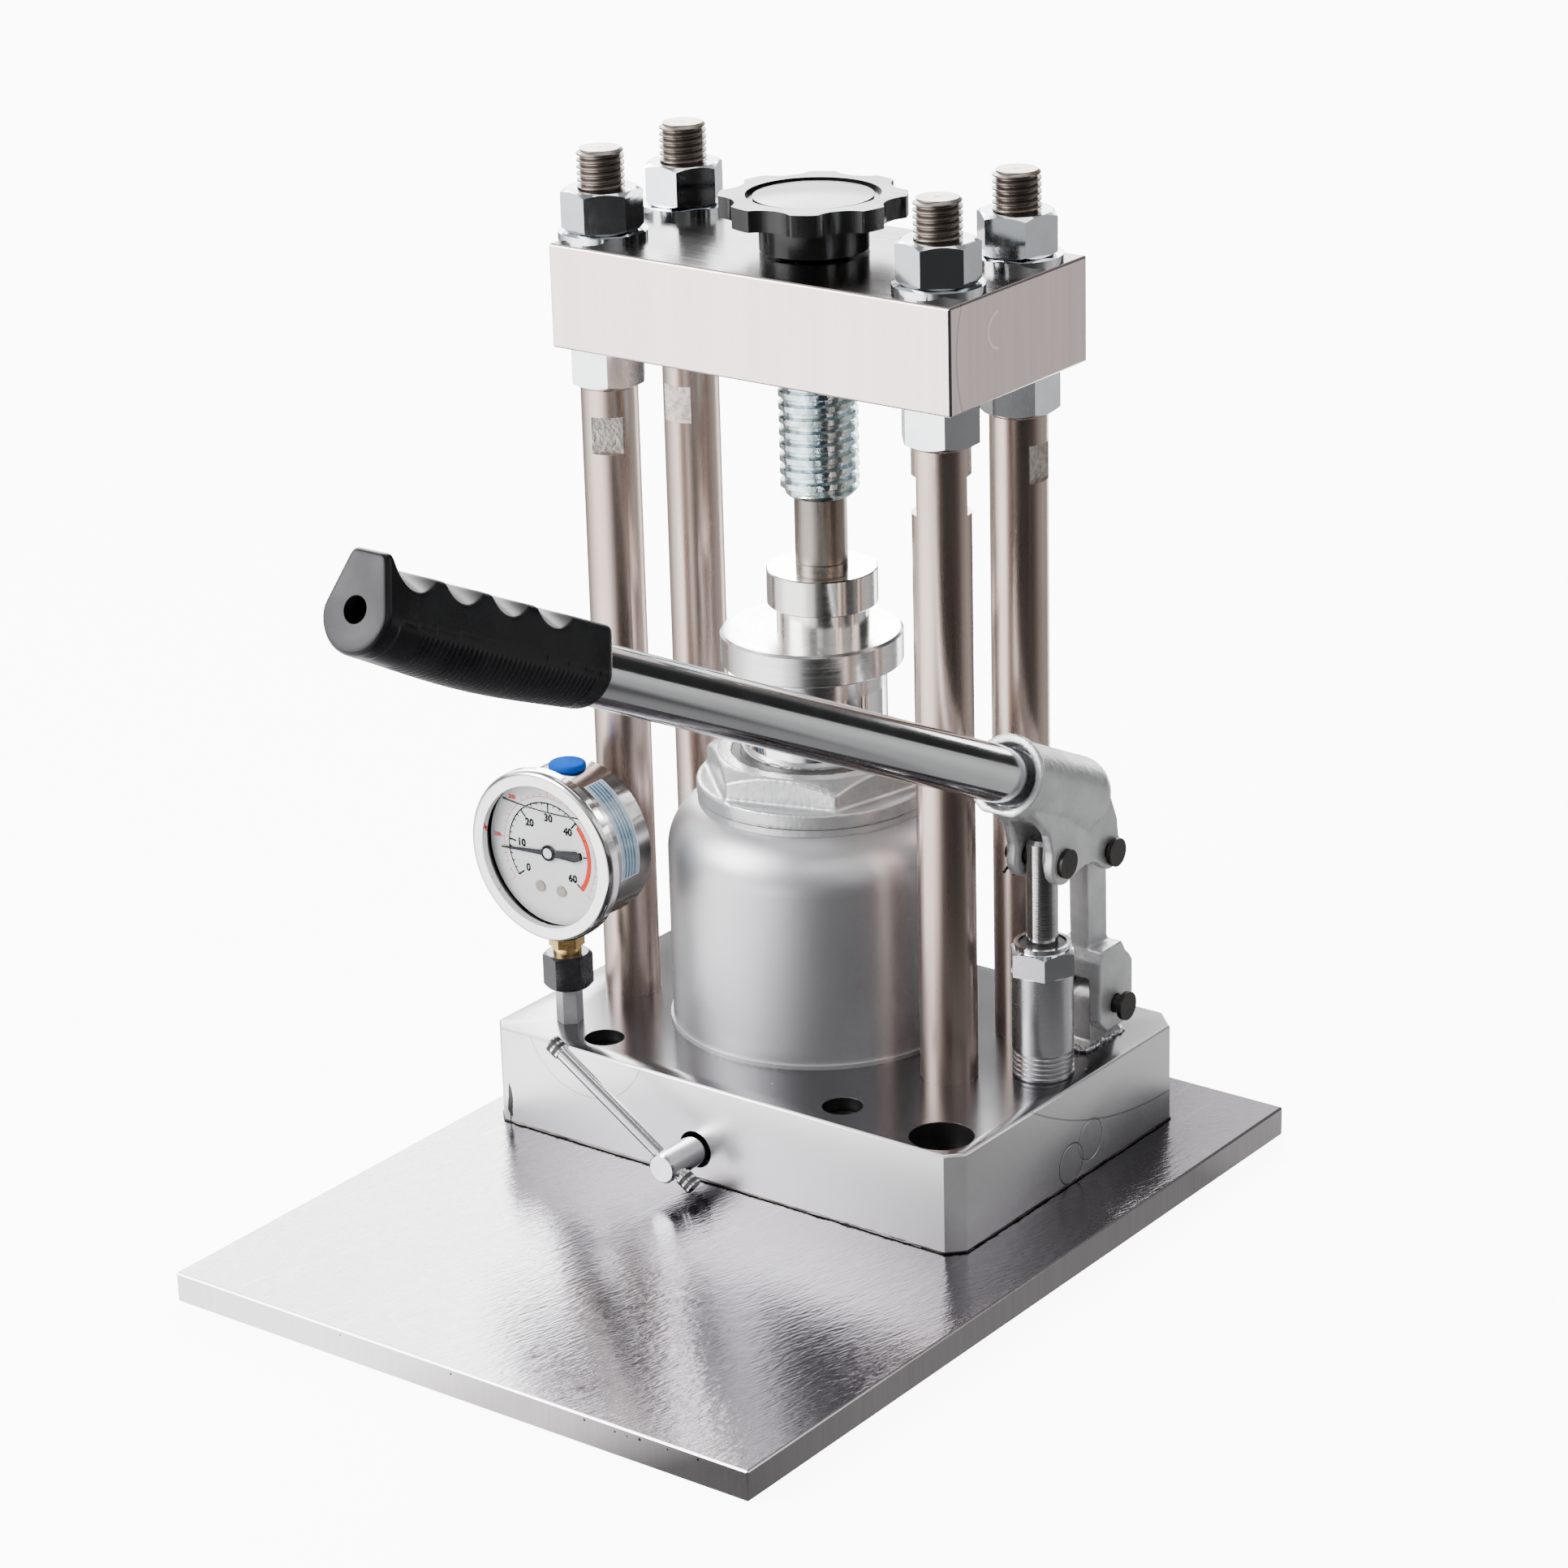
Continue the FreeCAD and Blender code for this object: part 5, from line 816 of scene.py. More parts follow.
# The block: painted shade inside the holes of its screws, the relief screw and the valve, a chip in its front edge,
# the rims and faces of its two plugs, and an arc each on its right and front faces.
BLOCK_MARKS = tuple(shaded_bore(3.0 + x, y, BLOCK_TOP, 8.0) for x in (-57.0, 57.0) for y in BLOCK_SCREW_ROWS) + (
    shaded_bore(105.8, -72.4, BLOCK_TOP, 12.45), shaded_bore(0.6, BLOCK_FRONT, 24.3, 7.7, FRONT),
    Mark(at(-91.1, BLOCK_FRONT, 21.0), 0.0016, 0.0, NEARLY_BLACK, 0.95, turn=FRONT, shape=Spot.DISC,
         stretch=(0.8, 4.6, 1.0), ragged=0.003),
    Mark(at(BLOCK_RIGHT, 2.5, 25.5), 0.0081, 0.0004, (0.30, 0.29, 0.30), 0.75, depth=-0.00015, turn=SIDE),
    Mark(at(BLOCK_RIGHT, -10.5, 20.3), 0.0081, 0.0005, (0.24, 0.23, 0.24), 0.85, depth=-0.00015, turn=SIDE),
    Mark(at(BLOCK_RIGHT, 2.5, 25.5), 0.0078, 0.0, (0.64, 0.63, 0.65), 0.35, turn=SIDE, shape=Spot.DISC),
    Mark(at(BLOCK_RIGHT, -10.5, 20.3), 0.0078, 0.0, (0.66, 0.65, 0.67), 0.30, turn=SIDE, shape=Spot.DISC),
    Mark(at(BLOCK_RIGHT, 60.0, 210.0), 0.1855, 0.0005, (0.22, 0.21, 0.22), 0.6, turn=SIDE),
    Mark(at(-52.0, BLOCK_FRONT, 62.0), 0.0290, 0.0005, (0.30, 0.29, 0.30), 0.5, turn=FRONT),
)

# Plate steel: its dark top colour and far lighter side colour are painted light, for the top's dark reflections and
# the edges' bright ones.
PLATE_STEEL = Finish(
    "brushed_plate_steel", (0.100, 0.092, 0.102), roughness=0.13, tint=(0.125, 0.116, 0.126), patch_scale=9.0,
    patch_roughness=0.05, grain=Grain.STRAIGHT, turn=(0.0, 0.0, 75.0), along=190.0, across=760.0, grain_tone=0.14,
    grain_roughness=0.03, grain_depth=0.000080, scratch_scale=26.0, scratch_amount=0.03, side=(0.60, 0.565, 0.58),
    marks=tuple(dot(x, PLATE_FRONT, z, r, FRONT) for x, z, r in PLATE_PITS),
)
# Crosshead steel: its dark top colour and far lighter side colour are painted light, for the top's dark reflection
# and the front's bright one; the warm hue of the sides is the steel's own.
HEAD_STEEL = Finish(
    "milled_crosshead_steel", (0.075, 0.066, 0.065), roughness=0.18, tint=(0.06, 0.053, 0.052), patch_scale=14.0,
    patch_roughness=0.08, grain=Grain.STRAIGHT, along=18.0, across=1700.0, grain_tone=0.14,
    grain_roughness=0.10, grain_depth=0.000004, side=(0.76, 0.645, 0.615),
    marks=HEAD_MARKS,
)
COLUMN_STEEL = Finish(
    "ground_column_steel", (0.50, 0.395, 0.35), roughness=0.30, tint=(0.44, 0.35, 0.31), patch_scale=24.0,
    patch_roughness=0.04, grain=Grain.STRAIGHT, turn=UPRIGHT, along=25.0, across=900.0, grain_tone=0.08,
    grain_roughness=0.05, grain_depth=0.0000012, speck_scale=420.0, speck_share=0.008, speck_amount=0.3,
)
STUD_STEEL = Finish(
    "threaded_stud_steel", (0.26, 0.225, 0.20), roughness=0.36, tint=(0.17, 0.145, 0.13), patch_scale=90.0,
    grain=Grain.TURNED, across=3500.0, grain_tone=0.2, grain_depth=0.00001,
    marks=tuple(dot(x, y, STUD_TOP, 1.3) for x in (-76.5, 76.5) for y in (-25.0, 25.0)),
)
ROUGH_FLAT = Finish(
    "ground_wrench_flat", (0.50, 0.46, 0.42), roughness=0.42, tint=(0.30, 0.27, 0.25), patch_scale=420.0,
    patch_tone=0.9, rough_scale=700.0, rough_depth=0.0004,
)
ZINC = Finish(
    "bright_zinc_plate", (0.80, 0.82, 0.85), roughness=0.10, tint=(0.66, 0.69, 0.73), patch_scale=60.0,
    patch_roughness=0.08, grain=Grain.TURNED, across=1800.0, grain_tone=0.05, grain_depth=0.000003,
)
SCREW_ZINC = Finish(
    "mottled_screw_zinc", (0.62, 0.75, 0.82), roughness=0.17, tint=(0.40, 0.46, 0.44), patch_scale=230.0,
    patch_tone=0.95, patch_roughness=0.22, rough_scale=420.0, rough_depth=0.00016,
)
DARK_STEEL = Finish(
    "dark_punch_steel", (0.20, 0.175, 0.155), roughness=0.34, tint=(0.28, 0.25, 0.225), patch_scale=50.0,
    grain=Grain.STRAIGHT, turn=UPRIGHT, along=90.0, across=2200.0, grain_tone=0.25, grain_depth=0.000012,
)
BLACK_STEEL = Finish(
    "black_oxide_steel", (0.045, 0.043, 0.042), roughness=0.38, tint=(0.09, 0.085, 0.08), patch_scale=160.0,
    rough_scale=500.0, rough_depth=0.00008,
)
DIE_STEEL = Finish(
    "polished_die_steel", (0.66, 0.645, 0.62), roughness=0.16, tint=(0.60, 0.585, 0.565), patch_scale=30.0,
    grain=Grain.TURNED, centre=SCREW_AXIS, across=2600.0, grain_tone=0.10, grain_roughness=0.10,
    grain_depth=0.000006,
)
TABLE_STEEL = Finish(
    "turned_table_steel", (0.64, 0.635, 0.63), roughness=0.22, tint=(0.56, 0.555, 0.55), patch_scale=22.0,
    grain=Grain.TURNED, centre=RAM_AXIS, across=2300.0, grain_tone=0.14, grain_roughness=0.12,
    grain_depth=0.00001,
)
RAM_CHROME = Finish(
    "ram_chrome", (0.74, 0.74, 0.745), roughness=0.09, tint=(0.68, 0.68, 0.69), patch_scale=25.0,
    grain=Grain.TURNED, centre=RAM_AXIS, across=1500.0, grain_tone=0.05, grain_depth=0.000002,
)
TUBE_CHROME = Finish(
    "handle_chrome", (0.72, 0.725, 0.74), roughness=0.12, tint=(0.64, 0.645, 0.66), patch_scale=22.0,
    patch_roughness=0.08, speck_scale=520.0, speck_share=0.02, speck_amount=0.3, rough_scale=60.0,
    rough_depth=0.00003,
)
BAR_CHROME = Finish(
    "bar_chrome", (0.78, 0.785, 0.80), roughness=0.12, tint=(0.62, 0.63, 0.65), patch_scale=80.0,
    rough_scale=300.0, rough_depth=0.00003,
)
# Block paint: one silver paint, given a dark colour on the top and a light one on the upright faces; the difference
# is painted light, for the top's dark reflections and the faces' bright ones.
SILVER_PAINT = Finish(
    "block_silver_paint", (0.12, 0.117, 0.124), metallic=0.95, roughness=0.18, tint=(0.105, 0.102, 0.108),
    patch_scale=14.0, patch_tone=0.5, patch_roughness=0.06, speck_scale=230.0, speck_share=0.008,
    speck_colour=(0.85, 0.85, 0.85), speck_amount=0.6, rough_scale=500.0, rough_depth=0.000006,
    side=(0.80, 0.79, 0.81), side_lines=0.02, side_roughness=0.36, marks=BLOCK_MARKS,
)
TANK_PAINT = Finish(
    "tank_silver_paint", (0.50, 0.50, 0.525), metallic=0.95, roughness=0.42, tint=(0.46, 0.46, 0.48),
    patch_scale=14.0, patch_tone=0.4, patch_roughness=0.04, speck_scale=190.0, speck_share=0.012,
    speck_colour=(0.90, 0.90, 0.90), speck_amount=0.8, rough_scale=1400.0, rough_depth=0.0000035,
)
CAST_PAINT = Finish(
    "painted_casting", (0.50, 0.505, 0.515), metallic=0.75, roughness=0.36, tint=(0.40, 0.405, 0.415),
    patch_scale=60.0, patch_tone=0.7, patch_roughness=0.16, rough_scale=380.0, rough_depth=0.00022,
)
WELD_PAINT = Finish(
    "painted_weld", (0.55, 0.55, 0.56), metallic=0.85, roughness=0.26, tint=(0.30, 0.30, 0.31), patch_scale=500.0,
    patch_tone=0.9, rough_scale=900.0, rough_depth=0.00015,
)
PUMP_STEEL = Finish(
    "satin_pump_steel", (0.60, 0.60, 0.62), roughness=0.26, tint=(0.53, 0.53, 0.55), patch_scale=40.0,
    patch_roughness=0.05, grain=Grain.TURNED, centre=PUMP_AXIS, across=1500.0, grain_tone=0.05,
    grain_roughness=0.03, grain_depth=0.0000003,
)
PLUNGER_STEEL = Finish(
    "plunger_steel", (0.62, 0.62, 0.62), roughness=0.16, tint=(0.34, 0.33, 0.32), patch_scale=40.0,
    patch_tone=0.7, grain=Grain.TURNED, centre=PUMP_AXIS, across=1600.0, grain_tone=0.3,
)
KNOB_PLASTIC = Finish(
    "black_knob_plastic", (0.006, 0.006, 0.006), metallic=0.0, roughness=0.20, tint=(0.010, 0.010, 0.010),
    patch_scale=45.0, patch_roughness=0.10, rough_scale=260.0, rough_depth=0.000004, specular=0.3,
)
CAP_PLASTIC = Finish(
    "black_cap_plastic", (0.010, 0.010, 0.011), metallic=0.0, roughness=0.2, tint=(0.014, 0.014, 0.015),
    patch_scale=45.0, patch_roughness=0.06, rough_scale=200.0, rough_depth=0.000003, specular=0.18,
)
GRIP_RUBBER = Finish(
    "black_grip_rubber", (0.005, 0.005, 0.006), metallic=0.0, roughness=0.30, tint=(0.012, 0.012, 0.013),
    patch_scale=40.0, patch_roughness=0.14, rough_scale=1500.0, rough_depth=0.000004, specular=0.14,
)
GRIP_END = Finish(
    "grey_grip_end", (0.022, 0.022, 0.025), metallic=0.0, roughness=0.5, tint=(0.030, 0.030, 0.034),
    patch_scale=60.0, patch_roughness=0.14, rough_scale=1200.0, rough_depth=0.00003, specular=0.3,
)
SEAL_RUBBER = Finish(
    "black_seal_rubber", (0.02, 0.02, 0.02), metallic=0.0, roughness=0.55, tint=(0.04, 0.04, 0.04),
    patch_scale=200.0, rough_scale=900.0, rough_depth=0.00008,
)
BLUE_RUBBER = Finish(
    "blue_plug_rubber", (0.005, 0.06, 0.36), metallic=0.0, roughness=0.45, tint=(0.01, 0.09, 0.44),
    patch_scale=140.0, rough_scale=600.0, rough_depth=0.00001, specular=0.0,
)
GAUGE_STEEL = Finish(
    "polished_gauge_steel", (0.72, 0.71, 0.70), roughness=0.10, tint=(0.64, 0.63, 0.62), patch_scale=35.0,
    patch_roughness=0.06, grain=Grain.TURNED, turn=FRONT, centre=GAUGE_AXIS, across=1500.0,
    grain_tone=0.06, grain_depth=0.000003,
)
CASE_STEEL = Finish(
    "gauge_case_steel", (0.34, 0.32, 0.31), roughness=0.16, tint=(0.24, 0.22, 0.21), patch_scale=35.0,
    patch_roughness=0.06, grain=Grain.TURNED, turn=FRONT, centre=GAUGE_AXIS, across=1500.0,
    grain_tone=0.10, grain_depth=0.000001,
)
BRASS = Finish(
    "gauge_brass", (0.74, 0.50, 0.20), roughness=0.18, tint=(0.62, 0.40, 0.15), patch_scale=120.0,
    grain=Grain.TURNED, centre=STEM_AXIS, across=2500.0, grain_tone=0.12,
)
COUPLING_BLACK = Finish(
    "black_coupling", (0.010, 0.010, 0.012), metallic=0.0, roughness=0.26, tint=(0.02, 0.02, 0.023),
    patch_scale=120.0, patch_roughness=0.14, rough_scale=420.0, rough_depth=0.00001, specular=0.4,
)
DIAL_ENAMEL = Finish(
    "white_dial_enamel", (0.70, 0.69, 0.71), metallic=0.0, roughness=0.5, tint=(0.62, 0.61, 0.64),
    patch_scale=60.0, patch_tone=0.35, rough_scale=500.0, rough_depth=0.00001, specular=0.1,
)
POINTER_BLACK = Finish(
    "pointer_lacquer", (0.02, 0.02, 0.025), metallic=0.0, roughness=0.5, tint=(0.03, 0.03, 0.035),
    patch_scale=200.0, rough_scale=800.0, rough_depth=0.00001, specular=0.15,
)
INKS = {
    Ink.BLACK: Finish("dial_ink_black", (0.008, 0.008, 0.010), metallic=0.0, roughness=0.6, patch_scale=300.0,
                      specular=0.1),
    Ink.RED: Finish("dial_ink_red", (0.62, 0.03, 0.015), metallic=0.0, roughness=0.6, patch_scale=300.0,
                    specular=0.1),
}
FILM_COLOURS = tuple(
    Finish(name, colour, metallic=0.0, roughness=0.30, tint=tint, patch_scale=140.0, patch_tone=0.8, coat=0.3)
    for name, colour, tint in (
        ("film_border", (0.78, 0.80, 0.83), (0.70, 0.73, 0.77)),
        ("film_field", (0.22, 0.36, 0.50), (0.42, 0.55, 0.66)),
        ("film_line", (0.015, 0.06, 0.12), (0.05, 0.13, 0.22))))


def glass(name: str, tint: Colour, roughness: float, ior: float) -> bpy.types.Material:
    """Clear material with a faint smear, for the gauge's window.

    Args:
        name: The material's name.
        tint: Its colour.
        roughness: Its roughness where it is smeared.
        ior: Its index of refraction.

    Returns:
        The material.
    """
    smear_scale, smear_range, smear_shade = 70.0, (0.35, 0.75), 0.96
    made, tree, surface = new_material(name)
    shader = tree.add("ShaderNodeBsdfPrincipled")
    tree.feed(surface, shader.outputs[0])
    shader.inputs["Metallic"].default_value = 0.0
    shader.inputs["Transmission Weight"].default_value = 1.0
    shader.inputs["IOR"].default_value = ior
    place = tree.add("ShaderNodeTexCoord").outputs["Object"]
    smear = tree.spread(tree.noise(place, smear_scale), *smear_range)
    tree.feed(shader.inputs["Base Color"], tree.blend(smear, rgba(tint), rgba(shade(tint, smear_shade))))
    tree.feed(shader.inputs["Roughness"], tree.maths("MULTIPLY", smear, roughness))
    return made


# Mesh helpers


def dress(node: str, finish: Union[Finish, bpy.types.Material]) -> None:
    """Give a CAD node its finish.

    Args:
        node: The node's name.
        finish: A finish, or a material that is already made.
    """
    made = finish if isinstance(finish, bpy.types.Material) else finish.material()
    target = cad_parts[node]
    target.data.materials.clear()
    target.data.materials.append(made)
    LOG.info("%s: %s", node, made.name)


def add_piece(
    name: str,
    mesh: bpy.types.Mesh,
    body: str,
    slot: str,
    finishes: Sequence[Finish],
    replaced: Sequence[str] = (),
    smooth: float = 35.0,
) -> bpy.types.Object:
    """Put a new piece in the scene.

    Args:
        name: The piece's name.
        mesh: Its mesh, in the row frame.
        body: The body it rides on.
        slot: The record's material slot; not used.
        finishes: Its finishes, in the order of the mesh's material numbers.
        replaced: CAD nodes that it stands for.
        smooth: Edges under this angle, in degrees, are shaded smooth.

    Returns:
        The new object.
    """
    piece = bpy.data.objects.new(name, mesh)
    bpy.context.scene.collection.objects.link(piece)
    for finish in finishes:
        mesh.materials.append(finish.material())
    mesh.polygons.foreach_set("use_smooth", [True] * len(mesh.polygons))
    mesh.set_sharp_from_angle(angle=math.radians(smooth))
    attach(piece, body)
    if replaced:
        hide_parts(*replaced)
    LOG.info("%s: %d faces on %s", name, len(mesh.polygons), body)
    return piece


# Points nearer than this, in metres, are one point: in a shaped piece, and in print or a machined edge.
MERGE = 0.000005
FINE_MERGE = 0.000001


def finish_mesh(name: str, bm: bmesh.types.BMesh, merge: float = MERGE) -> bpy.types.Mesh:
    """Make mesh data from a bmesh, with doubled points joined and normals outward.

    Args:
        name: The mesh's name.
        bm: The bmesh, which is freed.
        merge: Points nearer than this are joined.

    Returns:
        The mesh.
    """
    bmesh.ops.remove_doubles(bm, verts=bm.verts, dist=merge)
    bmesh.ops.dissolve_degenerate(bm, dist=merge / 2, edges=bm.edges)
    bmesh.ops.recalc_face_normals(bm, faces=bm.faces)
    return plain_mesh(name, bm)


def plain_mesh(name: str, bm: bmesh.types.BMesh) -> bpy.types.Mesh:
    """Make mesh data from a bmesh as it is.

    Args:
        name: The mesh's name.
        bm: The bmesh, which is freed.

    Returns:
        The mesh.
    """
    mesh = bpy.data.meshes.new(name)
    bm.to_mesh(mesh)
    bm.free()
    return mesh


def skin(
    bm: bmesh.types.BMesh,
    rows: Sequence[Sequence[Point]],
    closed: bool = True,
    caps: tuple[bool, bool] = (True, True),
    material: Optional[Callable[[int, int], int]] = None,
) -> None:
    """Cover a stack of point rows with quads.

    Args:
        bm: The mesh to add to.
        rows: Rows of points, all of one length.
        closed: Whether each row is a ring.
        caps: Whether the first and the last row are closed with a fan.
        material: Gives a face's material number from its row and its place in the row.
    """
    grid = [[bm.verts.new(point) for point in row] for row in rows]
    count = len(rows[0])
    span = count if closed else count - 1
    for j in range(len(grid) - 1):
        for i in range(span):
            k = (i + 1) % count
            face = bm.faces.new((grid[j][i], grid[j][k], grid[j + 1][k], grid[j + 1][i]))
            if material is not None:
                face.material_index = material(j, i)
    for wanted, row in zip(caps, (grid[0], grid[-1])):
        if wanted and closed:
            fan(bm, row, bm.verts.new(sum((v.co for v in row), Vector()) / count))


def fan(bm: bmesh.types.BMesh, rim: Sequence[bmesh.types.BMVert], middle: bmesh.types.BMVert) -> None:
    """Close a ring of points with triangles.

    Args:
        bm: The mesh to add to.
        rim: The ring.
        middle: The point that they meet in.
    """
    for i, point in enumerate(rim):
        bm.faces.new((point, rim[(i + 1) % len(rim)], middle))


# Threads and columns


@dataclass(frozen=True)
class Thread:
    """Upright threaded rod, in millimetres; crest and root are the flat shares of the pitch."""

    diameter: float
    pitch: float
    depth: float
    crest: float
    root: float
    bottom: float
    top: float
    bevel: float
    sides: int = 72

    def radius(self, phase: float) -> float:
        """Radius of the thread's form.

        Args:
            phase: Height over the middle of the crest, in pitches.

        Returns:
            The radius.
        """
        phase = abs((phase + 0.5) % 1.0 - 0.5) * 2
        full = self.diameter / 2
        if phase <= self.crest:
            return full
        if phase >= 1 - self.root:
            return full - self.depth
        return full - self.depth * (phase - self.crest) / (1 - self.root - self.crest)

    def limit(self, height: float) -> float:
        """Largest radius that the bevelled ends leave.

        Args:
            height: The height.

        Returns:
            The radius.
        """
        over = max(height - (self.top - self.bevel), (self.bottom + self.bevel) - height, 0.0)
        return self.diameter / 2 - over

    def point(self, centre: Pair, height: float, share: float) -> Point:
        """Point of the surface, in metres.

        Args:
            centre: X and Y of the axis.
            height: The point's height.
            share: Its place round the rod, as a share of a turn.

        Returns:
            The point.
        """
        r = min(self.radius(height / self.pitch - share), self.limit(height))
        a = TURN * share
        return at(centre[0] + r * math.cos(a), centre[1] + r * math.sin(a), height)

    def build(self, bm: bmesh.types.BMesh, centre: Pair, caps: tuple[bool, bool]) -> None:
        """Add the thread's surface to a mesh.

        Args:
            bm: The mesh to add to.
            centre: X and Y of the axis.
            caps: Whether the bottom and the top are closed.
        """
        steps = (0.0, self.crest / 2, (1 - self.root) / 2, 0.5, (1 + self.root) / 2, 1 - self.crest / 2)
        first = math.floor(self.bottom / self.pitch) - 1
        last = math.ceil(self.top / self.pitch) + 1
        shares = [i / self.sides for i in range(self.sides + 1)]
        rows = []
        for turn in range(first, last + 1):
            for step in steps:
                heights = [(turn + step + share) * self.pitch for share in shares]
                rows.append([self.point(centre, min(max(height, self.bottom), self.top), share)
                             for height, share in zip(heights, shares)])
        skin(bm, rows, closed=False)
        for wanted, height in zip(caps, (self.bottom, self.top)):
            if wanted:
                middle = bm.verts.new(at(*centre, height))
                fan(bm, [bm.verts.new(self.point(centre, height, share)) for share in shares[:-1]], middle)


@dataclass
class Columns:
    """The four columns, in millimetres: ground shank with wrench flats, and a threaded stud on top."""

    shank: float = 22.0
    stud: float = 18.0
    foot: float = 52.0
    shoulder: float = 301.0
    shoulder_bevel: float = 1.2
    top: float = STUD_TOP
    stud_gap: float = 0.6
    flat_across: float = 18.2
    flat_low: float = 275.0
    flat_high: float = 289.5
    least_facing: float = 0.01
    pitch: Pair = (153.0, 50.0)
    sides: int = 120
    thread_pitch: float = 2.5
    thread_depth: float = 1.45
    thread_crest: float = 0.22
    thread_root: float = 0.16
    places: dict[str, tuple[int, int, float]] = field(default_factory=lambda: {
        "front_left": (-1, -1, -59.0), "front_right": (1, -1, 37.0),
        "back_left": (-1, 1, -88.0), "back_right": (1, 1, -1.0)})

    def _flat_reach(self, angle: float, flat_angle: float) -> float:
        """Distance from the axis to a wrench flat.

        Args:
            angle: The direction, in radians.
            flat_angle: Where the flats face, in degrees.

        Returns:
            The distance, very long where the flats run alongside.
        """
        facing = abs(math.cos(angle - math.radians(flat_angle)))
        return self.flat_across / 2 / max(facing, self.least_facing)

    def _shank_rows(self, x: float, y: float, flat_angle: float) -> tuple[list[list[Point]], list[bool]]:
        """Rings of the shank.

        Args:
            x: X of the axis.
            y: Y of the axis.
            flat_angle: Where the flats face, in degrees.

        Returns:
            The rings, and whether each lies in the flats.
        """
        r = self.shank / 2
        narrow = r - self.shoulder_bevel
        levels = [(self.foot, r, False), (self.flat_low, r, False), (self.flat_low, r, True),
                  (self.flat_high, r, True), (self.flat_high, r, False),
                  (self.shoulder - self.shoulder_bevel, r, False), (self.shoulder, narrow, False),
                  (self.shoulder, self.stud / 2 - self.stud_gap, False)]
        rows = []
        for height, radius, cut in levels:
            row = []
            for i in range(self.sides):
                a = TURN * i / self.sides
                here = min(radius, self._flat_reach(a, flat_angle)) if cut else radius
                row.append(at(x + here * math.cos(a), y + here * math.sin(a), height))
            rows.append(row)
        return rows, [cut for _, _, cut in levels]

    def _face(self, i: int, cut: bool, flat_angle: float) -> ColumnFace:
        """Which face of the column a piece of its shank is.

        Args:
            i: Its place round the shank.
            cut: Whether it is as high as the flats.
            flat_angle: Where the flats face, in degrees.

        Returns:
            The face.
        """
        reach = self._flat_reach(TURN * (i + 0.5) / self.sides, flat_angle)
        return ColumnFace.WRENCH_FLAT if cut and reach < self.shank / 2 else ColumnFace.SHANK

    def build(self) -> None:
        """Make the four columns over their nodes."""
        thread = Thread(self.stud, self.thread_pitch, self.thread_depth, self.thread_crest, self.thread_root,
                        self.shoulder, self.top, self.shoulder_bevel)
        for name, (side_x, side_y, flat_angle) in self.places.items():
            x = side_x * self.pitch[0] / 2
            y = side_y * self.pitch[1] / 2
            bm = bmesh.new()
            rows, cuts = self._shank_rows(x, y, flat_angle)
            skin(bm, rows, caps=(True, False),
                 material=lambda j, i: self._face(i, cuts[j] and cuts[j + 1], flat_angle))
            count = len(bm.faces)
            thread.build(bm, (x, y), (False, True))
            bm.faces.ensure_lookup_table()
            for face in bm.faces[count:]:
                face.material_index = ColumnFace.STUD
            node = "column_" + name
            add_piece(node + "_turned", finish_mesh(node, bm), "frame", "ground_steel",
                      (COLUMN_STEEL, STUD_STEEL, ROUGH_FLAT), (node,), smooth=30.0)


@dataclass
class PressScrew:
    """The coarse screw, its star knob and the punch; sizes are in millimetres."""

    x: float = 3.3
    thread: Thread = Thread(diameter=30.0, pitch=5.0, depth=1.7, crest=0.42, root=0.22, bottom=263.6, top=358.0,
                            bevel=2.6, sides=96)

    def build(self) -> None:
        """Make the screw and dress the pieces on it."""
        bm = bmesh.new()
        self.thread.build(bm, (self.x, 0.0), (True, True))
        mesh = finish_mesh("press_screw", bm)
        add_piece("press_screw_thread", mesh, "screw", "blued_screw", (SCREW_ZINC,), ("press_screw",), smooth=40.0)
        dress("upper_punch", DARK_STEEL)
        dress("knob", KNOB_PLASTIC)
        dress("knob_cap", CAP_PLASTIC)
        dress("knob_grub_screw", BLACK_STEEL)


@dataclass
class Casting:
    """A cast piece, in metres: the CAD shape with its edges softened as a sand mould leaves them."""

    node: str
    body: str
    slot: str
    finish: Finish
    voxel: float = 0.0006
    rounds: int = 4
    softness: float = 0.5

    def build(self) -> bpy.types.Object:
        """Make the softened piece.

        Returns:
            The new object.
        """
        name = self.node + "_cast"
        piece = bpy.data.objects.new(name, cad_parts[self.node].data.copy())
        bpy.context.scene.collection.objects.link(piece)
        remesh = piece.modifiers.new("grains", "REMESH")
        remesh.mode = "VOXEL"
        remesh.voxel_size = self.voxel
        soften = piece.modifiers.new("soften", "SMOOTH")
        soften.factor = self.softness
        soften.iterations = self.rounds
        shaped = bpy.data.meshes.new_from_object(piece.evaluated_get(bpy.context.evaluated_depsgraph_get()))
        bpy.data.objects.remove(piece)
        shaped.materials.clear()
        return add_piece(name, shaped, self.body, self.slot, (self.finish,), (self.node,), smooth=60.0)


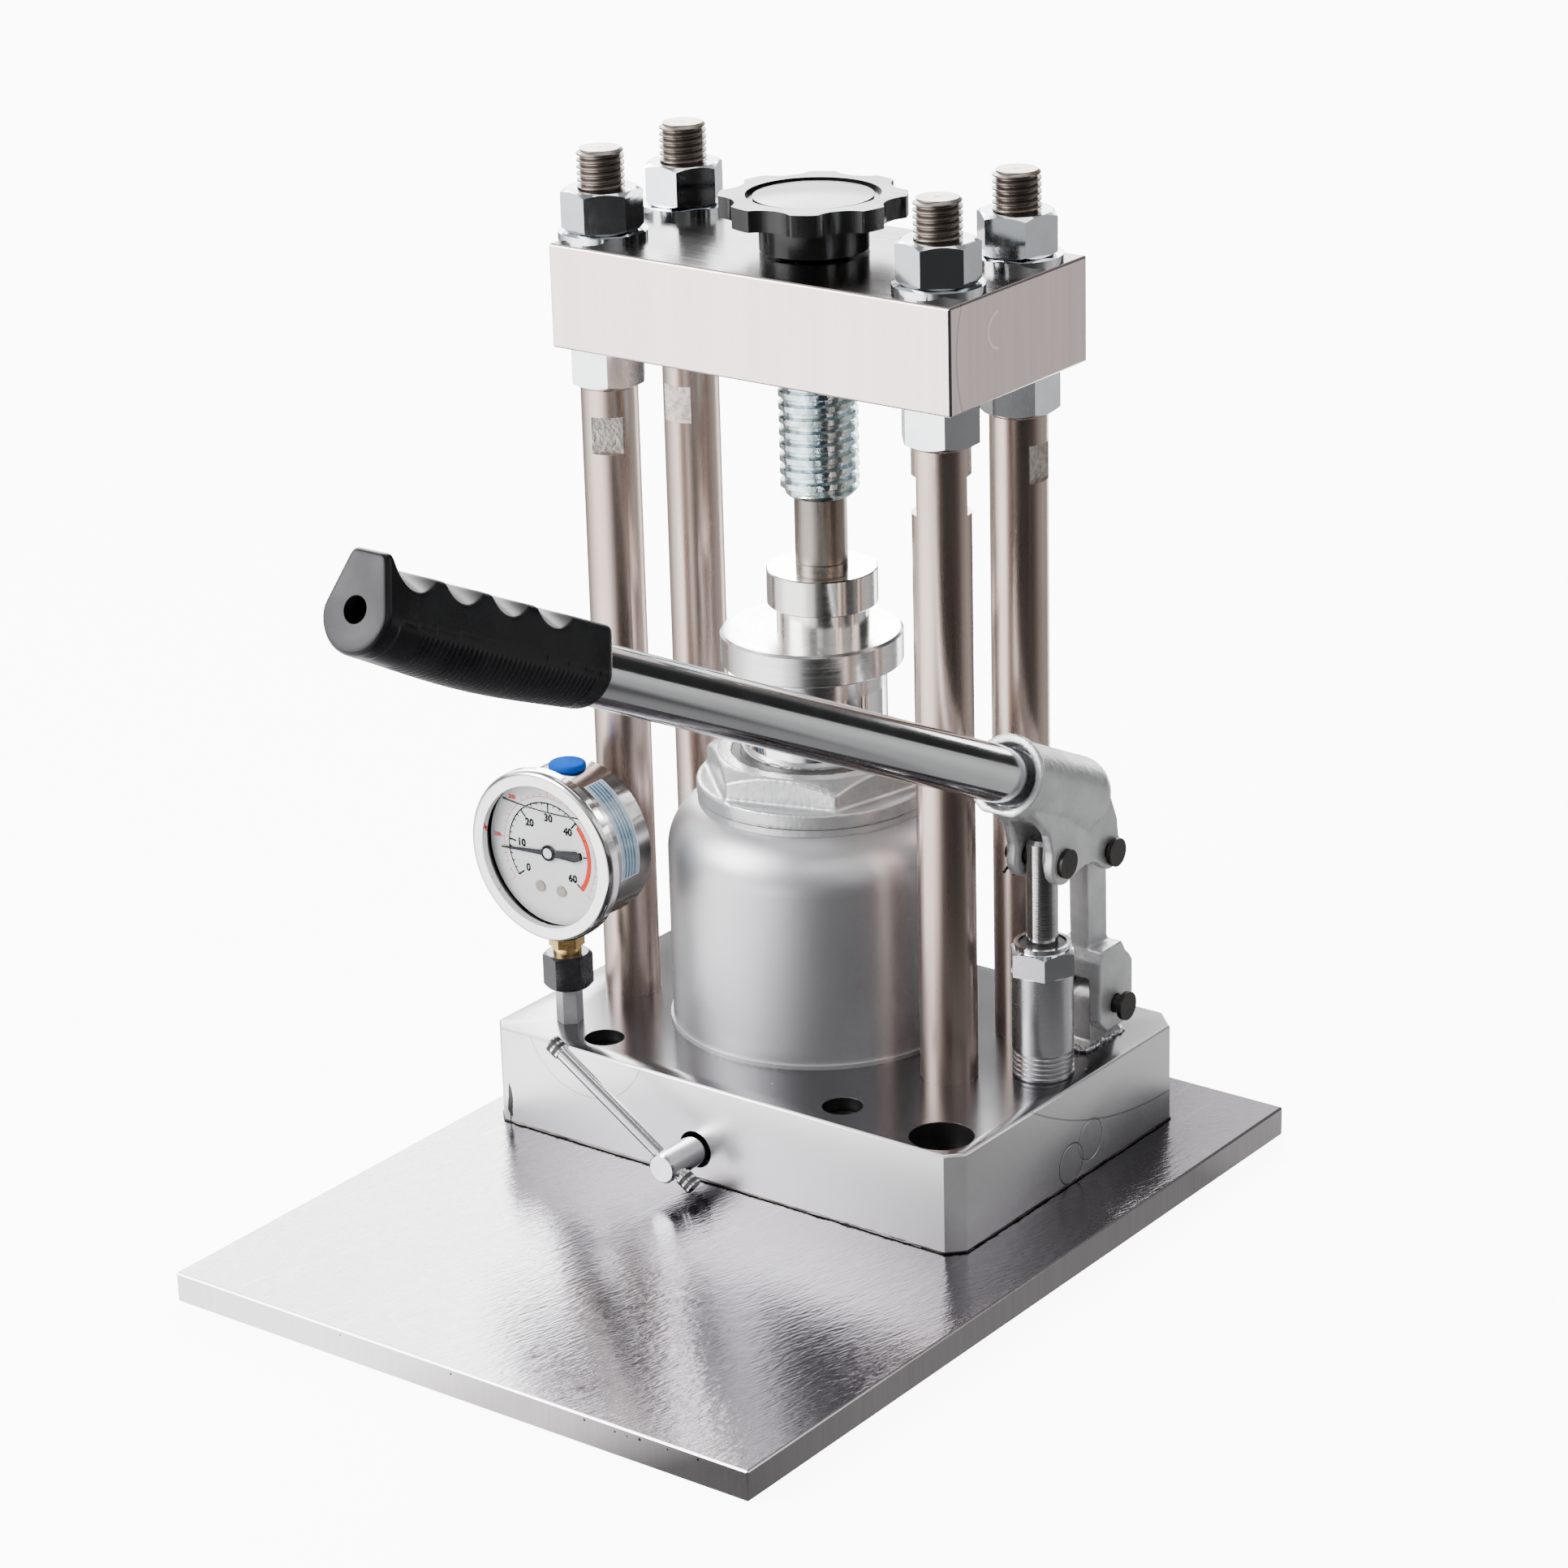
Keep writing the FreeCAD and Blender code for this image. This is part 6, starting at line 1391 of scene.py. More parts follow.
@dataclass
class Machined:
    """A machined piece, in metres: the CAD shape with its sharp edges broken, as a file leaves them."""

    node: str
    body: str
    slot: str
    finish: Finish
    width: float = 0.0005
    least: float = 40.0
    same_point: float = 0.000002
    same_plane: float = 0.5

    def build(self) -> bpy.types.Object:
        """Make the piece.

        Returns:
            The new object.
        """
        bm = bmesh.new()
        bm.from_mesh(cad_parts[self.node].data)
        bmesh.ops.remove_doubles(bm, verts=bm.verts, dist=self.same_point)
        bmesh.ops.dissolve_limit(bm, angle_limit=math.radians(self.same_plane), verts=bm.verts, edges=bm.edges)
        sharp = [edge for edge in bm.edges if len(edge.link_faces) == 2 and edge.is_convex
                 and edge.calc_face_angle(0.0) > math.radians(self.least)]
        bmesh.ops.bevel(bm, geom=sharp, offset=self.width, offset_type="OFFSET", segments=1, profile=0.5,
                        affect="EDGES", clamp_overlap=True)
        bmesh.ops.triangulate(bm, faces=[face for face in bm.faces if len(face.verts) > 4])
        mesh = finish_mesh(self.node, bm, FINE_MERGE)
        for name in ("custom_normal", "sharp_face", "sharp_edge"):
            if name in mesh.attributes:
                mesh.attributes.remove(mesh.attributes[name])
        return add_piece(self.node + "_edged", mesh, self.body, self.slot, (self.finish,), (self.node,), smooth=30.0)


@dataclass
class WeldBead:
    """Uneven bead laid along a closed path, in metres: weld, or a dark bead of painted shade in a joint."""

    name: str
    path: Sequence[Point]
    finish: Finish = WELD_PAINT
    slot: str = "silver_paint"
    radius: float = 0.0014
    uneven: float = 0.9
    sides: int = 10
    lump_reach: float = 0.001
    lump_scale: float = 420.0
    ripple_scale: float = 1100.0
    ripple_share: float = 0.5

    def build(self) -> bpy.types.Object:
        """Make the bead.

        Returns:
            The new object.
        """
        up = Vector((0.0, 0.0, 1.0))
        rows = []
        for i, point in enumerate(self.path):
            here = Vector(point)
            ahead = Vector(self.path[(i + 1) % len(self.path)]) - Vector(self.path[i - 1])
            across = ahead.normalized().cross(up)
            ripple = self.ripple_share * noise.noise(here * self.ripple_scale)
            row = []
            for k in range(self.sides):
                a = TURN * k / self.sides
                away = across * math.cos(a) + up * math.sin(a)
                lump = noise.noise((here + away * self.lump_reach) * self.lump_scale) + ripple
                row.append(tuple(here + away * self.radius * (1 + self.uneven * lump)))
            rows.append(row)
        bm = bmesh.new()
        skin(bm, rows + rows[:1], caps=(False, False))
        return add_piece(self.name, finish_mesh(self.name, bm), "frame", self.slot, (self.finish,), smooth=50.0)


# Lever


@dataclass
class Grip:
    """Rubber grip, in millimetres, in the level lever's own axes: reach from the plunger pin, height above it."""

    pin: Point = (104.0, -2.4, 138.4)
    rise: float = 26.2
    start: float = 300.6
    length: float = 116.4
    half: float = 13.2
    top: float = 16.0
    bottom: float = 12.6
    belly: float = 2.4
    belly_power: float = 1.3
    flat: float = 17.0
    start_round: float = 3.6
    end_round: float = 2.2
    softenings: int = 5
    collar_top: float = 20.0
    collar_flat: float = 14.0
    collar_length: float = 5.2
    collar_slope: float = 6.3
    hollows: int = 4
    hollow_pitch: float = 23.2
    hollow_first: float = 32.0
    hollow_radius: float = 13.0
    hollow_depth: float = 3.0
    hollow_tilt: float = 22.0
    hollow_ease: float = 0.35
    ribs: int = 36
    rib_first: float = 10.0
    rib_pitch: float = 2.45
    rib_depth: float = 0.95
    rib_flat: float = 0.2
    rib_below: float = 2.0
    rib_fade: float = 3.0
    seam_step: float = 0.45
    seam_below: float = 0.6
    seam_arch: float = 1.6
    seam_start: float = 3.0
    seam_end: float = 7.0
    hole: float = 4.4
    hole_rise: float = 1.4
    hole_depth: float = 3.9
    tube: float = 10.7
    mouth: float = 10.75
    sides: int = 120
    first_stations: tuple[float, ...] = (0.0, 0.15, 0.6, 1.4, 2.4, 3.6)
    last_stations: tuple[float, ...] = (2.2, 1.4, 0.7, 0.2, 0.0)
    stations_from: float = 4.2
    stations_until: float = 2.4
    stations_a_rib: int = 8
    plain_step: float = 0.7

    def place(self, x: float, reach: float, height: float) -> Point:
        """Put a point of the level lever where the tilted lever has it.

        Args:
            x: Distance to the right of the pin.
            reach: Distance in front of the pin.
            height: Distance above the pin.

        Returns:
            The point, in metres.
        """
        a = math.radians(LEVER_TILT)
        y = -reach
        turned_y = y * math.cos(a) - height * math.sin(a)
        turned_z = y * math.sin(a) + height * math.cos(a)
        return at(self.pin[0] + x, self.pin[1] + turned_y, self.pin[2] + turned_z)

    def shape(self, along: float) -> tuple[float, float, float, float, float]:
        """Sizes of the grip's section.

        Args:
            along: Distance from the grip's start.

        Returns:
            Half width, bottom, top, width of the flat on top, and how far the rounded ends draw it in.
        """
        left = self.length - along
        foot = self.length - self.collar_length - self.collar_slope
        rise = min(max((along - foot) / self.collar_slope, 0.0), 1.0)
        rise = rise * rise * (3 - 2 * rise)
        top = self.top + (self.collar_top - self.top) * rise
        flat = self.flat + (self.collar_flat - self.flat) * rise
        swell = math.sin(math.pi * min(along / self.length, 1.0)) ** self.belly_power
        inset = 0.0
        for edge, r in ((along, self.start_round), (left, self.end_round)):
            if edge < r:
                inset = max(inset, r - math.sqrt(max(r * r - (r - edge) ** 2, 0.0)))
        return self.half, self.bottom + self.belly * swell, top, flat, inset

    def outline(self, along: float) -> list[Pair]:
        """Points round the grip's section, from the right side over the top.

        Args:
            along: Distance from the grip's start.

        Returns:
            Across and up of each point.
        """
        half, bottom, top, flat, inset = self.shape(along)
        corners = [(half, -bottom + half), (flat / 2, top), (-flat / 2, top), (-half, -bottom + half)]
        points: list[Pair] = []
        share = self.sides // 6
        for (x0, z0), (x1, z1) in zip(corners, corners[1:]):
            points += [(x0 + (x1 - x0) * (i / share), z0 + (z1 - z0) * (i / share)) for i in range(share)]
        rest = self.sides - len(points)
        for i in range(rest):
            a = math.pi + math.pi * i / rest
            points.append((half * math.cos(a), -bottom + half + half * math.sin(a)))
        for _ in range(self.softenings):
            points = [((ax + 2 * bx + cx) / 4, (az + 2 * bz + cz) / 4) for (ax, az), (bx, bz), (cx, cz)
                      in zip(points[-1:] + points[:-1], points, points[1:] + points[:1])]
        middle = (top - bottom) / 2
        wide = (half - inset) / half
        tall = ((top + bottom) / 2 - inset) / ((top + bottom) / 2)
        return [(x * wide, middle + (z - middle) * tall) for x, z in points]

    def press(self, x: float, along: float, z: float) -> Pair:
        """Push a point in where a finger hollow, the seam's step or a rib's groove lies.

        Args:
            x: Its place across.
            along: Its distance from the grip's start.
            z: Its height.

        Returns:
            Its new place across and height.
        """
        tilt = math.radians(self.hollow_tilt)
        for i in range(self.hollows):
            off = along - (self.hollow_first + i * self.hollow_pitch)
            if abs(off) < self.hollow_radius:
                high = x * math.sin(tilt) + (z - self.top) * math.cos(tilt)
                floor = self.hollow_radius - self.hollow_depth / 2 - math.sqrt(self.hollow_radius ** 2 - off ** 2)
                over = high - floor
                if over > 0:
                    ease = over * over / (over + self.hollow_ease)
                    x -= ease * math.sin(tilt)
                    z -= ease * math.cos(tilt)
        centre = -self.bottom + self.half
        seam = centre - self.seam_below + self.seam_arch * math.sin(math.pi * along / self.length)
        if z < seam and self.seam_start < along < self.length - self.seam_end:
            x -= math.copysign(min(self.seam_step, abs(x)), x)
        below = centre - self.rib_below - z
        phase = (along - self.rib_first) / self.rib_pitch
        if below > 0 and 0 <= phase <= self.ribs:
            groove = (max(math.cos(TURN * phase), -self.rib_flat) + self.rib_flat) / (1 + self.rib_flat)
            deep = self.rib_depth * groove * min(below / self.rib_fade, 1.0)
            away = math.hypot(x, z - centre)
            x -= deep * x / away
            z -= deep * (z - centre) / away
        return x, z

    def _stations(self) -> list[float]:
        """Distances from the grip's start at which its section is taken, close together over the ribs.

        Returns:
            The distances.
        """
        stations = list(self.first_stations)
        along = self.stations_from
        while along < self.length - self.stations_until:
            stations.append(along)
            ribbed = along < self.rib_first + self.ribs * self.rib_pitch + 1
            along += self.rib_pitch / self.stations_a_rib if ribbed else self.plain_step
        return stations + [self.length - left for left in self.last_stations]

    def build(self) -> None:
        """Make the grip over its node."""
        rows = []
        for along in self._stations():
            pressed = [self.press(x, along, z) for x, z in self.outline(along)]
            rows.append([self.place(x, self.start + along, self.rise + z) for x, z in pressed])
        face = len(rows) - 2
        bm = bmesh.new()
        skin(bm, rows + self._end_rows(), caps=(False, False), material=lambda j, i: int(face <= j <= face + 2))
        skin(bm, [self._circle(self.outline(0.0), self.mouth, 0.0, self.start), rows[0]], caps=(False, False))
        add_piece("handle_grip_ribbed", finish_mesh("handle_grip", bm), "lever", "black_rubber",
                  (GRIP_RUBBER, GRIP_END), ("handle_grip",), smooth=45.0)

    def _circle(self, rim: list[Pair], radius: float, rise: float, reach: float) -> list[Point]:
        """Round ring with a point for each point of a section.

        Args:
            rim: The section.
            radius: The ring's radius.
            rise: Height of its middle in the section.
            reach: Its distance from the pin.

        Returns:
            The ring's points, in metres.
        """
        ring = []
        for x, z in rim:
            a = math.atan2(z - rise, x)
            ring.append(self.place(radius * math.cos(a), reach, self.rise + rise + radius * math.sin(a)))
        return ring

    def _end_rows(self) -> list[list[Point]]:
        """Rings from the end face's rim into its hole and back through the wall.

        Returns:
            The rings.
        """
        rim = self.outline(self.length)
        end = self.start + self.length
        edge = self._circle(rim, self.hole, self.hole_rise, end)
        outer = [self.place(x, end, self.rise + z) for x, z in rim]
        halfway = [tuple((a + b) / 2 for a, b in zip(near, far)) for near, far in zip(edge, outer)]
        deep = self._circle(rim, self.hole, self.hole_rise, end - self.hole_depth)
        angles = [math.atan2(z - self.hole_rise, x) for x, z in rim]
        inner = [self.place(self.tube * math.cos(a), end - self.hole_depth, self.rise + self.tube * math.sin(a))
                 for a in angles]
        return [halfway, edge, deep, inner]


@dataclass
class Lever:
    """The lever: cast socket, chrome tube, grip, pins and cotters, and the link under it."""

    grip: Grip = field(default_factory=Grip)
    lug_voxel: float = 0.0005
    lug_rounds: int = 3

    def build(self) -> None:
        """Make and dress the lever's pieces."""
        Casting("lever_socket", "lever", "silver_paint", CAST_PAINT).build()
        Casting("pump_link", "link", "silver_paint", CAST_PAINT).build()
        Casting("link_lug", "frame", "silver_paint", CAST_PAINT, self.lug_voxel, self.lug_rounds).build()
        self.grip.build()
        dress("handle_tube", TUBE_CHROME)
        for node in ("lever_pins", "lever_cotters", "link_lower_pin", "link_cotter"):
            dress(node, BLACK_STEEL)


# Gauge


@dataclass(frozen=True)
class Scale:
    """One scale on the dial, in millimetres; its marks run outward from its radius, or inward if negative."""

    ink: Ink
    radius: float
    long_mark: float
    short_mark: float
    long_half_width: float
    short_half_width: float
    arc: float
    numbers: range
    times: int
    number_radius: float
    number_size: float


@dataclass
class Gauge:
    """The pressure gauge and what is printed on its dial, in millimetres and degrees."""

    x: float = -76.2
    z: float = 124.9
    face: float = -72.6
    zero_angle: float = 218.0
    step_angle: float = 4.2667
    scale_end: int = 60
    scale_step: int = 2
    long_step: int = 10
    scales: tuple[Scale, ...] = (
        Scale(Ink.BLACK, radius=20.4, long_mark=-3.8, short_mark=-1.5, long_half_width=0.42, short_half_width=0.26,
              arc=0.6, numbers=range(0, 61, 10), times=1, number_radius=14.0, number_size=4.2),
        Scale(Ink.RED, radius=22.6, long_mark=2.2, short_mark=1.1, long_half_width=0.14, short_half_width=0.14,
              arc=0.18, numbers=range(10, 60, 10), times=10, number_radius=26.2, number_size=2.3))
    band: Pair = (18.5, 20.6)
    band_start: int = 41
    ink_lift: float = 0.04
    number_lift: float = 0.05
    band_lift: float = 0.06
    bar_step: float = 3.0
    stroke: float = 0.055
    liquid_level: float = 17.6
    liquid_reach: float = 22.5
    liquid_rows: tuple[Pair, ...] = ((0.0, 1.0), (0.85, 1.1))
    liquid_sag: float = 1.6
    liquid_steps: int = 24
    liquid_lift: float = 0.05
    hub_cap: Pair = (0.05, 2.1)
    hub_ring: Pair = (2.1, 3.0)
    film_radius: float = 31.58
    film_front: float = -67.9
    film_depths: tuple[float, ...] = (0.0, 0.5, 2.3, 3.1, 4.1, 4.9, 5.9, 6.6, 7.5, 8.3, 10.4, 10.9)
    film_ends: tuple[float, ...] = (-13.0, -12.2, 62.2, 63.0)
    film_steps: int = 30

    def angle(self, value: float) -> float:
        """Angle on the dial, in degrees from +X, of a scale value."""
        return self.zero_angle - self.step_angle * value

    def flat(self, radius: float, degrees: float, lift: float) -> Point:
        """Point on the dial.

        Args:
            radius: Its distance from the dial's middle.
            degrees: Its angle from +X.
            lift: Its height over the enamel.

        Returns:
            The point, in metres.
        """
        a = math.radians(degrees)
        return at(self.x + radius * math.cos(a), self.face - lift, self.z + radius * math.sin(a))

    def bar(self, bm: bmesh.types.BMesh, radii: Pair, start: float, end: float, lift: float) -> None:
        """Add a thin curved patch.

        Args:
            bm: The mesh to add to.
            radii: Its inner and outer radius.
            start: Its first angle.
            end: Its last angle.
            lift: Its height over the enamel.
        """
        steps = max(1, int(abs(end - start) / self.bar_step))
        rows = [[self.flat(r, start + (end - start) * i / steps, lift) for i in range(steps + 1)] for r in radii]
        skin(bm, rows, closed=False)

    def _scale(self, scale: Scale) -> None:
        """Print a scale's marks and its arc.

        Args:
            scale: The scale.
        """
        bm = bmesh.new()
        for value in range(0, self.scale_end + 1, self.scale_step):
            long = value % self.long_step == 0
            length = scale.long_mark if long else scale.short_mark
            wide = math.degrees((scale.long_half_width if long else scale.short_half_width) / scale.radius)
            inner, outer = sorted((scale.radius, scale.radius + length))
            degrees = self.angle(value)
            self.bar(bm, (inner, outer), degrees - wide, degrees + wide, self.ink_lift)
        first, last = self.angle(0), self.angle(self.scale_end)
        self.bar(bm, (scale.radius - scale.arc, scale.radius), first, last, self.ink_lift)
        if scale.ink is Ink.RED:
            self.bar(bm, self.band, self.angle(self.band_start), last, self.band_lift)
        name = "scale_" + scale.ink.value
        add_piece("gauge_" + name, finish_mesh(name, bm, FINE_MERGE), "frame", "pointer_black", (INKS[scale.ink],))

    def _number(self, scale: Scale, value: int) -> None:
        """Print a number on the dial.

        Args:
            scale: The scale that it belongs to.
            value: The value on the black scale that it stands at.
        """
        text = str(scale.times * value)
        curve = bpy.data.curves.new("number_" + text, "FONT")
        curve.body = text
        curve.size = scale.number_size * MM
        curve.align_x = "CENTER"
        curve.align_y = "CENTER"
        curve.resolution_u = 3
        curve.offset = self.stroke * scale.number_size * MM
        holder = bpy.data.objects.new("number_" + text, curve)
        bpy.context.scene.collection.objects.link(holder)
        bpy.context.view_layer.update()
        mesh = bpy.data.meshes.new_from_object(holder)
        bpy.data.objects.remove(holder)
        middle = Vector(self.flat(scale.number_radius, self.angle(value), self.number_lift))
        mesh.transform(Matrix.Translation(middle) @ Matrix.Rotation(math.radians(90), 4, "X"))
        mesh.materials.clear()
        add_piece("gauge_number_" + text, mesh, "frame", "pointer_black", (INKS[scale.ink],))

    def _filling(self) -> None:
        """Lay the curved line of the gauge's liquid on the dial."""
        rows = []
        for offset, depth in self.liquid_rows:
            row = []
            for i in range(self.liquid_steps + 1):
                t = -1 + 2 * i / self.liquid_steps
                z = self.liquid_level + offset - self.liquid_sag * (1 - t * t) * depth
                row.append(at(self.x + self.liquid_reach * t, self.face - self.liquid_lift, self.z + z))
            rows.append(row)
        bm = bmesh.new()
        skin(bm, rows, closed=False)
        mesh = finish_mesh("gauge_liquid_line", bm, FINE_MERGE)
        add_piece("gauge_liquid_line", mesh, "frame", "pointer_black", (COUPLING_BLACK,))

    def _hub(self) -> None:
        """Put a white cap on the pointer's hub, in a black ring."""
        lift = self.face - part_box("gauge_pointer")[0][1] / MM + self.ink_lift
        for name, radii, finish, slot in (
                ("gauge_hub_cap", self.hub_cap, DIAL_ENAMEL, "dial_white"),
                ("gauge_hub_ring", self.hub_ring, INKS[Ink.BLACK], "pointer_black")):
            bm = bmesh.new()
            self.bar(bm, radii, 0.0, 180.0, lift)
            self.bar(bm, radii, 180.0, 360.0, lift)
            add_piece(name, finish_mesh(name, bm, FINE_MERGE), "pointer", slot, (finish,))

    def _film(self) -> None:
        """Lay a film on the case's side: a pale field with a border and plain lines, and no words."""
        low, first, last, high = self.film_ends
        angles = [low] + [first + (last - first) * i / self.film_steps for i in range(self.film_steps + 1)] + [high]
        r = self.film_radius
        rows = [[at(self.x + r * math.cos(math.radians(a)), self.film_front + depth,
                    self.z + r * math.sin(math.radians(a))) for a in angles] for depth in self.film_depths]

        def area(j: int, i: int) -> Film:
            """Area of the film that a face lies in.

            Args:
                j: The face's row, from the front.
                i: Its place in the row.

            Returns:
                The area.
            """
            if i in (0, len(angles) - 2) or j in (0, len(rows) - 2):
                return Film.BORDER
            return Film.FIELD if j % 2 else Film.LINE

        bm = bmesh.new()
        skin(bm, rows, closed=False, material=area)
        mesh = finish_mesh("gauge_side_film", bm, FINE_MERGE)
        add_piece("gauge_side_film", mesh, "frame", "dial_white", FILM_COLOURS)

    def build(self) -> None:
        """Make the print and dress the gauge."""
        for scale in self.scales:
            self._scale(scale)
        for scale in self.scales:
            for value in scale.numbers:
                self._number(scale, value)
        self._filling()
        self._hub()
        self._film()
        dress("gauge_lens", glass("gauge_window_glass", (0.97, 0.98, 0.98), 0.02, 1.07))
        for node, finish in (
                ("gauge_dial", DIAL_ENAMEL), ("gauge_pointer", POINTER_BLACK), ("gauge_filler_plug", BLUE_RUBBER),
                ("gauge_coupling_nut", COUPLING_BLACK), ("gauge_adapter", CAST_PAINT),
                ("gauge_bezel", GAUGE_STEEL), ("gauge_case", CASE_STEEL), ("gauge_dial_screws", DARK_STEEL),
                ("gauge_stem", BRASS), ("gauge_movement", BRASS), ("gauge_bourdon_tube", BRASS)):
            dress(node, finish)


# Frame, tank, pump and valve


@dataclass
class Body:
    """The frame, tank, pump and valve, in metres."""

    finishes: dict[str, Finish] = field(default_factory=lambda: {
        "base_plate": PLATE_STEEL, "pump_block": SILVER_PAINT, "block_screws": BLACK_STEEL,
        "passage_plugs": SILVER_PAINT, "column_lower_nuts": ZINC, "column_top_nuts": ZINC,
        "column_washers": ZINC, "crosshead": HEAD_STEEL, "die_ring": DIE_STEEL, "die_base": DIE_STEEL,
        "ram_head": TABLE_STEEL, "ram": RAM_CHROME, "ram_seal": SEAL_RUBBER, "inner_cylinder": PUMP_STEEL,
        "tank": TANK_PAINT, "tank_seals": CAST_PAINT, "gland_wiper": SEAL_RUBBER,
        "pump_cylinder": PUMP_STEEL, "pump_gland_nut": ZINC, "pump_packing": SEAL_RUBBER,
        "pump_plunger": PLUNGER_STEEL, "check_balls": ZINC, "valve_springs": DARK_STEEL,
        "relief_screw": BLACK_STEEL, "release_spindle": BAR_CHROME, "release_packing": SEAL_RUBBER,
        "release_bar": BAR_CHROME, "release_bar_rings": SEAL_RUBBER})
    edged: tuple[tuple[str, str, str, float], ...] = (
        ("base_plate", "frame", "bare_plate", 0.0004), ("pump_block", "frame", "silver_paint", 0.0007),
        ("crosshead", "frame", "milled_steel", 0.0004))
    front_corner: float = 0.006
    back_corner: float = 0.009
    nut_voxel: float = 0.0009
    nut_rounds: int = 2
    lug_steps: int = 24
    # The dark bead round the block's foot, which is painted shade in the joint: its points on each long side, its
    # radius, how uneven it is and its sides.
    foot_shade_steps: int = 60
    foot_shade_radius: float = 0.0005
    foot_shade_uneven: float = 0.7
    foot_shade_sides: int = 6
    foot_lift: float = 0.0004
    least_side: float = 0.000001

    def build(self) -> None:
        """Dress the nodes and soften the castings."""
        for node, finish in self.finishes.items():
            dress(node, finish)
        Casting("gland_nut", "frame", "silver_paint", CAST_PAINT, self.nut_voxel, self.nut_rounds).build()
        for node, body, slot, width in self.edged:
            Machined(node, body, slot, self.finishes[node], width).build()
        WeldBead("lug_weld", self.round_foot("link_lug", self.lug_steps)).build()
        # The dark bead round the block's foot is painted shade: it stands in for the shadow in the joint between the
        # block and the plate.
        seam = self.round_foot("pump_block", self.foot_shade_steps, self.front_corner, self.back_corner)
        WeldBead("block_foot_painted_shade", seam, BLACK_STEEL, "dark_steel", self.foot_shade_radius, self.foot_shade_uneven,
                 self.foot_shade_sides).build()

    def round_foot(self, node: str, steps: int, front: float = 0.0, back: float = 0.0) -> list[Point]:
        """Points round the foot of a node's box, in metres.

        Args:
            node: The CAD node.
            steps: Points on each long side.
            front: Size of the cut corners at the front.
            back: Size of the cut corners at the back.

        Returns:
            The points, anticlockwise from the front left.
        """
        (x0, y0, z0), (x1, y1, _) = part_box(node)
        corners = ((x0 + front, y0), (x1 - front, y0), (x1, y0 + front), (x1, y1 - back), (x1 - back, y1),
                   (x0 + back, y1), (x0, y1 - back), (x0, y0 + front))
        path = []
        for (ax, ay), (bx, by) in zip(corners, corners[1:] + corners[:1]):
            if abs(bx - ax) + abs(by - ay) > self.least_side:
                count = max(1, round(steps * math.hypot(bx - ax, by - ay) / (x1 - x0)))
                path += [(ax + (bx - ax) * i / count, ay + (by - ay) * i / count, z0 + self.foot_lift)
                         for i in range(count)]
        return path


# Studio


@dataclass(frozen=True)
class SoftBox:
    """One soft square light."""

    name: str
    place: Point
    size: float
    power: float


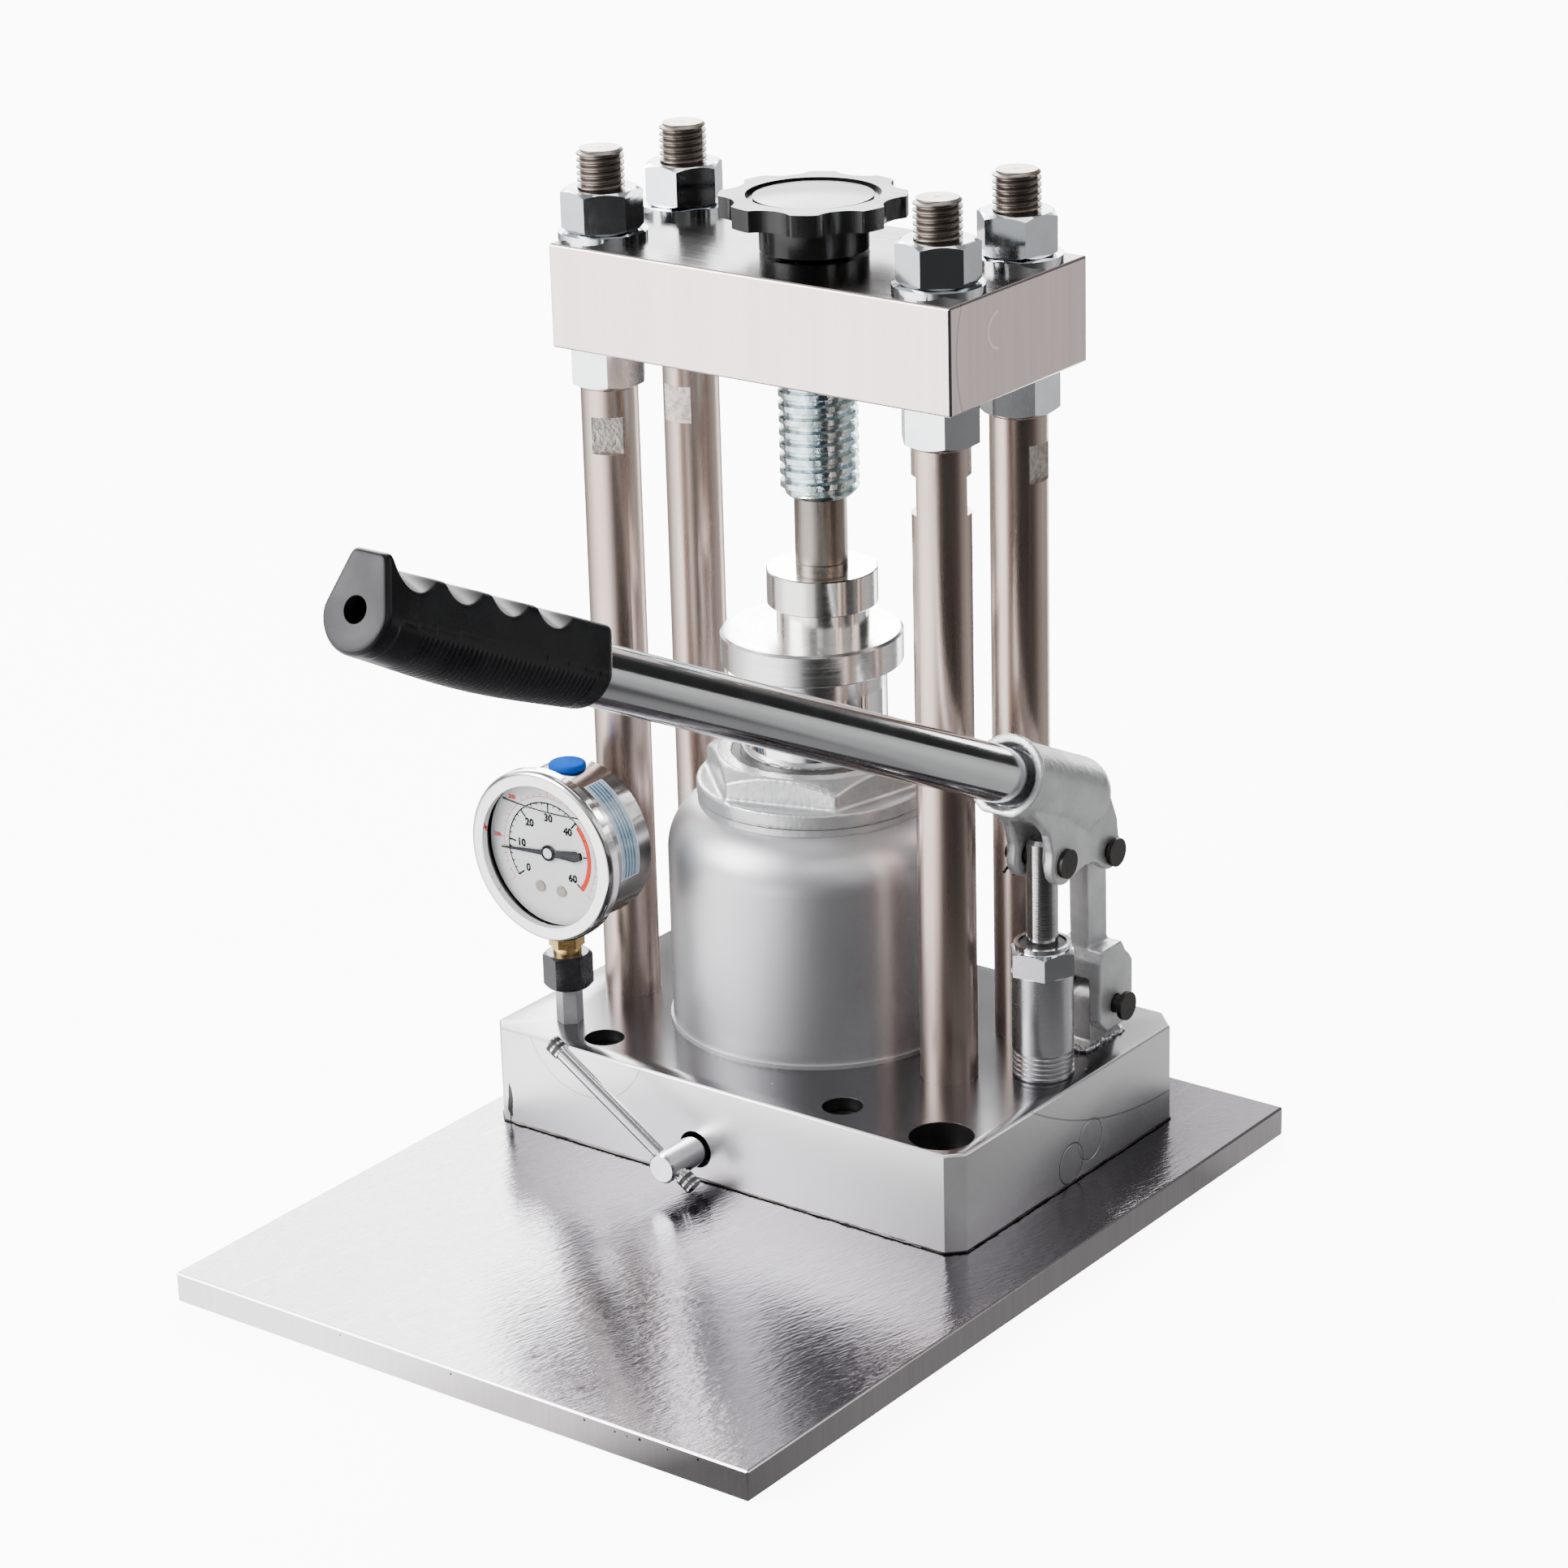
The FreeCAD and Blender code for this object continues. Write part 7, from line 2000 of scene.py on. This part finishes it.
@dataclass
class Studio:
    """Camera, floor and light; a brightness by direction is keyed by degrees from +X."""

    azimuth: float = 37.23
    elevation: float = 20.79
    roll: float = -1.56
    eye: Point = (0.9845, -1.3187, 0.77067)
    lens: float = 104.89
    sensor: float = 36.0
    nearest: float = 0.05
    farthest: float = 30.0
    floor_radius: float = 9.0
    floor_sides: int = 64
    floor_drop: float = 0.0004
    floor_colour: Colour = (0.80, 0.80, 0.80)
    floor_glow: float = 9.0
    near_glow: float = 0.30
    near_rim: Pair = (0.22, 0.42)
    low_cards: dict[int, float] = field(default_factory=lambda: {
        -180: 0.9, -155: 2.4, -130: 4.8, -98: 4.8, -80: 2.0, -64: 0.16, -48: 0.04, -18: 0.05, 6: 0.12,
        26: 0.5, 50: 0.75, 70: 0.5, 88: 0.3, 112: 0.9, 140: 0.6, 162: 0.4})
    high_cards: dict[int, float] = field(default_factory=lambda: {
        -180: 1.2, -150: 3.5, -127: 8.5, -105: 5.0, -84: 0.7, -60: 0.6, -20: 1.8, 10: 1.2, 40: 0.3,
        55: 0.1, 80: 0.15, 98: 1.0, 110: 14.0, 130: 32.0, 158: 12.0})
    horizon: float = 0.2
    horizon_rim: Pair = (0.235, 0.34)
    ceiling: float = 0.3
    ceiling_rim: Pair = (0.5, 0.85)
    flag_direction: float = 126.7
    flag_distance: float = 0.30
    flag_top: float = 0.245
    flag_slope: float = 0.6
    flag_slope_end: float = 0.08
    flag_fade: float = 0.03
    flag_steps: int = 8
    flag_levels: tuple[Pair, ...] = (
        (-0.13, 1.2), (-0.07, 0.7), (-0.02, 1.2), (0.04, 0.6), (0.09, 0.8), (0.13, 0.4), (0.17, 3.0), (0.33, 8.0))
    boxes: tuple[SoftBox, ...] = (
        SoftBox("key", (-1.1, -1.5, 1.3), 1.3, 70.0), SoftBox("side", (1.5, 0.9, 1.0), 0.8, 5.0),
        SoftBox("top", (0.0, 0.2, 1.9), 1.2, 10.0))
    aim: Point = (0.0, 0.0, 0.15)

    def camera(self) -> None:
        """Set the camera where the photograph was taken from."""
        a, e, r = (math.radians(v) for v in (self.azimuth, self.elevation, self.roll))
        back = Vector((math.sin(a) * math.cos(e), -math.cos(a) * math.cos(e), math.sin(e)))
        right = Vector((math.cos(a), math.sin(a), 0))
        up = back.cross(right)
        side = math.cos(r) * right + math.sin(r) * up
        top = -math.sin(r) * right + math.cos(r) * up
        data = bpy.data.cameras.new("photo_camera")
        data.lens = self.lens
        data.sensor_width = self.sensor
        data.clip_start = self.nearest
        data.clip_end = self.farthest
        camera = bpy.data.objects.new("photo_camera", data)
        turn = Matrix((side, top, back)).transposed().to_4x4()
        camera.matrix_world = Matrix.Translation(self.eye) @ turn
        bpy.context.scene.collection.objects.link(camera)
        bpy.context.scene.camera = camera

    @staticmethod
    def _ramp(tree: Tree, share: Socket, levels: Sequence[Pair]) -> Socket:
        """Brightness that changes softly from level to level.

        Args:
            tree: The tree to add to.
            share: What it changes with, from 0 to 1.
            levels: Place and brightness of each level, in order.

        Returns:
            The brightness as a colour.
        """
        node = tree.add("ShaderNodeValToRGB")
        tree.feed(node.inputs[0], share)
        ramp = node.color_ramp
        ramp.interpolation = "EASE"
        for _ in range(len(levels) - 2):
            ramp.elements.new(0.5)
        for element, (position, level) in zip(ramp.elements, levels):
            element.position = position
            element.color = rgba((level,) * 3)
        return node.outputs[0]

    def _round_view(self, tree: Tree, place: Socket, cards: dict[int, float]) -> Socket:
        """Brightness by the compass direction of a vector.

        Args:
            tree: The tree to add to.
            place: The vector.
            cards: Brightness at each direction from -180 to 179.

        Returns:
            The brightness as a colour.
        """
        x, y, _ = tree.split(place)
        around = tree.maths("ARCTAN2", y, x)
        share = tree.maths("ADD", tree.maths("DIVIDE", around, TURN), 0.5)
        items = sorted(cards.items())
        seam = items[0][1]
        levels = [(0.0, seam)] + [((degrees + 180) / 360, level) for degrees, level in items[1:]] + [(1.0, seam)]
        return self._ramp(tree, share, levels)

    def _floor_material(self) -> bpy.types.Material:
        """Pale floor for the camera, and bright and dark cards for what mirrors it.

        Returns:
            The material.
        """
        made, tree, surface = new_material("pale_floor")
        soft = tree.add("ShaderNodeBsdfDiffuse")
        soft.inputs["Color"].default_value = rgba(self.floor_colour)
        glow = tree.add("ShaderNodeEmission")
        glow.inputs["Color"].default_value = (1.0, 1.0, 1.0, 1.0)
        glow.inputs["Strength"].default_value = self.floor_glow
        seen = tree.fill(tree.add("ShaderNodeAddShader"), soft.outputs[0], glow.outputs[0])
        place = tree.add("ShaderNodeTexCoord").outputs["Object"]
        near = tree.inverse(tree.spread(tree.vector_maths("LENGTH", place), *self.near_rim))
        lit = tree.maths("MULTIPLY", near, self.near_glow)
        mirrored = tree.add("ShaderNodeEmission")
        cards = self._round_view(tree, place, self.low_cards)
        tree.feed(mirrored.inputs["Color"], tree.blend(1.0, cards, lit, "LIGHTEN"))
        path = tree.add("ShaderNodeLightPath")
        plain = tree.mix_shaders(path.outputs["Is Camera Ray"], soft.outputs[0], seen)
        tree.feed(surface, tree.mix_shaders(path.outputs["Is Glossy Ray"], plain, mirrored.outputs[0]))
        return made

    def floor(self) -> None:
        """Lay the floor."""
        bm = bmesh.new()
        bmesh.ops.create_circle(bm, cap_ends=True, segments=self.floor_sides, radius=self.floor_radius)
        mesh = plain_mesh("floor", bm)
        mesh.materials.append(self._floor_material())
        floor = bpy.data.objects.new("floor", mesh)
        floor.location = (0.0, 0.0, -self.floor_drop)
        bpy.context.scene.collection.objects.link(floor)

    def _flag_material(self, across: Vector) -> bpy.types.Material:
        """Uneven dim glow with soft left and top rims.

        Args:
            across: The direction along the flag.

        Returns:
            The material.
        """
        first = self.flag_levels[0][0]
        width = self.flag_levels[-1][0] - first
        made, tree, surface = new_material("dim_flag")
        place = tree.add("ShaderNodeTexCoord").outputs["Object"]
        along = tree.vector_maths("DOT_PRODUCT", place, tuple(across))
        share = tree.maths("DIVIDE", tree.maths("SUBTRACT", along, first), width)
        levels = [((position - first) / width, level) for position, level in self.flag_levels]
        glow = tree.add("ShaderNodeEmission")
        tree.feed(glow.inputs["Color"], self._ramp(tree, share, levels))
        clear = tree.add("ShaderNodeBsdfTransparent")
        raised = tree.maths("MINIMUM", tree.maths("MAXIMUM", along, 0.0), self.flag_slope_end)
        level = tree.maths("SUBTRACT", tree.split(place)[2], tree.maths("MULTIPLY", raised, self.flag_slope))
        rim = tree.spread(level, self.flag_top - self.flag_fade, self.flag_top)
        left = tree.inverse(tree.spread(along, first, first + self.flag_fade))
        hidden = tree.maths("MAXIMUM", rim, left)
        tree.feed(surface, tree.mix_shaders(hidden, glow.outputs[0], clear.outputs[0]))
        return made

    def flag(self) -> None:
        """Stand a dim card behind the press, seen only in what the plate and the block mirror."""
        a = math.radians(self.flag_direction)
        away = Vector((math.cos(a), math.sin(a), 0.0))
        across = Vector((math.sin(a), -math.cos(a), 0.0))
        first = self.flag_levels[0][0]
        width = self.flag_levels[-1][0] - first
        rows = []
        for height in (0.0, self.flag_top / 2, self.flag_top + self.flag_slope * self.flag_slope_end):
            foot = away * self.flag_distance + Vector((0.0, 0.0, height))
            rows.append([tuple(foot + across * (first + width * i / self.flag_steps))
                         for i in range(self.flag_steps + 1)])
        bm = bmesh.new()
        skin(bm, rows, closed=False)
        mesh = plain_mesh("dim_flag", bm)
        mesh.materials.append(self._flag_material(across))
        card = bpy.data.objects.new("dim_flag", mesh)
        bpy.context.scene.collection.objects.link(card)
        card.visible_camera = False
        card.visible_diffuse = False
        card.visible_shadow = False
        card.visible_transmission = False

    def lights(self) -> None:
        """Hang the soft boxes."""
        for box in self.boxes:
            data = bpy.data.lights.new(box.name, "AREA")
            data.shape = "SQUARE"
            data.size = box.size
            data.energy = box.power
            lamp = bpy.data.objects.new(box.name, data)
            lamp.location = box.place
            lamp.rotation_mode = "QUATERNION"
            lamp.rotation_quaternion = (Vector(self.aim) - Vector(box.place)).to_track_quat("-Z", "Y")
            bpy.context.scene.collection.objects.link(lamp)

    def room(self) -> None:
        """Surround the press with a room whose brightness differs by direction; the camera sees it white."""
        world = bpy.data.worlds.new("studio")
        bpy.context.scene.world = world
        world.use_nodes = True
        tree = Tree(world.node_tree)
        end = tree.add("ShaderNodeOutputWorld")
        place = tree.add("ShaderNodeTexCoord").outputs["Generated"]
        height = tree.split(place)[2]
        low = tree.spread(height, *self.horizon_rim)
        dim = tree.maths("ADD", tree.maths("MULTIPLY", low, 1.0 - self.horizon), self.horizon)
        walls = tree.blend(1.0, self._round_view(tree, place, self.high_cards), dim, "MULTIPLY")
        sky = tree.add("ShaderNodeBackground")
        high = tree.spread(height, *self.ceiling_rim)
        tree.feed(sky.inputs["Color"], tree.blend(high, walls, rgba((self.ceiling,) * 3)))
        plain = tree.add("ShaderNodeBackground")
        plain.inputs["Strength"].default_value = self.floor_glow
        seen = tree.add("ShaderNodeLightPath").outputs["Is Camera Ray"]
        tree.feed(end.inputs["Surface"], tree.mix_shaders(seen, sky.outputs[0], plain.outputs[0]))

    def build(self) -> None:
        """Set up the whole studio."""
        self.camera()
        self.floor()
        self.flag()
        self.lights()
        self.room()


def main() -> None:
    """Build every sub-assembly in order."""
    logging.basicConfig(level=logging.INFO, format="%(name)s: %(message)s")
    for part in (Studio(), Body(), Columns(), PressScrew(), Lever(), Gauge()):
        LOG.info("building %s", type(part).__name__)
        part.build()


if __name__ == "__main__":
    main()
